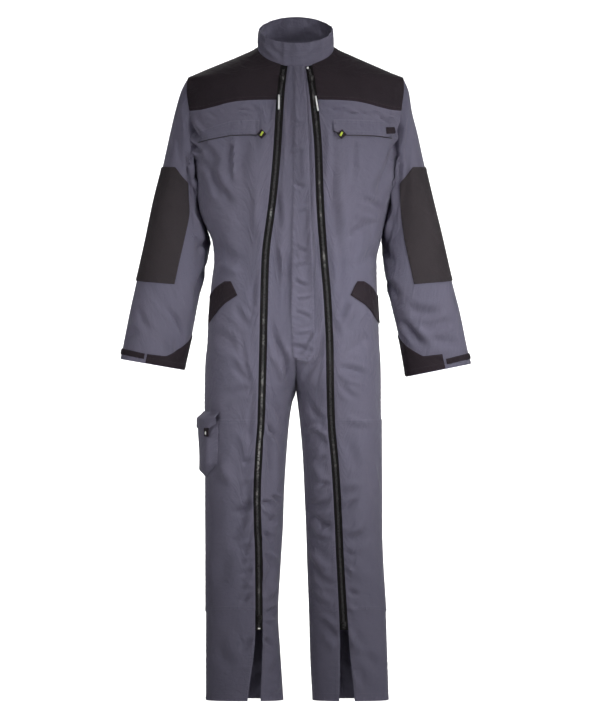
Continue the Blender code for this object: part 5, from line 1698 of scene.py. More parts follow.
def run_lengths(points: Array, axis: int) -> Array:
    """Distance run from the first line of a grid of points along one axis.

    Args:
        points: the grid.
        axis: the axis along which they run.

    Returns:
        Distances in the shape of the grid.
    """
    steps = np.linalg.norm(np.diff(points, axis=axis), axis=-1)
    start = np.zeros_like(np.take(steps, [0], axis=axis))
    return np.concatenate([start, np.cumsum(steps, axis=axis)], axis=axis)


def sampled(grid: Array, rows: Array, columns: Array) -> Array:
    """Grid of spots read off at fractional rows and columns.

    Args:
        grid: rows of spots.
        rows: fractional rows.
        columns: fractional columns.

    Returns:
        The spots read off.
    """
    low = np.clip(np.floor(rows).astype(int), 0, grid.shape[0] - 2)
    part = (rows - low)[:, None, None]
    lines = grid[low] * (1 - part) + grid[low + 1] * part
    low = np.clip(np.floor(columns).astype(int), 0, grid.shape[1] - 2)
    part = (columns - low)[None, :, None]
    return lines[:, low] * (1 - part) + lines[:, low + 1] * part


def ripple(run: Array, seed: float) -> Array:
    """Uneven waves along a seam, from -1 to 1.

    Args:
        run: distances along the seam.
        seed: number that sets the waves.

    Returns:
        A height for every distance.
    """
    turn = 2 * math.pi / PUCKER_WAVE
    reach, rate = LONG_DRIFT
    slow_reach, slow_rate, slow_seed = SLOW_DRIFT
    drift = reach * np.sin(run * turn * rate + seed)
    drift = drift + slow_reach * np.sin(run * turn * slow_rate + slow_seed * seed)
    least, more, swell_rate, swell_seed = WAVE_SWELL
    swell = least + more * np.sin(run * turn * swell_rate + swell_seed * seed)
    return np.sin(run * turn + drift) * swell


@dataclass(frozen=True)
class Cut:
    """Flat cut of a panel: the width and length it is cut from and its own area."""

    width: float
    length: float
    area: float | None = None


@dataclass
class Panel:
    """One cut piece of cloth as a thin shell over a grid of surface spots."""

    name: str
    spots: Array
    place: Place
    finish: Finish
    slot: str
    cut: Cut | None = None
    thickness: float = CLOTH
    lift: float = 0.0
    step: float = 0.005
    closed: bool = False
    pucker: float = 0.0009
    roll: float = 1.0
    flat_edge: "Edge | None" = None
    points: Array = field(init=False)
    normals: Array = field(init=False)
    across: Array = field(init=False)
    along: Array = field(init=False)

    def build(self) -> bpy.types.Object:
        """Make the shell and dress it.

        Returns:
            The shell.
        """
        self._resample()
        flat = self.place(self.spots, self._flat_lift())
        self.across = run_lengths(flat, 1)
        self.along = run_lengths(flat, 0)
        self.points = self.place(self.spots, self._flat_lift() + self._relief())
        outward = self.place(self.spots, self._flat_lift() + SMALL_RISE) - flat
        facing = np.cross(np.gradient(self.points, axis=1), np.gradient(self.points, axis=0))
        self.flipped = float(np.sum(facing * outward)) < 0
        self.normals = unit(-facing if self.flipped else facing)
        thing = dress(self._mesh(), self.finish)
        LOG.info("%s: %d faces, cut %.3f x %.3f m", self.name, len(thing.data.polygons),
                 float(self.across[:, -1].max()), float(self.along[-1].max()))
        return thing

    def _flat_lift(self) -> Array:
        """Lift of every spot before rolls and puckers."""
        return np.full(self.spots.shape[:2], self.lift)

    def _resample(self) -> None:
        """Space the grid's lines evenly over the surface, with close ones by the edges."""
        flat = self.place(self.spots, self._flat_lift())
        across = run_lengths(flat, 1).mean(axis=0)
        along = run_lengths(flat, 0).mean(axis=1)
        columns = np.interp(stations(across[-1], self.step) * across[-1], across, np.arange(len(across)))
        rows = np.interp(stations(along[-1], self.step) * along[-1], along, np.arange(len(along)))
        self.spots = sampled(self.spots, rows, columns)

    def _relief(self) -> Array:
        """Height of turned edges, welts and seam puckers over the panel.

        Returns:
            A height for every point of the grid.
        """
        seed = sum(map(ord, self.name)) * 0.37
        side = np.minimum(self.across, self.across[:, -1:] - self.across)
        end = np.minimum(self.along, self.along[-1:] - self.along)
        height = np.zeros_like(side)
        for distance, run in ((side, self.along), (end, self.across)):
            roll = -ROLL_DROP * np.exp(-(distance / ROLL_REACH) ** 2)
            welt = WELT_RISE * np.exp(-((distance - WELT_PLACE) / WELT_REACH) ** 2)
            height += self.roll * (roll + welt)
            inward = np.exp(-distance / PUCKER_REACH) * (1 - np.exp(-distance / PUCKER_START))
            height += self.pucker * inward * ripple(run, seed)
        if self.flat_edge is not None:
            bare = self.across if self.flat_edge is Edge.LEFT else self.across[:, -1:] - self.across
            height *= ease(bare, 0.0, FLAT_REACH)
        return height

    def _mesh(self) -> bpy.types.Object:
        """Bend a flat grid onto the panel's points and thicken it inwards.

        Returns:
            The bare shell.
        """
        rows, columns = self.points.shape[:2]
        clear_selection()
        bpy.ops.mesh.primitive_grid_add(x_subdivisions=columns - 1, y_subdivisions=rows - 1, size=2.0)
        thing = bpy.context.object
        thing.name = f"{self.name}_cloth"
        mesh = thing.data
        flat = corners_of(thing).round(5)
        order = np.lexsort((flat[:, 0], flat[:, 1]))
        rank = np.empty(len(order), dtype=int)
        rank[order] = np.arange(len(order))
        self._write_cut(mesh, rank)
        move_corners(thing, self.points.reshape(-1, 3)[rank])
        with editing():
            if self.flipped:
                bpy.ops.mesh.flip_normals()
            if self.closed:
                bpy.ops.mesh.remove_doubles(threshold=MERGE)
        wall = thing.modifiers.new("wall", "SOLIDIFY")
        wall.thickness = self.thickness
        wall.offset = -1.0
        bpy.ops.object.modifier_apply(modifier=wall.name)
        bpy.ops.object.shade_smooth_by_angle(angle=SMOOTH_ANGLE)
        return thing

    def _write_cut(self, mesh: bpy.types.Mesh, rank: Array) -> None:
        """Store the place in the cut as a UV map, and the distances from the sewn edges.

        Args:
            mesh: the shell's mesh.
            rank: number of the grid's point for every corner.
        """
        for old in list(mesh.uv_layers):
            mesh.uv_layers.remove(old)
        middle = self.across - self.across[:, -1:] / 2
        layer = mesh.uv_layers.new(name="cut")
        corners = np.zeros(len(mesh.loops), dtype=int)
        mesh.loops.foreach_get("vertex_index", corners)
        flat = np.stack([middle, self.along], axis=-1).reshape(-1, 2)[rank]
        layer.data.foreach_set("uv", flat[corners].ravel())
        side = np.minimum(self.across, self.across[:, -1:] - self.across).reshape(-1)[rank]
        end = np.minimum(self.along, self.along[-1:] - self.along).reshape(-1)[rank]
        for name, values in (("side_distance", side), ("end_distance", end)):
            mesh.attributes.new(name, "FLOAT", "POINT").data.foreach_set("value", values.astype(np.float32))

    def seam_line(self, edge: "Edge", inset: float, start: float, end: float) -> tuple[Array, Array]:
        """Line on the panel at a distance from one of its edges.

        Args:
            edge: the edge that it follows.
            inset: its distance from that edge.
            start: share of the edge where it starts.
            end: share of the edge where it ends.

        Returns:
            Points and outward directions along the line.
        """
        upright = edge in (Edge.LEFT, Edge.RIGHT)
        runs = self.across if upright else self.along.T
        points = self.points if upright else self.points.transpose(1, 0, 2)
        normals = self.normals if upright else self.normals.transpose(1, 0, 2)
        first = int(round(start * (len(runs) - 1)))
        last = int(round(end * (len(runs) - 1)))
        found = []
        facing = []
        for j in range(first, last + 1):
            target = inset if edge in (Edge.LEFT, Edge.BOTTOM) else runs[j, -1] - inset
            place = float(np.interp(target, runs[j], np.arange(runs.shape[1])))
            low = min(int(place), runs.shape[1] - 2)
            found.append(mix(points[j, low], points[j, low + 1], place - low))
            facing.append(mix(normals[j, low], normals[j, low + 1], place - low))
        return np.array(found), unit(np.array(facing))


class Edge(Enum):
    """Edge of a panel's grid."""

    LEFT = "left"
    RIGHT = "right"
    BOTTOM = "bottom"
    TOP = "top"


# ---------------------------------------------------------------------------------- stitches

FREE_STEPS = 40
FREE_LIFT = 0.0001
SIDE_SHARE = 0.80
STITCH_RISE = 0.15
LOOK_SHARE = 0.4
EDGE_STITCH = (0.0020,)
TWIN_STITCH = (0.0020, 0.0075)
WIDE_TWIN = (0.0020, 0.0080)
ZIP_TWIN = (0.0020, 0.0070)
SEAM_STITCH = (0.0018,)
HEM_STITCH = (0.0180,)
SMALL_STITCH = (0.0013,)
LABEL_STITCH = (0.0012,)
YOKE_TWIN = (0.0018, 0.0078)
FLAP_TWIN = (0.0020, 0.0078)
BELLOWS_TWIN = (0.0018, 0.0220)
STRAP_STITCH = (0.0016,)
CUFF_STITCH = (0.0160,)
GUSSET_STITCH = (0.0130,)
RIM_STITCH = (0.0020, 0.0170, 0.0300)
LAP_STITCH = (0.0022,)
HALF_TURN = math.pi / 2


def copies(name: str, model: bpy.types.Object, centres: Array, axes: Array) -> bpy.types.Object:
    """One object holding a copy of a modelled part at every place, in the part's stead.

    Args:
        name: the new object's name.
        model: the part, modelled round its own origin.
        centres: a place for each copy.
        axes: three directions for each copy, for the part's own X, Y and Z.

    Returns:
        The new object.
    """
    corners = corners_of(model)
    faces = [tuple(face.vertices) for face in model.data.polygons]
    moved = np.einsum("vk,nkc->nvc", corners, axes) + centres[:, None, :]
    shifts = np.arange(len(centres)) * len(corners)
    all_faces = [tuple(index + shift for index in face) for shift in shifts.tolist() for face in faces]
    mesh = bpy.data.meshes.new(name)
    mesh.from_pydata(moved.reshape(-1, 3).tolist(), [], all_faces)
    mesh.update()
    mesh.shade_smooth()
    bpy.data.objects.remove(model, do_unlink=True)
    return placed(name, mesh)


def spaced_along(points: Array, normals: Array, pitch: float,
                 offset: float = 0.5) -> tuple[Array, Array, Array]:
    """Places, running directions and outward directions at an even pitch along a line.

    Args:
        points: points of the line.
        normals: its outward directions.
        pitch: distance from one place to the next.
        offset: share of the pitch before the first place.

    Returns:
        Places, running directions and outward directions.
    """
    runs = np.concatenate([[0.0], np.cumsum(np.linalg.norm(np.diff(points, axis=0), axis=1))])
    targets = np.arange(offset * pitch, runs[-1], pitch)
    if len(targets) == 0:
        targets = np.array([runs[-1] / 2])

    def read(values: Array, shift: float) -> Array:
        """Values at the targets, moved along the line by shift."""
        return np.stack([np.interp(targets + shift, runs, values[:, k]) for k in range(3)], axis=-1)

    running = unit(read(points, pitch * LOOK_SHARE) - read(points, -pitch * LOOK_SHARE))
    facing = unit(read(normals, 0.0))
    facing = unit(facing - running * np.sum(facing * running, axis=-1, keepdims=True))
    return read(points, 0.0), running, facing


def line_over_front(spots: Array, lift: float) -> tuple[Array, Array]:
    """Points and outward directions of a line of spots x, z on the front.

    Args:
        spots: the spots.
        lift: height over the cloth.

    Returns:
        The points and the directions.
    """
    lifts = np.full((1, len(spots)), lift)
    low, high = (across_front(spots[None], lifts + rise)[0] for rise in (0.0, SMALL_RISE))
    return low, unit(high - low)


class Row(NamedTuple):
    """Rows of stitches at several insets from one edge of a panel, over a share of that edge."""

    edge: Edge
    insets: tuple[float, ...] = EDGE_STITCH
    start: float = 0.0
    end: float = 1.0


@dataclass
class Thread:
    """Sewing thread: rows of single stitches gathered for one panel."""

    length: float = 0.0027
    width: float = 0.00055
    height: float = 0.00045
    pitch: float = 0.0036
    rows: list[tuple[Array, Array, Array]] = field(default_factory=list)

    def sew(self, line: tuple[Array, Array]) -> None:
        """Add one row of stitches along points and outward directions."""
        self.rows.append(spaced_along(*line, self.pitch))

    def sew_free(self, corners: Sequence[Sequence[float]], lift: float) -> None:
        """Add a row of stitches over the front, straight from spot x, z to spot.

        Args:
            corners: the spots that the row runs through.
            lift: height over the cloth.
        """
        lines = [line_between(a, b, FREE_STEPS) for a, b in zip(corners, corners[1:])]
        self.sew(line_over_front(np.concatenate(lines), lift))

    def build(self, name: str, finish: Finish, slot: str) -> bpy.types.Object:
        """Model one stitch, copy it along every row and dress the rows.

        Args:
            name: its name.
            finish: the thread's finish.
            slot: not used.

        Returns:
            The rows as one object.
        """
        clear_selection()
        bpy.ops.mesh.primitive_uv_sphere_add(segments=5, ring_count=3, radius=0.5)
        with editing():
            bpy.ops.transform.rotate(value=HALF_TURN, orient_axis="Y", center_override=(0, 0, 0))
            bpy.ops.transform.resize(value=(self.length, self.width, self.height), center_override=(0, 0, 0))
        centres, running, facing = (np.concatenate(values) for values in zip(*self.rows))
        axes = np.stack([running, np.cross(facing, running), facing], axis=1)
        stitches = copies(name, bpy.context.object, centres + facing * self.height * STITCH_RISE, axes)
        return dress(stitches, finish)


@dataclass
class Sewn:
    """A panel with its own stitching and trims, standing for the solid of its name."""

    panel: Panel
    cut: Cut
    rows: Sequence[Row] = ()
    thread: Thread = field(default_factory=Thread)
    trims: list[bpy.types.Object] = field(default_factory=list)

    def build(self) -> "Sewn":
        """Build the shell and lay the rows of stitches along its edges.

        Returns:
            The same piece.
        """
        self.shell = self.panel.build()
        for row in self.rows:
            for inset in row.insets:
                self.thread.sew(self.panel.seam_line(row.edge, inset, row.start, row.end))
        return self

    def finish(self) -> None:
        pieces = list(self.trims)
        if self.thread.rows:
            finish = Finish.GREY_THREAD if self.panel.finish is Finish.GREY else Finish.BLACK_THREAD
            pieces.append(self.thread.build(f"{self.panel.name}_stitches", finish, self.panel.slot))
        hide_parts(self.panel.name)


# ------------------------------------------------------------------------- yokes and fronts

FINE = 4
SIDE_LIMIT = 1.985
SIDE_FRONT_COLUMNS = 6
CENTRE_FRONT_COLUMNS = 5
BACK_COLUMNS = 8


class YokeRow(NamedTuple):
    """Height of the front yoke's lower edge at a distance from the centre plane."""

    x: float
    z: float


YOKE_EDGE = Columns(in_mm(YokeRow,
    (20, -103.5),
    (80, -104),
    (135, -107),
    (165, -112.5),
    (195, -120.5),
    (230, -127),
    (262, -127.5),
))


def yoke_bottom(side: Side, columns: int) -> Array:
    """Lower edge of a front yoke as u and z, from the zip to the armhole.

    Args:
        side: the wearer's side.
        columns: number of steps.

    Returns:
        Spots from the zip to the armhole.
    """
    body = BODIES[side]
    start = float(body.zip_edge(YOKE_Z, 1)[0])
    end_u, end_z = armhole(ARMHOLE_YOKE_STEP)
    t = np.linspace(0, 1, columns + 1)
    u = mix(start, end_u, t)
    z = np.full_like(u, YOKE_Z)
    for _ in range(6):
        z = YOKE_EDGE.at("z", np.abs(body.bare(u, z)[..., 0]))
    edge = np.stack([u, mix(z, end_z, ease(t, 0.85, 1.0))], axis=-1)
    edge[0] = (start, YOKE_Z)
    return edge


def upright(u: float, heights: Array) -> Array:
    """Spots one above the other at a place round the body."""
    return np.stack([np.full_like(heights, u), heights], axis=-1)


def front_levels() -> Array:
    """Heights of the rows that the side fronts, zips and centre fronts share."""
    return np.concatenate([levels(LEG_LEVELS, FINE), spaced(UNDERARM_Z, YOKE_Z, ARMHOLE_LEVELS * FINE)[1:]])


def neck_levels() -> Array:
    """The front's shared heights, carried on up to the neck."""
    return np.concatenate([front_levels(), spaced(YOKE_Z, ZIP_TOP_Z, (YOKE_LEVELS - 1) * FINE)[1:]])


@dataclass
class Yokes:
    """Black yokes: two in front and one across the back."""

    front_cut: Cut = Cut(0.26, 0.22, 0.034)
    back_cut: Cut = Cut(0.64, 0.30, 0.105)

    def build(self) -> None:
        """Build the three yokes with double topstitching on their lower edges."""
        yokes = [(f"yoke_front_{side.word}", self._front_spots(side), on_front(side), self.front_cut)
                 for side in Side]
        yokes.append(("yoke_back", self._back_spots(), across_back, self.back_cut))
        for name, spots, place, cut in yokes:
            panel = Panel(name, spots, place, *BLACK_CLOTH, pucker=0.0003)
            Sewn(panel, cut, [Row(Edge.BOTTOM, YOKE_TWIN)]).build().finish()

    def _front_spots(self, side: Side) -> Array:
        """Spots of one front yoke between zip, neck, shoulder and armhole.

        Args:
            side: the wearer's side.

        Returns:
            Spots u, z.
        """
        body = BODIES[side]
        columns = SIDE_FRONT_COLUMNS * FINE
        zip_line = body.zip_edge(spaced(YOKE_Z, ZIP_TOP_Z, (YOKE_LEVELS - 1) * FINE), 1)
        neck_start = math.asin(float(body.zip_x(ZIP_TOP_Z, 1)) / NECK_HALF_WIDTH)
        neck = body.neckline(spaced(neck_start, HALF_TURN, 4 * FINE), True)
        inner = np.concatenate([zip_line[:-1], neck])
        outer = armhole(spaced(ARMHOLE_YOKE_STEP, 0, len(inner) - 1))
        shoulder = line_between((SIDE_SEAM, NECK_SIDE_Z), (SIDE_SEAM, SHOULDER_TIP_Z), columns)
        return filled(inner, outer, yoke_bottom(side, columns), shoulder)

    def _back_spots(self) -> Array:
        """Spots of the back yoke, from the wearer's right armhole to the left one.

        Returns:
            Spots u, z.
        """
        halves = {}
        for side in Side:
            neck = BODIES[side].neckline(spaced(0.0, HALF_TURN, 4 * FINE), False)
            t = np.linspace(0, 1, BACK_COLUMNS * FINE + 1)
            end_u, end_z = armhole(ARMHOLE_STEPS - ARMHOLE_YOKE_STEP)
            lower = np.stack([mix(CENTRE_BACK, end_u, t), mix(BACK_YOKE_Z, end_z, t ** 2)], axis=-1)
            shoulder = line_between((SIDE_SEAM, NECK_SIDE_Z), (SIDE_SEAM, SHOULDER_TIP_Z),
                                    (BACK_COLUMNS - 4) * FINE)
            upper = np.concatenate([neck, shoulder[1:]])
            centre = line_between(lower[0], upper[0], ARMHOLE_YOKE_STEP * FINE)
            outer = armhole(ARMHOLE_STEPS - spaced(ARMHOLE_YOKE_STEP, 0, ARMHOLE_YOKE_STEP * FINE))
            half = filled(centre, outer, lower, upper)
            sign = np.full((*half.shape[:2], 1), float(side.value))
            halves[side] = np.concatenate([sign, half], axis=-1)
        return np.concatenate([halves[Side.RIGHT][:, :0:-1], halves[Side.LEFT]], axis=1)


class PlacketRow(NamedTuple):
    """Distances of the placket's free edge and its stitched edge from the centre plane, at one height."""

    z: float
    free: float
    stitched: float


class FrontSpot(NamedTuple):
    """Spot on the front by signed x and z."""

    x: float
    z: float


@dataclass
class Fronts:
    """Side fronts with their knee panels, centre fronts and the fly placket."""

    side_cut: Cut = Cut(0.28, 1.44, 0.26)
    centre_cut: Cut = Cut(0.16, 1.60, 0.13)
    knee_cut: Cut = Cut(0.195, 0.46, 0.073)
    placket_cut: Cut = Cut(0.057, 0.73, 0.031)
    knee_cloth: float = 0.0010
    knee_lift: float = 0.0018
    shin_twin: float = 0.006
    shin_start: float = 1.15
    placket_lift: float = 0.0028
    placket_top: float = -0.0270
    placket_rows: tuple[PlacketRow, ...] = in_mm(PlacketRow,
        (-27, -3.5, 16.5),
        (-100, -3.5, 25),
        (-250, -4, 31),
        (-420, -9, 37),
        (-580, -12, 42),
        (-696, -7, 44),
    )
    bag_corners: dict[Side, tuple[FrontSpot, ...]] = field(default_factory=lambda: {
        Side.RIGHT: in_mm(FrontSpot, (-149, -156), (-150, -290), (-140, -306), (-98, -314), (-86, -302)),
        Side.LEFT: in_mm(FrontSpot, (133, -156), (134, -298), (140, -316), (194, -328), (204, -312)),
    })

    def side_spots(self, side: Side) -> Array:
        """Spots of a side front, from the zip's edge to the side seam and the armhole.

        Args:
            side: the wearer's side.

        Returns:
            Spots u, z.
        """
        body = BODIES[side]
        leg = levels(LEG_LEVELS, FINE)
        left = body.zip_edge(front_levels(), 1)
        steps = spaced(ARMHOLE_STEPS / 2, ARMHOLE_YOKE_STEP, ARMHOLE_LEVELS * FINE)
        right = np.concatenate([upright(SIDE_SEAM, leg), armhole(steps[1:])])
        top = yoke_bottom(side, SIDE_FRONT_COLUMNS * FINE)
        bottom = line_between(left[0], right[0], SIDE_FRONT_COLUMNS * FINE)
        grid = filled(left, right, bottom, top, reach=5)
        grid[-1, :, 1] -= SEAM_GAP
        return grid

    def build(self) -> None:
        """Build both halves of the front and the placket between them."""
        for side in Side:
            spots = self.side_spots(side)
            panel = Panel(f"front_side_{side.word}", spots, on_front(side), *GREY_CLOTH)
            sewn = Sewn(panel, self.side_cut, [
                Row(Edge.LEFT, ZIP_TWIN), Row(Edge.RIGHT, SEAM_STITCH, 0.0, SIDE_SHARE),
                Row(Edge.BOTTOM, HEM_STITCH)]).build()
            sewn.thread.sew_free(self.bag_corners[side], FREE_LIFT)
            sewn.finish()
            self._build_knee(side, spots)
            self._build_centre(side)
        self._build_placket()

    def _build_knee(self, side: Side, spots: Array) -> None:
        """Knee panel laid on a side front, from the knee seam to the shin seam.

        Args:
            side: the wearer's side.
            spots: spots of the side front under it.
        """
        heights = front_levels()
        low = int(np.argmin(np.abs(heights - SHIN_SEAM_Z)))
        high = int(np.argmin(np.abs(heights - KNEE_SEAM_Z)))
        knee = spots[low:high + 1].copy()
        knee[:, -1, 0] = SIDE_LIMIT
        knee[0, :, 1] += 0.004 * np.sin(np.linspace(0, math.pi, knee.shape[1]) * 1.2 + 0.4)
        panel = Panel(f"knee_panel_{side.word}", knee, on_front(side), *GREY_CLOTH,
                      thickness=self.knee_cloth, lift=self.knee_lift, pucker=0.0004)
        Sewn(panel, self.knee_cut, [Row(Edge.TOP, TWIN_STITCH), Row(Edge.BOTTOM, TWIN_STITCH),
                                    Row(Edge.LEFT, SEAM_STITCH)]).build().finish()

    def _build_centre(self, side: Side) -> None:
        """Centre front: neck to crotch between zip and centre, then the inner front of the leg.

        Args:
            side: the wearer's side.
        """
        body = BODIES[side]
        heights = neck_levels()
        zip_side = body.zip_edge(heights, -1)
        centre = upright(0.0, np.append(heights[:-1], NECK_FRONT_Z))
        neck_end = math.asin(float(body.zip_x(ZIP_TOP_Z, -1)) / NECK_HALF_WIDTH)
        neck = body.neckline(spaced(0.0, neck_end, CENTRE_FRONT_COLUMNS * FINE), True)
        zip_side[-1] = neck[-1]
        bottom = line_between(centre[0], zip_side[0], CENTRE_FRONT_COLUMNS * FINE)
        grid = filled(centre, zip_side, bottom, neck, reach=6)
        panel = Panel(f"front_centre_{side.word}", grid, on_front(side), *GREY_CLOTH, step=0.0045,
                      flat_edge=Edge.LEFT)
        sewn = Sewn(panel, self.centre_cut, [Row(Edge.RIGHT, ZIP_TWIN), Row(Edge.BOTTOM, HEM_STITCH)]).build()
        for z in (SHIN_SEAM_Z, SHIN_SEAM_Z - self.shin_twin):
            inner = float(body.zip_x(z, -1)) * side.value
            start = float(BODY.at(f"{side.word}_in", z)) * side.value * self.shin_start
            sewn.thread.sew_free(((start, z), (inner, z)), FREE_LIFT)
        sewn.finish()

    def _build_placket(self) -> None:
        """Fly placket over the centre seam, tacked across at its foot."""
        heights = neck_levels()
        heights = np.append(heights[(heights >= FORK_Z) & (heights < self.placket_top)], self.placket_top)
        z, free, stitched = np.array(self.placket_rows)[::-1].T
        left = np.stack([np.interp(heights, z, free), heights], axis=-1)
        right = np.stack([np.interp(heights, z, stitched), heights], axis=-1)
        grid = filled(left, right, line_between(left[0], right[0], 16))
        panel = Panel("fly_placket", grid, across_front, *GREY_CLOTH, lift=self.placket_lift,
                      step=0.0035, pucker=0.0006)
        Sewn(panel, self.placket_cut, [Row(Edge.LEFT), Row(Edge.RIGHT, WIDE_TWIN),
                                       Row(Edge.BOTTOM, TWIN_STITCH)]).build().finish()


@dataclass
class Backs:
    """Grey backs, each one piece from the yoke through the seat to the hem."""

    cut: Cut = Cut(0.37, 1.42, 0.39)
    seat_share: float = 0.42

    def build(self) -> None:
        """Build both backs with their side, seat and hem stitching."""
        for side in Side:
            steps = spaced(ARMHOLE_STEPS / 2, ARMHOLE_STEPS - ARMHOLE_YOKE_STEP, ARMHOLE_LEVELS * FINE)
            leg = levels(LEG_LEVELS, FINE)
            seam = np.concatenate([upright(BACK_SEAM, leg), armhole(steps[1:])])
            heights = np.concatenate([leg, spaced(UNDERARM_Z, BACK_YOKE_Z, ARMHOLE_LEVELS * FINE)[1:]])
            centre = upright(CENTRE_BACK, heights)
            t = np.linspace(0, 1, BACK_COLUMNS * FINE + 1)
            top = np.stack([mix(seam[-1][0], CENTRE_BACK, t),
                            mix(BACK_YOKE_Z, seam[-1][1], (1 - t) ** 2)], axis=-1)
            bottom = line_between(seam[0], centre[0], BACK_COLUMNS * FINE)
            grid = filled(seam, centre, bottom, top, reach=5)
            grid[-1, :, 1] -= SEAM_GAP
            panel = Panel(f"back_{side.word}", grid, on_back(side), *GREY_CLOTH, flat_edge=Edge.RIGHT)
            Sewn(panel, self.cut, [Row(Edge.LEFT, WIDE_TWIN, 0.0, SIDE_SHARE),
                                   Row(Edge.RIGHT, WIDE_TWIN, self.seat_share, 1.0),
                                   Row(Edge.BOTTOM, HEM_STITCH)]).build().finish()


# ---------------------------------------------------------------------- sleeves and collar

class PatchRow(NamedTuple):
    """Heights of an elbow patch's top and bottom at an angle of the sleeve."""

    angle: float
    top: float
    bottom: float


class GussetRow(NamedTuple):
    """Height of a cuff gusset's top at an angle of the sleeve."""

    angle: float
    top: float


@dataclass
class Sleeves:
    """Grey sleeves with their black elbow patches, cuff gussets and cuff straps."""

    sleeve_cut: Cut = Cut(0.61, 0.70, 0.25)
    patch_cut: Cut = Cut(0.30, 0.275, 0.074)
    gusset_cut: Cut = Cut(0.23, 0.10, 0.0096)
    strap_cut: Cut = Cut(0.158, 0.0148)
    patch_lift: float = LAY_GAP + CLOTH + 0.0006
    strap_cloth: float = 0.0016
    strap_band: tuple[float, float] = (0.962, 0.983)
    strap_angles: tuple[float, float] = (-70.0, 76.0)
    gusset_shortest: float = 0.985
    gusset_end: float = 0.997
    gusset_angles: tuple[float, float] = (80, 234)
    patch_spans: tuple[tuple[float, float, int], ...] = ((-117, -75, 8), (-75, 62, 24), (62, 99, 8))
    tube_angles: tuple[float, float] = (180.0, 540.0)
    allowance_shares: tuple[float, ...] = (-1.0, -0.5, -0.2)
    patch_rows: tuple[PatchRow, ...] = table(PatchRow,
        (-117, -0.3000, -0.5260),
        (-75, -0.2580, -0.5240),
        (0, -0.2570, -0.5210),
        (62, -0.2580, -0.5260),
        (99, -0.2970, -0.5300),
    )
    gusset_rows: tuple[GussetRow, ...] = table(GussetRow,
        (80, -0.6920),
        (108, -0.6970),
        (112, -0.6960),
        (180, -0.6454),
        (236, -0.7050),
    )

    def build(self) -> None:
        """Build both sleeves and what is sewn on them."""
        for side in Side:
            self._build_tube(side)
            self._build_patch(side)
            self._build_gusset(side)
            self._build_strap(side)

    def _shares(self, side: Side, angles: Array, keys: Array, heights: Array) -> Array:
        """Shares of the sleeve's length at angles, for heights given at key angles.

        Args:
            side: the wearer's side.
            angles: the angles.
            keys: angles of the table.
            heights: heights of the table.

        Returns:
            A share for every angle.
        """
        targets = np.interp(angles, keys, heights)
        return np.array([SLEEVES[side].v_at(angle, z) for angle, z in zip(angles, targets)])

    def _build_tube(self, side: Side) -> None:
        """Sleeve from the armhole to the hem, its seam under the arm.

        Args:
            side: the wearer's side.
        """
        turns = spaced(*self.tube_angles, 72)
        allowance = np.array(self.allowance_shares) * ALLOWANCE / SLEEVE_LENGTH
        shares = np.concatenate([allowance, spaced(0.0, 1.0, 80)])
        panel = Panel(f"sleeve_{side.word}", grid_over(shares, turns), on_sleeve(side), *GREY_CLOTH,
                      closed=True)
        Sewn(panel, self.sleeve_cut, [Row(Edge.BOTTOM, WIDE_TWIN), Row(Edge.TOP, CUFF_STITCH),
                                      Row(Edge.LEFT, TWIN_STITCH)]).build().finish()

    def _build_patch(self, side: Side) -> None:
        """Elbow patch, wrapped over the outer edge of the sleeve.

        Args:
            side: the wearer's side.
        """
        keys, tops, ends = np.array(self.patch_rows).T
        first, *others = (spaced(*span) for span in self.patch_spans)
        angles = np.concatenate([first, *(span[1:] for span in others)])
        starts, stops = (self._shares(side, angles, keys, heights) for heights in (tops, ends))
        shares = mix(starts, stops, np.linspace(0, 1, 33)[:, None])
        grid = np.stack([shares, np.broadcast_to(angles, shares.shape)], axis=-1)
        panel = Panel(f"elbow_patch_{side.word}", grid, on_sleeve(side), Finish.CANVAS, "panel_cloth",
                      lift=self.patch_lift, pucker=0.0003)
        Sewn(panel, self.patch_cut, [Row(edge) for edge in Edge]).build().finish()

    def _build_gusset(self, side: Side) -> None:
        """Black triangle on the inner side of the cuff.

        Args:
            side: the wearer's side.
        """
        angles = spaced(*self.gusset_angles, 44)
        starts = np.minimum(self._shares(side, angles, *np.array(self.gusset_rows).T), self.gusset_shortest)
        shares = mix(starts, self.gusset_end, np.linspace(0, 1, 17)[:, None])
        grid = np.stack([shares, np.broadcast_to(angles, shares.shape)], axis=-1)
        panel = Panel(f"cuff_gusset_{side.word}", grid, on_sleeve(side), *BLACK_CLOTH,
                      lift=LAY_GAP + CLOTH, pucker=0.0004, step=0.004)
        Sewn(panel, self.gusset_cut, [Row(Edge.TOP, GUSSET_STITCH), Row(Edge.BOTTOM)]).build().finish()

    def _build_strap(self, side: Side) -> None:
        """Closing strap over the outer side of the cuff.

        Args:
            side: the wearer's side.
        """
        grid = grid_over(spaced(*self.strap_band, 4), spaced(*self.strap_angles, 36))
        panel = Panel(f"cuff_strap_{side.word}", grid, on_sleeve(side), *BLACK_CLOTH,
                      thickness=self.strap_cloth, lift=self.patch_lift, pucker=0.0003, step=0.004)
        rows = [Row(edge, STRAP_STITCH) for edge in (Edge.TOP, Edge.BOTTOM)]
        Sewn(panel, self.strap_cut, rows).build().finish()


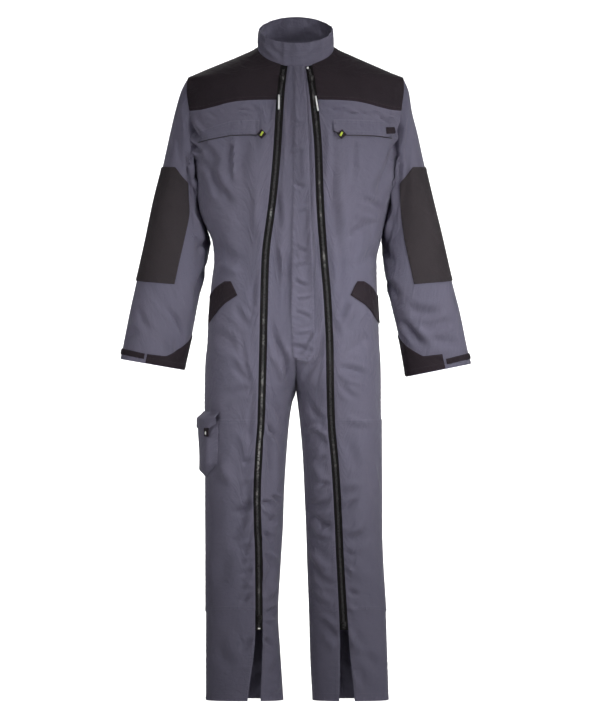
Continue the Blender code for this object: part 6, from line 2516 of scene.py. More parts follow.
@dataclass
class Collar:
    """Stand collar: one band round the neck whose left end laps over its right at the throat."""

    cut: Cut = Cut(0.635, 0.062, 0.035)
    side_z: float = 0.0630
    tilt: float = 0.0335
    rim_half_width: float = 0.0850
    rim_taper: float = 0.94
    swell: float = 0.0022
    stand: float = 0.0009
    start: float = -19.0
    end: float = 373.0
    lap: float = 0.0030
    lap_fade: tuple[float, float] = (18.0, 48.0)
    allowance_sink: float = 0.0016
    allowance_rises: tuple[float, float] = (-0.14, -0.05)
    sink_rise: float = 0.04
    front_share: float = 0.9
    rim_wave: float = 0.0011
    rim_turn: float = 0.31
    rim_start: float = 1.2
    band_wave: float = 0.0009
    band_turn: float = 0.117
    band_rise: float = 2.2
    run_per_degree: float = 0.0015
    height: float = 0.055
    creases: tuple[Crease, ...] = in_mm(Crease,
        (12, 10, 60, 44, 4, 4.5, -1.1),
        (30, 6, 76, 30, 3, 5, 1),
        (70, 10, 100, 48, -4, 6, -1),
        (-4, 40, 40, 50, 3, 4, 0.8),
        (470, 44, 520, 14, 4, 5, -1.1),
        (440, 30, 500, 8, -3, 5, 0.9),
        (520, 46, 545, 20, 2, 4, -0.8),
        (200, 12, 260, 40, 4, 7, -1),
        (320, 40, 390, 14, 4, 7, -1),
    )

    def build(self) -> None:
        """Build the band with its rows of stitching."""
        rises = np.concatenate([self.allowance_rises, spaced(0, 1, 12)])
        panel = Panel("collar", grid_over(rises, spaced(self.start, self.end, 160)), self.place, *GREY_CLOTH,
                      thickness=COLLAR_CLOTH, step=0.004, pucker=0.0005)
        Sewn(panel, self.cut, [Row(Edge.TOP, RIM_STITCH), Row(Edge.BOTTOM),
                               Row(Edge.LEFT, LAP_STITCH)]).build().finish()

    def place(self, spots: Array, lift: Array) -> Array:
        """Points of the band by rise (0 at the neck seam, 1 at the rim) and angle in degrees.

        Args:
            spots: rises and angles.
            lift: height over the band.

        Returns:
            A point for every spot.
        """
        rise = spots[..., 0]
        degrees = spots[..., 1]
        angle = np.radians(degrees)
        from_front = np.abs(np.arctan2(np.sin(angle), np.cos(angle)))
        in_front = np.cos(angle) >= 0
        base = np.zeros((*rise.shape, 3))
        for side in Side:
            here = (np.sin(angle) >= 0) == (side is Side.LEFT)
            for front_side in (True, False):
                where = here & (in_front == front_side)
                if where.any():
                    turn = from_front[where] if front_side else math.pi - from_front[where]
                    places = BODIES[side].neckline(turn, front_side)
                    base[where] = BODIES[side].at(places[:, 0], places[:, 1], np.zeros(len(places)))
        base[..., 2] += self.stand
        rim = np.stack([np.sin(angle) * self.rim_half_width, base[..., 1] * self.rim_taper,
                        self.side_z - self.tilt * np.cos(angle)], axis=-1)
        sink = self.allowance_sink * ease(-rise, 0.0, self.sink_rise)
        lapped = self.lap * (1 - ease(degrees, *self.lap_fade))
        out = self.swell * np.sin(math.pi * rise) + lapped + lift - sink
        forward = -np.cos(angle) * self.front_share
        outward = unit(np.stack([np.sin(angle), forward, np.zeros_like(angle)], axis=-1))
        soft = self.rim_wave * np.sin(degrees * self.rim_turn + self.rim_start) * rise
        soft += self.band_wave * np.sin(degrees * self.band_turn + rise * self.band_rise)
        run = degrees * self.run_per_degree
        height = rise * self.height
        for crease in self.creases:
            start = (crease.x0, crease.z0)
            soft = soft + bowed_height(run, height, start, (crease.x1, crease.z1), crease)
        return mix(base, rim, rise[..., None]) + outward * (out + soft)[..., None]


# ------------------------------------------------------------------------------- pockets

class FlapRow(NamedTuple):
    """Top and bottom of a chest flap at a distance from the centre plane."""

    x: float
    top: float
    bottom: float


class TabPlace(NamedTuple):
    """Middle, size and turn of a small rectangle on the front."""

    x: float
    z: float
    width: float
    height: float
    turn: float

    def turned(self, right: Array, up: Array) -> Array:
        """Spots x, z at distances along the rectangle's own two directions from its middle.

        Args:
            right: distances to the right.
            up: distances upwards.

        Returns:
            Spots x, z.
        """
        angle = math.radians(self.turn)
        return np.stack([self.x + right * math.cos(angle) - up * math.sin(angle),
                         self.z + right * math.sin(angle) + up * math.cos(angle)], axis=-1)


@dataclass
class ChestPockets:
    """Chest flaps with their corner tabs, and the blank label on the left one."""

    flap_cut: Cut = Cut(0.160, 0.038, 0.0053)
    tab_cut: Cut = Cut(0.018, 0.018)
    label_cut: Cut = Cut(0.028, 0.016)
    top_lift: float = LAY_GAP + CLOTH + 0.0004
    bottom_lift: float = LAY_GAP + CLOTH + 0.0026
    flap_wave: float = 0.0012
    wave_turns: float = 17.0
    tab_cloth: float = 0.0016
    label_cloth: float = 0.0008
    label_gap: float = 0.0010
    flaps: dict[Side, tuple[FlapRow, ...]] = field(default_factory=lambda: {
        Side.RIGHT: in_mm(FlapRow,
            (85, -151, -185),
            (117, -151.5, -185),
            (150, -153, -185.5),
            (188, -164, -192.5),
            (224, -176, -200),
        ),
        Side.LEFT: in_mm(FlapRow,
            (87, -150, -176),
            (110, -150, -185.5),
            (150, -150.5, -185.5),
            (188, -152, -187),
            (222, -155, -191),
        ),
    })
    tabs: dict[Side, TabPlace] = field(default_factory=lambda: {
        Side.RIGHT: TabPlace(-0.0790, -0.1850, 0.016, 0.016, 45.0),
        Side.LEFT: TabPlace(0.1050, -0.1850, 0.016, 0.016, 40.0),
    })
    label: TabPlace = TabPlace(0.2150, -0.1740, 0.0190, 0.0150, 4.0)
    bars: dict[Side, TabPlace] = field(default_factory=lambda: {
        Side.RIGHT: TabPlace(-0.0786, -0.1846, 0.0042, 0.0105, -32.0),
        Side.LEFT: TabPlace(0.1040, -0.1846, 0.0042, 0.0100, -28.0),
    })

    # drop below the flap's edge and lift of the mouth cord, which also paints the flap's shadow
    mouth_drop: float = 0.0012
    mouth_lift: float = 0.0010

    def build(self) -> None:
        """Build flaps, black mouth cords that also paint the shadow under the flaps, tabs, lime bars and the
        blank label.
        """
        for side in Side:
            self._build_flap(side)
            self._build_tab(side)
            self._build_mouth(side)
        lift = self.bottom_lift + self.label_cloth + self.label_gap
        panel = Panel("flap_label", self._rectangle(self.label), across_front, *BLACK_CLOTH,
                      thickness=self.label_cloth, lift=lift, step=0.003, pucker=0.0, roll=0.4)
        Sewn(panel, self.label_cut, [Row(edge, LABEL_STITCH) for edge in Edge]).build().finish()

    def _build_flap(self, side: Side) -> None:
        """One flap, standing a little further out at its lower edge.

        Args:
            side: the wearer's side.
        """
        fine = np.linspace(0, 1, 49)
        x, top, bottom = evenly(self.flaps[side], len(fine))
        t = np.linspace(0, 1, 13)[:, None]
        wave = self.flap_wave * np.sin(fine * self.wave_turns + side.value) * t ** 2
        lift = mix(self.top_lift, self.bottom_lift, t) + wave
        grid = np.stack([np.broadcast_to(side.value * x, lift.shape), mix(top, bottom, t), lift], axis=-1)
        panel = Panel(f"chest_flap_{side.word}", grid, across_front, *GREY_CLOTH, step=0.0035,
                      pucker=0.0009)
        Sewn(panel, self.flap_cut, [Row(Edge.TOP, WIDE_TWIN), Row(Edge.BOTTOM, FLAP_TWIN),
                                    Row(Edge.LEFT), Row(Edge.RIGHT)]).build().finish()

    def _build_mouth(self, side: Side) -> None:
        """Black cord along the pocket's mouth just below the flap's lower edge: the mouth's dark binding, and
        painted shadow under the flap's edge.

        Args:
            side: the wearer's side.
        """
        # dark beads where the flap's edge casts its shadow: painted shadow as well as the mouth's binding
        cord = Thread(length=0.0054, width=0.0025, height=0.0018, pitch=0.0026)
        cord.sew_free([(side.value * row.x, row.bottom - self.mouth_drop) for row in self.flaps[side]],
                      self.mouth_lift)
        cord.build(f"pocket_mouth_{side.word}", Finish.BLACK_THREAD, "panel_cloth")

    def _build_tab(self, side: Side) -> None:
        """Turned black square over the flap's end, with a raised lime bar.

        Args:
            side: the wearer's side.
        """
        lift = self.bottom_lift + self.tab_cloth + self.label_gap
        panel = Panel(f"flap_tab_{side.word}", self._rectangle(self.tabs[side]), across_front, *BLACK_CLOTH,
                      thickness=self.tab_cloth, lift=lift, step=0.003, pucker=0.0, roll=0.5)
        sewn = Sewn(panel, self.tab_cut, [Row(edge, SMALL_STITCH) for edge in Edge]).build()
        bar = raised_bar(f"lime_bar_{side.word}", self.bars[side], lift, Finish.LIME)
        sewn.trims.append(bar)
        sewn.finish()

    def _rectangle(self, place: TabPlace) -> Array:
        """Spots x, z of a turned rectangle on the front."""
        shares = grid_over(spaced(-0.5, 0.5, 6), spaced(-0.5, 0.5, 6))
        return place.turned(shares[..., 1] * place.width, shares[..., 0] * place.height)


BAR_DEPTH = 0.0009
BAR_EDGE = 0.0003


def raised_bar(name: str, place: TabPlace, lift: float, finish: Finish) -> bpy.types.Object:
    """Small rounded bar standing on the front's cloth.

    Args:
        name: the bar's name.
        place: its middle, size and turn.
        lift: height of the cloth under it over the front.
        finish: its finish.

    Returns:
        The bar.
    """
    clear_selection()
    bpy.ops.mesh.primitive_cube_add(size=1.0)
    bar = bpy.context.object
    bar.name = name
    with editing():
        bpy.ops.transform.resize(value=(place.width, BAR_DEPTH, place.height), center_override=(0, 0, 0))
        bpy.ops.mesh.subdivide(number_cuts=3)
    edge = bar.modifiers.new("edge", "BEVEL")
    edge.width = BAR_EDGE
    edge.segments = 2
    bpy.ops.object.modifier_apply(modifier=edge.name)
    right, back, up = corners_of(bar).T
    move_corners(bar, across_front(place.turned(right, up)[None], lift + BAR_EDGE - back[None])[0])
    bpy.ops.object.shade_smooth_by_angle(angle=TRIM_ANGLE)
    return dress(bar, finish)


class FacingRow(NamedTuple):
    """Upper and lower spot of a hip facing, at one of even shares of its width."""

    upper_x: float
    upper_z: float
    lower_x: float
    lower_z: float


@dataclass
class HipPockets:
    """Black facings of the slanted hip pockets, from the front round to the side seam."""

    cut: Cut = Cut(0.160, 0.068, 0.0070)
    lift: float = LAY_GAP + CLOTH + 0.0008
    left_shift: float = -0.010
    rows: tuple[FacingRow, ...] = in_mm(FacingRow,
        (150, -523.5, 135, -556),
        (164, -523.5, 151, -566.5),
        (177, -532, 166, -577.5),
        (187, -540, 180, -592.5),
        (198.5, -556, 202, -622),
    )

    def build(self) -> None:
        """Build both facings with a stitched lower edge."""
        upper_x, upper_z, lower_x, lower_z = evenly(self.rows, 41)
        t = np.linspace(0, 1, 17)[:, None]
        for side in Side:
            shift = self.left_shift if side is Side.LEFT else 0.0
            x = mix(upper_x, lower_x, t) + shift
            z = mix(upper_z, lower_z, t)
            grid = np.stack([np.minimum(BODIES[side].front_u(x, z), SIDE_LIMIT), z], axis=-1)
            panel = Panel(f"hip_facing_{side.word}", grid, on_front(side), *BLACK_CLOTH,
                          lift=self.lift, step=0.004, pucker=0.0003)
            rows = [Row(Edge.TOP, TWIN_STITCH), Row(Edge.BOTTOM), Row(Edge.LEFT)]
            Sewn(panel, self.cut, rows).build().finish()


@dataclass
class CargoPocket:
    """Bellows pocket round the right thigh's side seam, with its flap and pull tab."""

    pocket_cut: Cut = Cut(0.228, 0.135, 0.0277)
    flap_cut: Cut = Cut(0.244, 0.046, 0.0108)
    tab_cut: Cut = Cut(0.0185, 0.0215)
    u_span: tuple[float, float] = (1.44, 2.58)
    top_z: float = -0.846
    bottom_z: float = -0.976
    corner: float = 0.026
    depth: float = 0.0130
    edge_lift: float = 0.0038
    flap_top_z: float = -0.8250
    flap_drop: float = 0.0390
    side_drop: float = 0.72
    flap_wrap: float = 0.0060
    flap_gap: float = 0.0035
    overhang: float = 0.02
    corner_run: float = 0.30
    bellows_run: float = 0.16
    bottom_share: float = 1.3
    sag: float = 0.0014
    sag_turns: tuple[float, float] = (9.0, 5.0)
    flap_run: float = 0.10
    flap_rise: float = 0.45
    tab_cloth: float = 0.0016
    tab_gap: float = 0.0010
    tab_u: float = 1.56
    tab_z: float = -0.8720
    tab_span: tuple[float, float] = (0.090, 0.020)
    bead_z: float = -0.8740
    bead_radius: float = 0.0024
    bead_lift: float = 0.0006
    bead_shape: tuple[float, float, float] = (1.0, 0.6, 1.9)

    @property
    def flap_stand(self) -> float:
        """How far the flap stands off the leg beyond the pocket's edge."""
        return self.depth + self.flap_gap

    def place(self, spots: Array, lift: Array) -> Array:
        """Points round the right leg for spots u, z and an own height; they may cross the side seam."""
        return BODIES[Side.RIGHT].at(spots[..., 0], spots[..., 1], spots[..., 2] + lift)

    def build(self) -> None:
        """Build the pocket, its flap and its tab with a bead."""
        self._build_bag()
        self._build_flap()
        self._build_tab()

    def _build_bag(self) -> None:
        """Pocket with bellows edges."""
        up, share = np.meshgrid(np.linspace(0, 1, 41), np.linspace(0, 1, 61), indexing="ij")
        corner = self.corner * (1 - ease(np.minimum(share, 1 - share), 0.0, self.corner_run))
        z = mix(self.bottom_z + corner, self.top_z, up)
        edge = np.minimum(np.minimum(share, 1 - share), up * self.bottom_share)
        stand = self.edge_lift + self.depth * ease(edge, 0.0, self.bellows_run)
        sag = self.sag * np.sin(share * self.sag_turns[0]) * np.sin(up * self.sag_turns[1])
        grid = np.stack([mix(*self.u_span, share), z, stand + sag], axis=-1)
        panel = Panel("cargo_pocket", grid, self.place, *GREY_CLOTH, step=0.0035, pucker=0.0006)
        rows = [Row(side, BELLOWS_TWIN) for side in (Edge.LEFT, Edge.RIGHT, Edge.BOTTOM)]
        Sewn(panel, self.pocket_cut, rows).build().finish()

    def _build_flap(self) -> None:
        """Flap over the pocket's mouth, its lower corners cut off."""
        t, share = np.meshgrid(np.linspace(0, 1, 25), np.linspace(0, 1, 61), indexing="ij")
        edge = 1 - ease(np.minimum(share, 1 - share), 0.0, self.flap_run)
        drop = self.flap_drop * mix(1.0, self.side_drop, edge)
        lift = self.edge_lift + ease(t, 0.0, self.flap_rise) * self.flap_stand - edge * self.flap_wrap * t
        u = mix(self.u_span[0] - self.overhang, self.u_span[1] + self.overhang, share)
        grid = np.stack([u, self.flap_top_z - drop * t, lift], axis=-1)
        panel = Panel("cargo_flap", grid, self.place, *GREY_CLOTH, step=0.0035, pucker=0.0006)
        Sewn(panel, self.flap_cut, [Row(side, TWIN_STITCH) for side in Edge]).build().finish()

    def _build_tab(self) -> None:
        """Black pull tab on the flap, with a pale bead in its eye."""
        up, across = np.meshgrid(np.linspace(-0.5, 0.5, 9), np.linspace(-0.5, 0.5, 7), indexing="ij")
        lift = self.edge_lift + self.flap_stand + self.tab_cloth + self.tab_gap
        grid = np.stack([self.tab_u + across * self.tab_span[0], self.tab_z + up * self.tab_span[1],
                         np.full_like(up, lift)], axis=-1)
        panel = Panel("cargo_tab", grid, self.place, *BLACK_CLOTH, thickness=self.tab_cloth,
                      step=0.003, pucker=0.0, roll=0.5)
        sewn = Sewn(panel, self.tab_cut, [Row(edge, SMALL_STITCH) for edge in Edge]).build()
        spot = np.array([[[self.tab_u, self.bead_z, lift + self.bead_lift]]])
        bead = self.place(spot, np.zeros((1, 1)))[0, 0]
        clear_selection()
        bpy.ops.mesh.primitive_uv_sphere_add(segments=16, ring_count=8, radius=self.bead_radius,
                                             location=bead)
        eye = bpy.context.object
        eye.name = "cargo_tab_bead"
        settle(eye)
        with editing():
            bpy.ops.transform.resize(value=self.bead_shape, center_override=tuple(bead))
        bpy.ops.object.shade_smooth()
        sewn.trims.append(dress(eye, Finish.STEEL))
        sewn.finish()


# -------------------------------------------------------------------------- zips and pulls

@dataclass
class Zips:
    """Long zips: tape under the panels' edges, two rows of teeth, end stops."""

    cut: Cut = Cut(0.0275, 1.345, 0.034)
    under: float = 0.0030
    sink: float = 0.0014
    tape: float = 0.0010
    pitch: float = 0.0024
    top_margin: float = 0.012
    end_margin: float = 0.006
    tooth: tuple[float, float, float] = (0.0036, 0.0013, 0.0013)
    tooth_shift: float = 0.0011
    tooth_edge: float = 0.00030
    tooth_stand: float = 0.55
    end_stop: tuple[float, float] = (0.0052, 0.0026)
    end_stop_rise: float = 0.0040
    top_stop: TabPlace = TabPlace(0.0272, -0.0300, 0.0046, 0.0046, 0.0)

    def build(self) -> None:
        """Build both zips."""
        for side in Side:
            body = BODIES[side]
            heights = neck_levels()
            heights = heights[heights >= ZIP_END_Z]
            edges = [body.zip_edge(heights, out, self.under) for out in (-1, 1)]
            for line, out in zip(edges, (-1, 1)):
                x = float(body.zip_x(ZIP_TOP_Z, out, self.under))
                cosine = math.sqrt(1 - (x / NECK_HALF_WIDTH) ** 2)
                top = NECK_SIDE_Z + (NECK_FRONT_Z - NECK_SIDE_Z) * cosine - SEAM_GAP
                line[-1] = (float(body.front_u(x, top)), top)
            grid = filled(edges[0], edges[1], line_between(edges[0][0], edges[1][0], 12))
            panel = Panel(f"zip_{side.word}", grid, on_front(side), Finish.TAPE, "zip_tape",
                          thickness=self.tape, lift=-self.sink, step=0.0035, pucker=0.0, roll=0.0)
            sewn = Sewn(panel, self.cut).build()
            sewn.trims += [self._build_teeth(side), self._build_stop(side)]
            if side is Side.LEFT:
                stop = raised_bar("zip_top_stop", self.top_stop, CLOTH, Finish.WHITE)
                sewn.trims.append(stop)
            sewn.finish()

    def _chain(self, side: Side, offset: float, lift: float) -> tuple[Array, Array, Array]:
        """Places, downward directions and outward directions for one row of teeth.

        Args:
            side: the wearer's side.
            offset: share of the pitch before the first tooth.
            lift: height over the cloth.

        Returns:
            Places, downward directions and outward directions.
        """
        z = spaced(ZIP_TOP_Z - self.top_margin, ZIP_END_Z + self.end_margin, 900)
        spots = np.stack([zip_middle(side, z), z], axis=-1)
        return spaced_along(*line_over_front(spots, lift), self.pitch, offset)

    def _build_teeth(self, side: Side) -> bpy.types.Object:
        """Two interlocked rows of moulded teeth.

        Args:
            side: the wearer's side.

        Returns:
            The teeth as one object.
        """
        clear_selection()
        bpy.ops.mesh.primitive_cube_add(size=1.0)
        with editing():
            bpy.ops.transform.resize(value=self.tooth, center_override=(0, 0, 0))
            bpy.ops.mesh.bevel(offset=self.tooth_edge, segments=1, affect="EDGES")
        rows = []
        for offset, shift in ((0.5, -self.tooth_shift), (1.0, self.tooth_shift)):
            centres, running, facing = self._chain(side, offset, self.tooth[2] * self.tooth_stand - self.sink)
            across = np.cross(running, facing)
            rows.append((centres + across * shift, np.stack([across, running, facing], axis=1)))
        centres, axes = (np.concatenate(values) for values in zip(*rows))
        teeth = copies(f"zip_teeth_{side.word}", bpy.context.object, centres, axes)
        return dress(teeth, Finish.TEETH)

    def _build_stop(self, side: Side) -> bpy.types.Object:
        """Small bright stop at the lower end of the teeth.

        Args:
            side: the wearer's side.

        Returns:
            The stop.
        """
        z = ZIP_END_Z + self.end_stop_rise
        place = TabPlace(float(zip_middle(side, z)), z, *self.end_stop, 0.0)
        return raised_bar(f"zip_stop_{side.word}", place, 0.0, Finish.STEEL)


def hanging_axes(start: Array, end: Array) -> Array:
    """Sideways, backward and running directions of something that runs from start to end, as rows.

    Args:
        start: where it starts.
        end: where it ends.

    Returns:
        Three directions.
    """
    along = unit(end - start)
    side_way = unit(np.cross(along, np.array([0.0, 1.0, 0.0])))
    return np.stack([side_way, np.cross(along, side_way), along])


@dataclass
class Sliders:
    """Zip sliders with their bridges, and the top sliders' cord pulls."""

    width: float = 0.0100
    length: float = 0.0160
    height: float = 0.0040
    foot: float = 0.72
    rest: float = 0.0034
    top_z: float = -0.0560
    ankle_z: dict[Side, float] = field(default_factory=lambda: {Side.RIGHT: -1.3060, Side.LEFT: -1.3220})
    hinge_drop: float = 0.0060
    hinge_lift: float = 0.0090
    pull_lift: float = 0.0080
    frame_share: float = 0.75
    plates: tuple[tuple[float, float], ...] = ((0.00135, 0.0012), (-0.00135, 0.0010))
    plate_edge: float = 0.00035
    nose_radius: float = 0.0019
    nose_depth: float = 0.0030
    nose_share: float = 0.30
    bridge_radius: float = 0.0036
    bridge_wire: float = 0.00085
    bridge_place: tuple[float, float, float] = (0.0, 0.0004, 0.0018)
    cord_in_grip: float = 0.05
    cord_turns: float = 5.0
    strand: float = 0.00062
    strand_reach: float = 0.00052
    loop_reach: float = 0.0009
    loop_share: float = 0.08
    grip_neck: tuple[tuple[float, float], ...] = (
        (0.0, 0.0), (0.0013, 0.0), (0.0017, 0.0004), (0.0019, 0.0012), (0.0019, 0.0028), (0.0015, 0.0034),
        (0.0015, 0.0040), (0.0020, 0.0047))
    groove: tuple[tuple[float, float], ...] = (
        (0.0020, -0.0009), (0.00175, -0.0004), (0.00175, 0.0004), (0.0020, 0.0009))
    grip_end: tuple[tuple[float, float], ...] = (
        (0.0020, 0.0016), (0.0017, 0.0006), (0.0010, 0.0001), (0.0, 0.0))
    groove_span: tuple[float, float] = (0.30, 0.80)
    grooves: int = 5
    grips: dict[Side, tuple[float, float, float, float]] = field(default_factory=lambda: {
        Side.RIGHT: (-0.0395, -0.0950, -0.0398, -0.1285),
        Side.LEFT: (0.0455, -0.0980, 0.0510, -0.1320),
    })

    def build(self) -> None:
        """Build four sliders and two pulls."""
        for side in Side:
            self._build_slider(f"zip_slider_{side.word}", side, self.top_z)
            self._build_slider(f"ankle_slider_{side.word}", side, self.ankle_z[side])
            self._build_pull(side)

    def _frame(self, side: Side, z: float) -> tuple[Array, Array]:
        """Place on the zip, and its directions across, down and out, as rows.

        Args:
            side: the wearer's side.
            z: the height on the zip.

        Returns:
            The place and the three directions.
        """
        x = float(zip_middle(side, z))
        reach = self.length * self.frame_share
        spots = np.array([[(x, z), (x, z - reach), (x, z + reach)]])
        spot, low, high = across_front(spots, np.full((1, 3), self.rest))[0]
        down = unit(low - high)
        out = unit(np.cross(down, np.array([1.0, 0.0, 0.0])))
        out = -out if out[1] > 0 else out
        return spot, np.stack([np.cross(down, out), down, out])

    def _build_slider(self, name: str, side: Side, z: float) -> None:
        """Two plates joined at the nose, with an arched bridge on the upper one.

        Args:
            name: name of the solid that it stands for.
            side: the wearer's side.
            z: its height on the zip.
        """
        clear_selection()
        parts = []
        for height, depth in self.plates:
            bpy.ops.mesh.primitive_cube_add(size=1.0, location=(0, 0, height))
            plate = bpy.context.object
            plate.scale = (self.width, self.length, depth)
            settle(plate)
            with editing():
                bpy.ops.mesh.bevel(offset=self.plate_edge, segments=2, affect="EDGES")
            parts.append(plate)
        bpy.ops.mesh.primitive_cylinder_add(vertices=20, radius=self.nose_radius, depth=self.nose_depth,
                                            location=(0, -self.length * self.nose_share, 0))
        parts.append(bpy.context.object)
        bpy.ops.mesh.primitive_torus_add(major_segments=28, minor_segments=10, rotation=(0, HALF_TURN, 0),
                                         major_radius=self.bridge_radius, minor_radius=self.bridge_wire,
                                         location=self.bridge_place)
        parts.append(bpy.context.object)
        clear_selection()
        for part in parts:
            part.select_set(True)
        bpy.context.view_layer.objects.active = parts[0]
        bpy.ops.object.join()
        slider = bpy.context.object
        slider.name = f"{name}_body"
        settle(slider)
        corners = corners_of(slider)
        narrow = np.where(corners[:, 1] > 0, mix(1.0, self.foot, corners[:, 1] / (self.length / 2)), 1.0)
        corners[:, 0] *= narrow
        corners[:, 2] = np.maximum(corners[:, 2], -self.height / 2)
        spot, axes = self._frame(side, z)
        move_corners(slider, corners @ axes + spot)
        bpy.ops.object.shade_smooth_by_angle(angle=TRIM_ANGLE)
        dress(slider, Finish.METAL)
        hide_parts(name)

    def _build_pull(self, side: Side) -> None:
        """Doubled cord from the slider's bridge, and a moulded white grip at its end.

        Args:
            side: the wearer's side.
        """
        x = float(zip_middle(side, self.top_z))
        grip_x, grip_z, end_x, end_z = self.grips[side]
        spots = np.array([[(x, self.top_z - self.hinge_drop), (grip_x, grip_z), (end_x, end_z)]])
        lifts = np.array([[self.hinge_lift, self.pull_lift, self.pull_lift]])
        hinge, start, end = across_front(spots, lifts)[0]
        cord = self._cord(f"cord_strands_{side.word}", hinge, mix(start, end, self.cord_in_grip))
        grip = self._grip(f"moulded_grip_{side.word}", start, end)
        for thing, finish, node in ((cord, Finish.CORD, "pull_cord"), (grip, Finish.WHITE, "pull_grip")):
            dress(thing, finish, f"pull_{side.word}")
            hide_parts(f"{node}_{side.word}")

    def _cord(self, name: str, start: Array, end: Array) -> bpy.types.Object:
        """Two strands wound round each other from start to end.

        Args:
            name: the object's name.
            start: where it meets the bridge.
            end: where the strands enter the grip.

        Returns:
            The strands as one object.
        """
        side_way, back_way, _ = hanging_axes(start, end)
        curve = bpy.data.curves.new(name, "CURVE")
        curve.dimensions = "3D"
        curve.bevel_depth = self.strand
        curve.bevel_resolution = 2
        curve.use_fill_caps = True
        for turn in (0.0, math.pi):
            t = np.linspace(0, 1, 29)
            angle = t * self.cord_turns * math.pi + turn
            reach = self.strand_reach + self.loop_reach * np.exp(-t / self.loop_share)
            points = start + np.outer(t, end - start) + np.outer(reach * np.cos(angle), side_way)
            points -= np.outer(reach * np.sin(angle), back_way)
            strand = curve.splines.new("POLY")
            strand.points.add(len(points) - 1)
            strand.points.foreach_set("co", np.hstack([points, np.ones((len(points), 1))]).ravel())
        select_only(placed(name, curve))
        bpy.ops.object.convert(target="MESH")
        bpy.ops.object.shade_smooth()
        return bpy.context.object

    def _grip(self, name: str, start: Array, end: Array) -> bpy.types.Object:
        """Moulded grip spun from its profile: a collar, a long barrel with grooves and a round end.

        Args:
            name: the object's name.
            start: its upper end.
            end: its lower end.

        Returns:
            The grip.
        """
        length = float(np.linalg.norm(end - start))
        profile = list(self.grip_neck)
        for groove in np.linspace(*self.groove_span, self.grooves):
            profile += [(radius, groove * length + shift) for radius, shift in self.groove]
        profile += [(radius, length - shift) for radius, shift in self.grip_end]
        mesh = bpy.data.meshes.new(name)
        mesh.from_pydata([(radius, 0.0, along) for radius, along in profile],
                         [(i, i + 1) for i in range(len(profile) - 1)], [])
        thing = placed(name, mesh)
        select_only(thing)
        with editing():
            bpy.ops.mesh.spin(steps=20, angle=2 * math.pi, center=(0, 0, 0), axis=(0, 0, 1))
            bpy.ops.mesh.select_all(action="SELECT")
            bpy.ops.mesh.remove_doubles(threshold=MERGE)
            bpy.ops.mesh.normals_make_consistent(inside=False)
        move_corners(thing, corners_of(thing) @ hanging_axes(start, end) + start)
        bpy.ops.object.shade_smooth_by_angle(angle=math.radians(35))
        return thing


# ------------------------------------------------------------------------------------ studio

@dataclass
class Lamp:
    """One large soft lamp."""

    name: str
    place: tuple[float, float, float]
    target: tuple[float, float, float]
    size: float
    power: float
    spread: float = 180.0


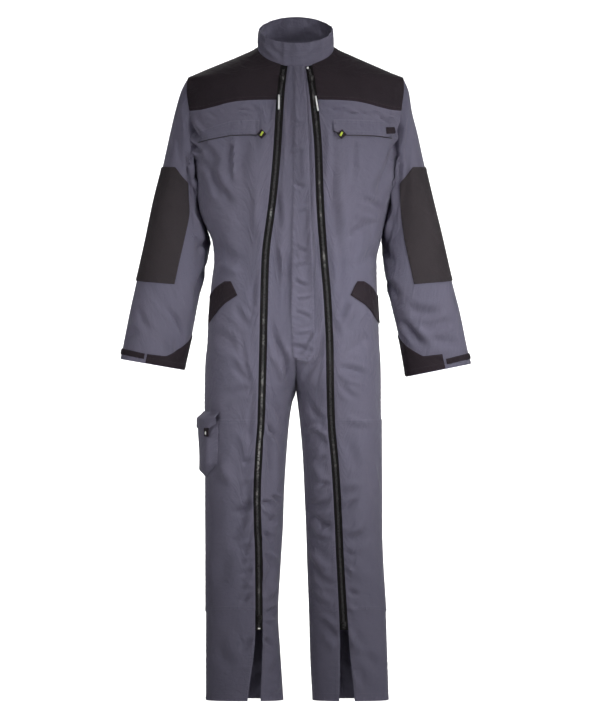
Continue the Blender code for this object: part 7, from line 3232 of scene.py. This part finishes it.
@dataclass
class Studio:
    """Pale floor that curves up into a backdrop, soft lamps and the camera."""

    floor_z: float = -1.75
    backdrop_y: float = 5.0
    half_width: float = 9.0
    near_y: float = -7.0
    curve: float = 1.4
    top_z: float = 5.0
    pale: Colour = (0.90, 0.90, 0.90)
    dimmed: float = 0.99
    world: float = 0.055
    camera_place: tuple[float, float, float] = (0.0093, -16.0, -0.706)
    field_height: float = 1.6776
    camera_reach: float = 60.0
    sensor_mm: float = 36.0
    lamps: tuple[Lamp, ...] = (
        Lamp("side_right", (1.8, -0.6, 0.4), (0.0, 0.0, -0.5), 0.7, 12.0),
        Lamp("side_left", (-1.8, -1.0, 0.2), (0.0, 0.0, -0.6), 0.8, 4.0),
        Lamp("key", (2.6, -2.0, 0.0), (0.0, 0.0, -0.7), 0.6, 12.0),
        Lamp("high", (0.3, -1.2, 1.5), (0.0, 0.0, -0.30), 0.35, 9.0),
        Lamp("fill", (-2.6, -3.2, -0.3), (0.0, 0.0, -0.7), 1.2, 8.0),
        Lamp("low_right", (1.6, -2.8, -1.3), (0.1, 0.0, -1.42), 0.6, 1.3, 50.0),
        Lamp("waist_right", (1.7, -2.4, -0.3), (0.0, 0.0, -0.60), 0.5, 1.7, 30.0),
        Lamp("waist_left", (-1.7, -2.4, -0.3), (0.0, 0.0, -0.60), 0.5, 0.9, 30.0),
        Lamp("behind", (-0.6, 2.6, 1.9), (0.0, 0.0, -0.60), 1.2, 30.0),
        Lamp("backdrop_right", (2.4, 2.6, -0.3), (0.4, 5.0, -0.7), 1.6, 62.0, 110.0),
        Lamp("backdrop_left", (-2.4, 2.6, -0.3), (-0.4, 5.0, -0.7), 1.6, 62.0, 110.0),
    )

    def build(self) -> None:
        """Build the room, the lamps and the camera."""
        self._build_floor()
        for lamp in self.lamps:
            self._build_lamp(lamp)
        self._build_world()
        self._build_camera()

    def _build_floor(self) -> None:
        """Floor and backdrop in one bent sheet."""
        clear_selection()
        bpy.ops.mesh.primitive_grid_add(x_subdivisions=2, y_subdivisions=40, size=2.0)
        floor = bpy.context.object
        floor.name = "studio_floor"
        corners = corners_of(floor)
        flat_run = self.backdrop_y - self.curve - self.near_y
        bend_run = self.curve * HALF_TURN
        rise_run = self.top_z - self.floor_z - self.curve
        run = (corners[:, 1] + 1) / 2 * (flat_run + bend_run + rise_run)
        turn = np.clip((run - flat_run) / self.curve, 0, HALF_TURN)
        beyond = np.maximum(run - flat_run - bend_run, 0)
        corners[:, 0] *= self.half_width
        corners[:, 1] = self.near_y + np.minimum(run, flat_run) + self.curve * np.sin(turn)
        corners[:, 2] = self.floor_z + self.curve * (1 - np.cos(turn)) + beyond
        move_corners(floor, corners)
        bpy.ops.object.shade_smooth()
        material, graph, shader = new_material("studio_pale")
        place = graph.add("TexCoord").outputs["Object"]
        dim = (*(self.dimmed * value for value in self.pale), 1.0)
        shade = graph.blend(graph.noise(place, scale=0.7, detail=2.0), (*self.pale, 1.0), dim)
        graph.fill(shader, Base_Color=shade, Roughness=0.9, Specular_IOR_Level=0.1)
        clear = graph.add("BsdfTransparent")
        behind = graph.add("NewGeometry").outputs["Backfacing"]
        one_sided = graph.add("MixShader", None, i0=behind, i1=shader.outputs[0], i2=clear.outputs[0])
        graph.fill(graph.tree.nodes["Material Output"], Surface=one_sided.outputs[0])
        floor.data.materials.append(material)

    def _build_lamp(self, lamp: Lamp) -> None:
        """One square area lamp turned to its target.

        Args:
            lamp: the lamp's place, target, size, power and spread.
        """
        light = bpy.data.lights.new(lamp.name, "AREA")
        light.shape = "SQUARE"
        light.size = lamp.size
        light.energy = lamp.power
        light.spread = math.radians(lamp.spread)
        thing = placed(lamp.name, light)
        thing.location = lamp.place
        look = thing.location.copy()
        look.x, look.y, look.z = (t - p for t, p in zip(lamp.target, lamp.place))
        thing.rotation_euler = look.to_track_quat("-Z", "Y").to_euler()

    def _build_world(self) -> None:
        """Even pale surroundings."""
        world = bpy.data.worlds.new("studio")
        world.use_nodes = True
        background = world.node_tree.nodes["Background"]
        background.inputs["Color"].default_value = (1.0, 1.0, 1.0, 1.0)
        background.inputs["Strength"].default_value = self.world
        bpy.context.scene.world = world
        bpy.context.scene.view_settings.view_transform = "Standard"

    def _build_camera(self) -> None:
        """Camera level with the suit's middle, square on to its front."""
        camera = bpy.data.cameras.new("camera")
        distance = -self.camera_place[1]
        camera.sensor_width = self.sensor_mm
        camera.sensor_fit = "AUTO"
        camera.lens = self.sensor_mm * distance / self.field_height
        camera.clip_end = self.camera_reach
        thing = placed("camera", camera)
        thing.location = self.camera_place
        thing.rotation_euler = (HALF_TURN, 0.0, 0.0)
        bpy.context.scene.camera = thing


def main() -> None:
    """Build every part of the suit and the studio, in order."""
    assemblies = (Yokes(), Fronts(), Backs(), Zips(), Sleeves(), Collar(), ChestPockets(), HipPockets(),
                  CargoPocket(), Sliders(), Studio())
    for assembly in assemblies:
        assembly.build()
        LOG.info("built %s", type(assembly).__name__)


if __name__ == "__main__":
    main()
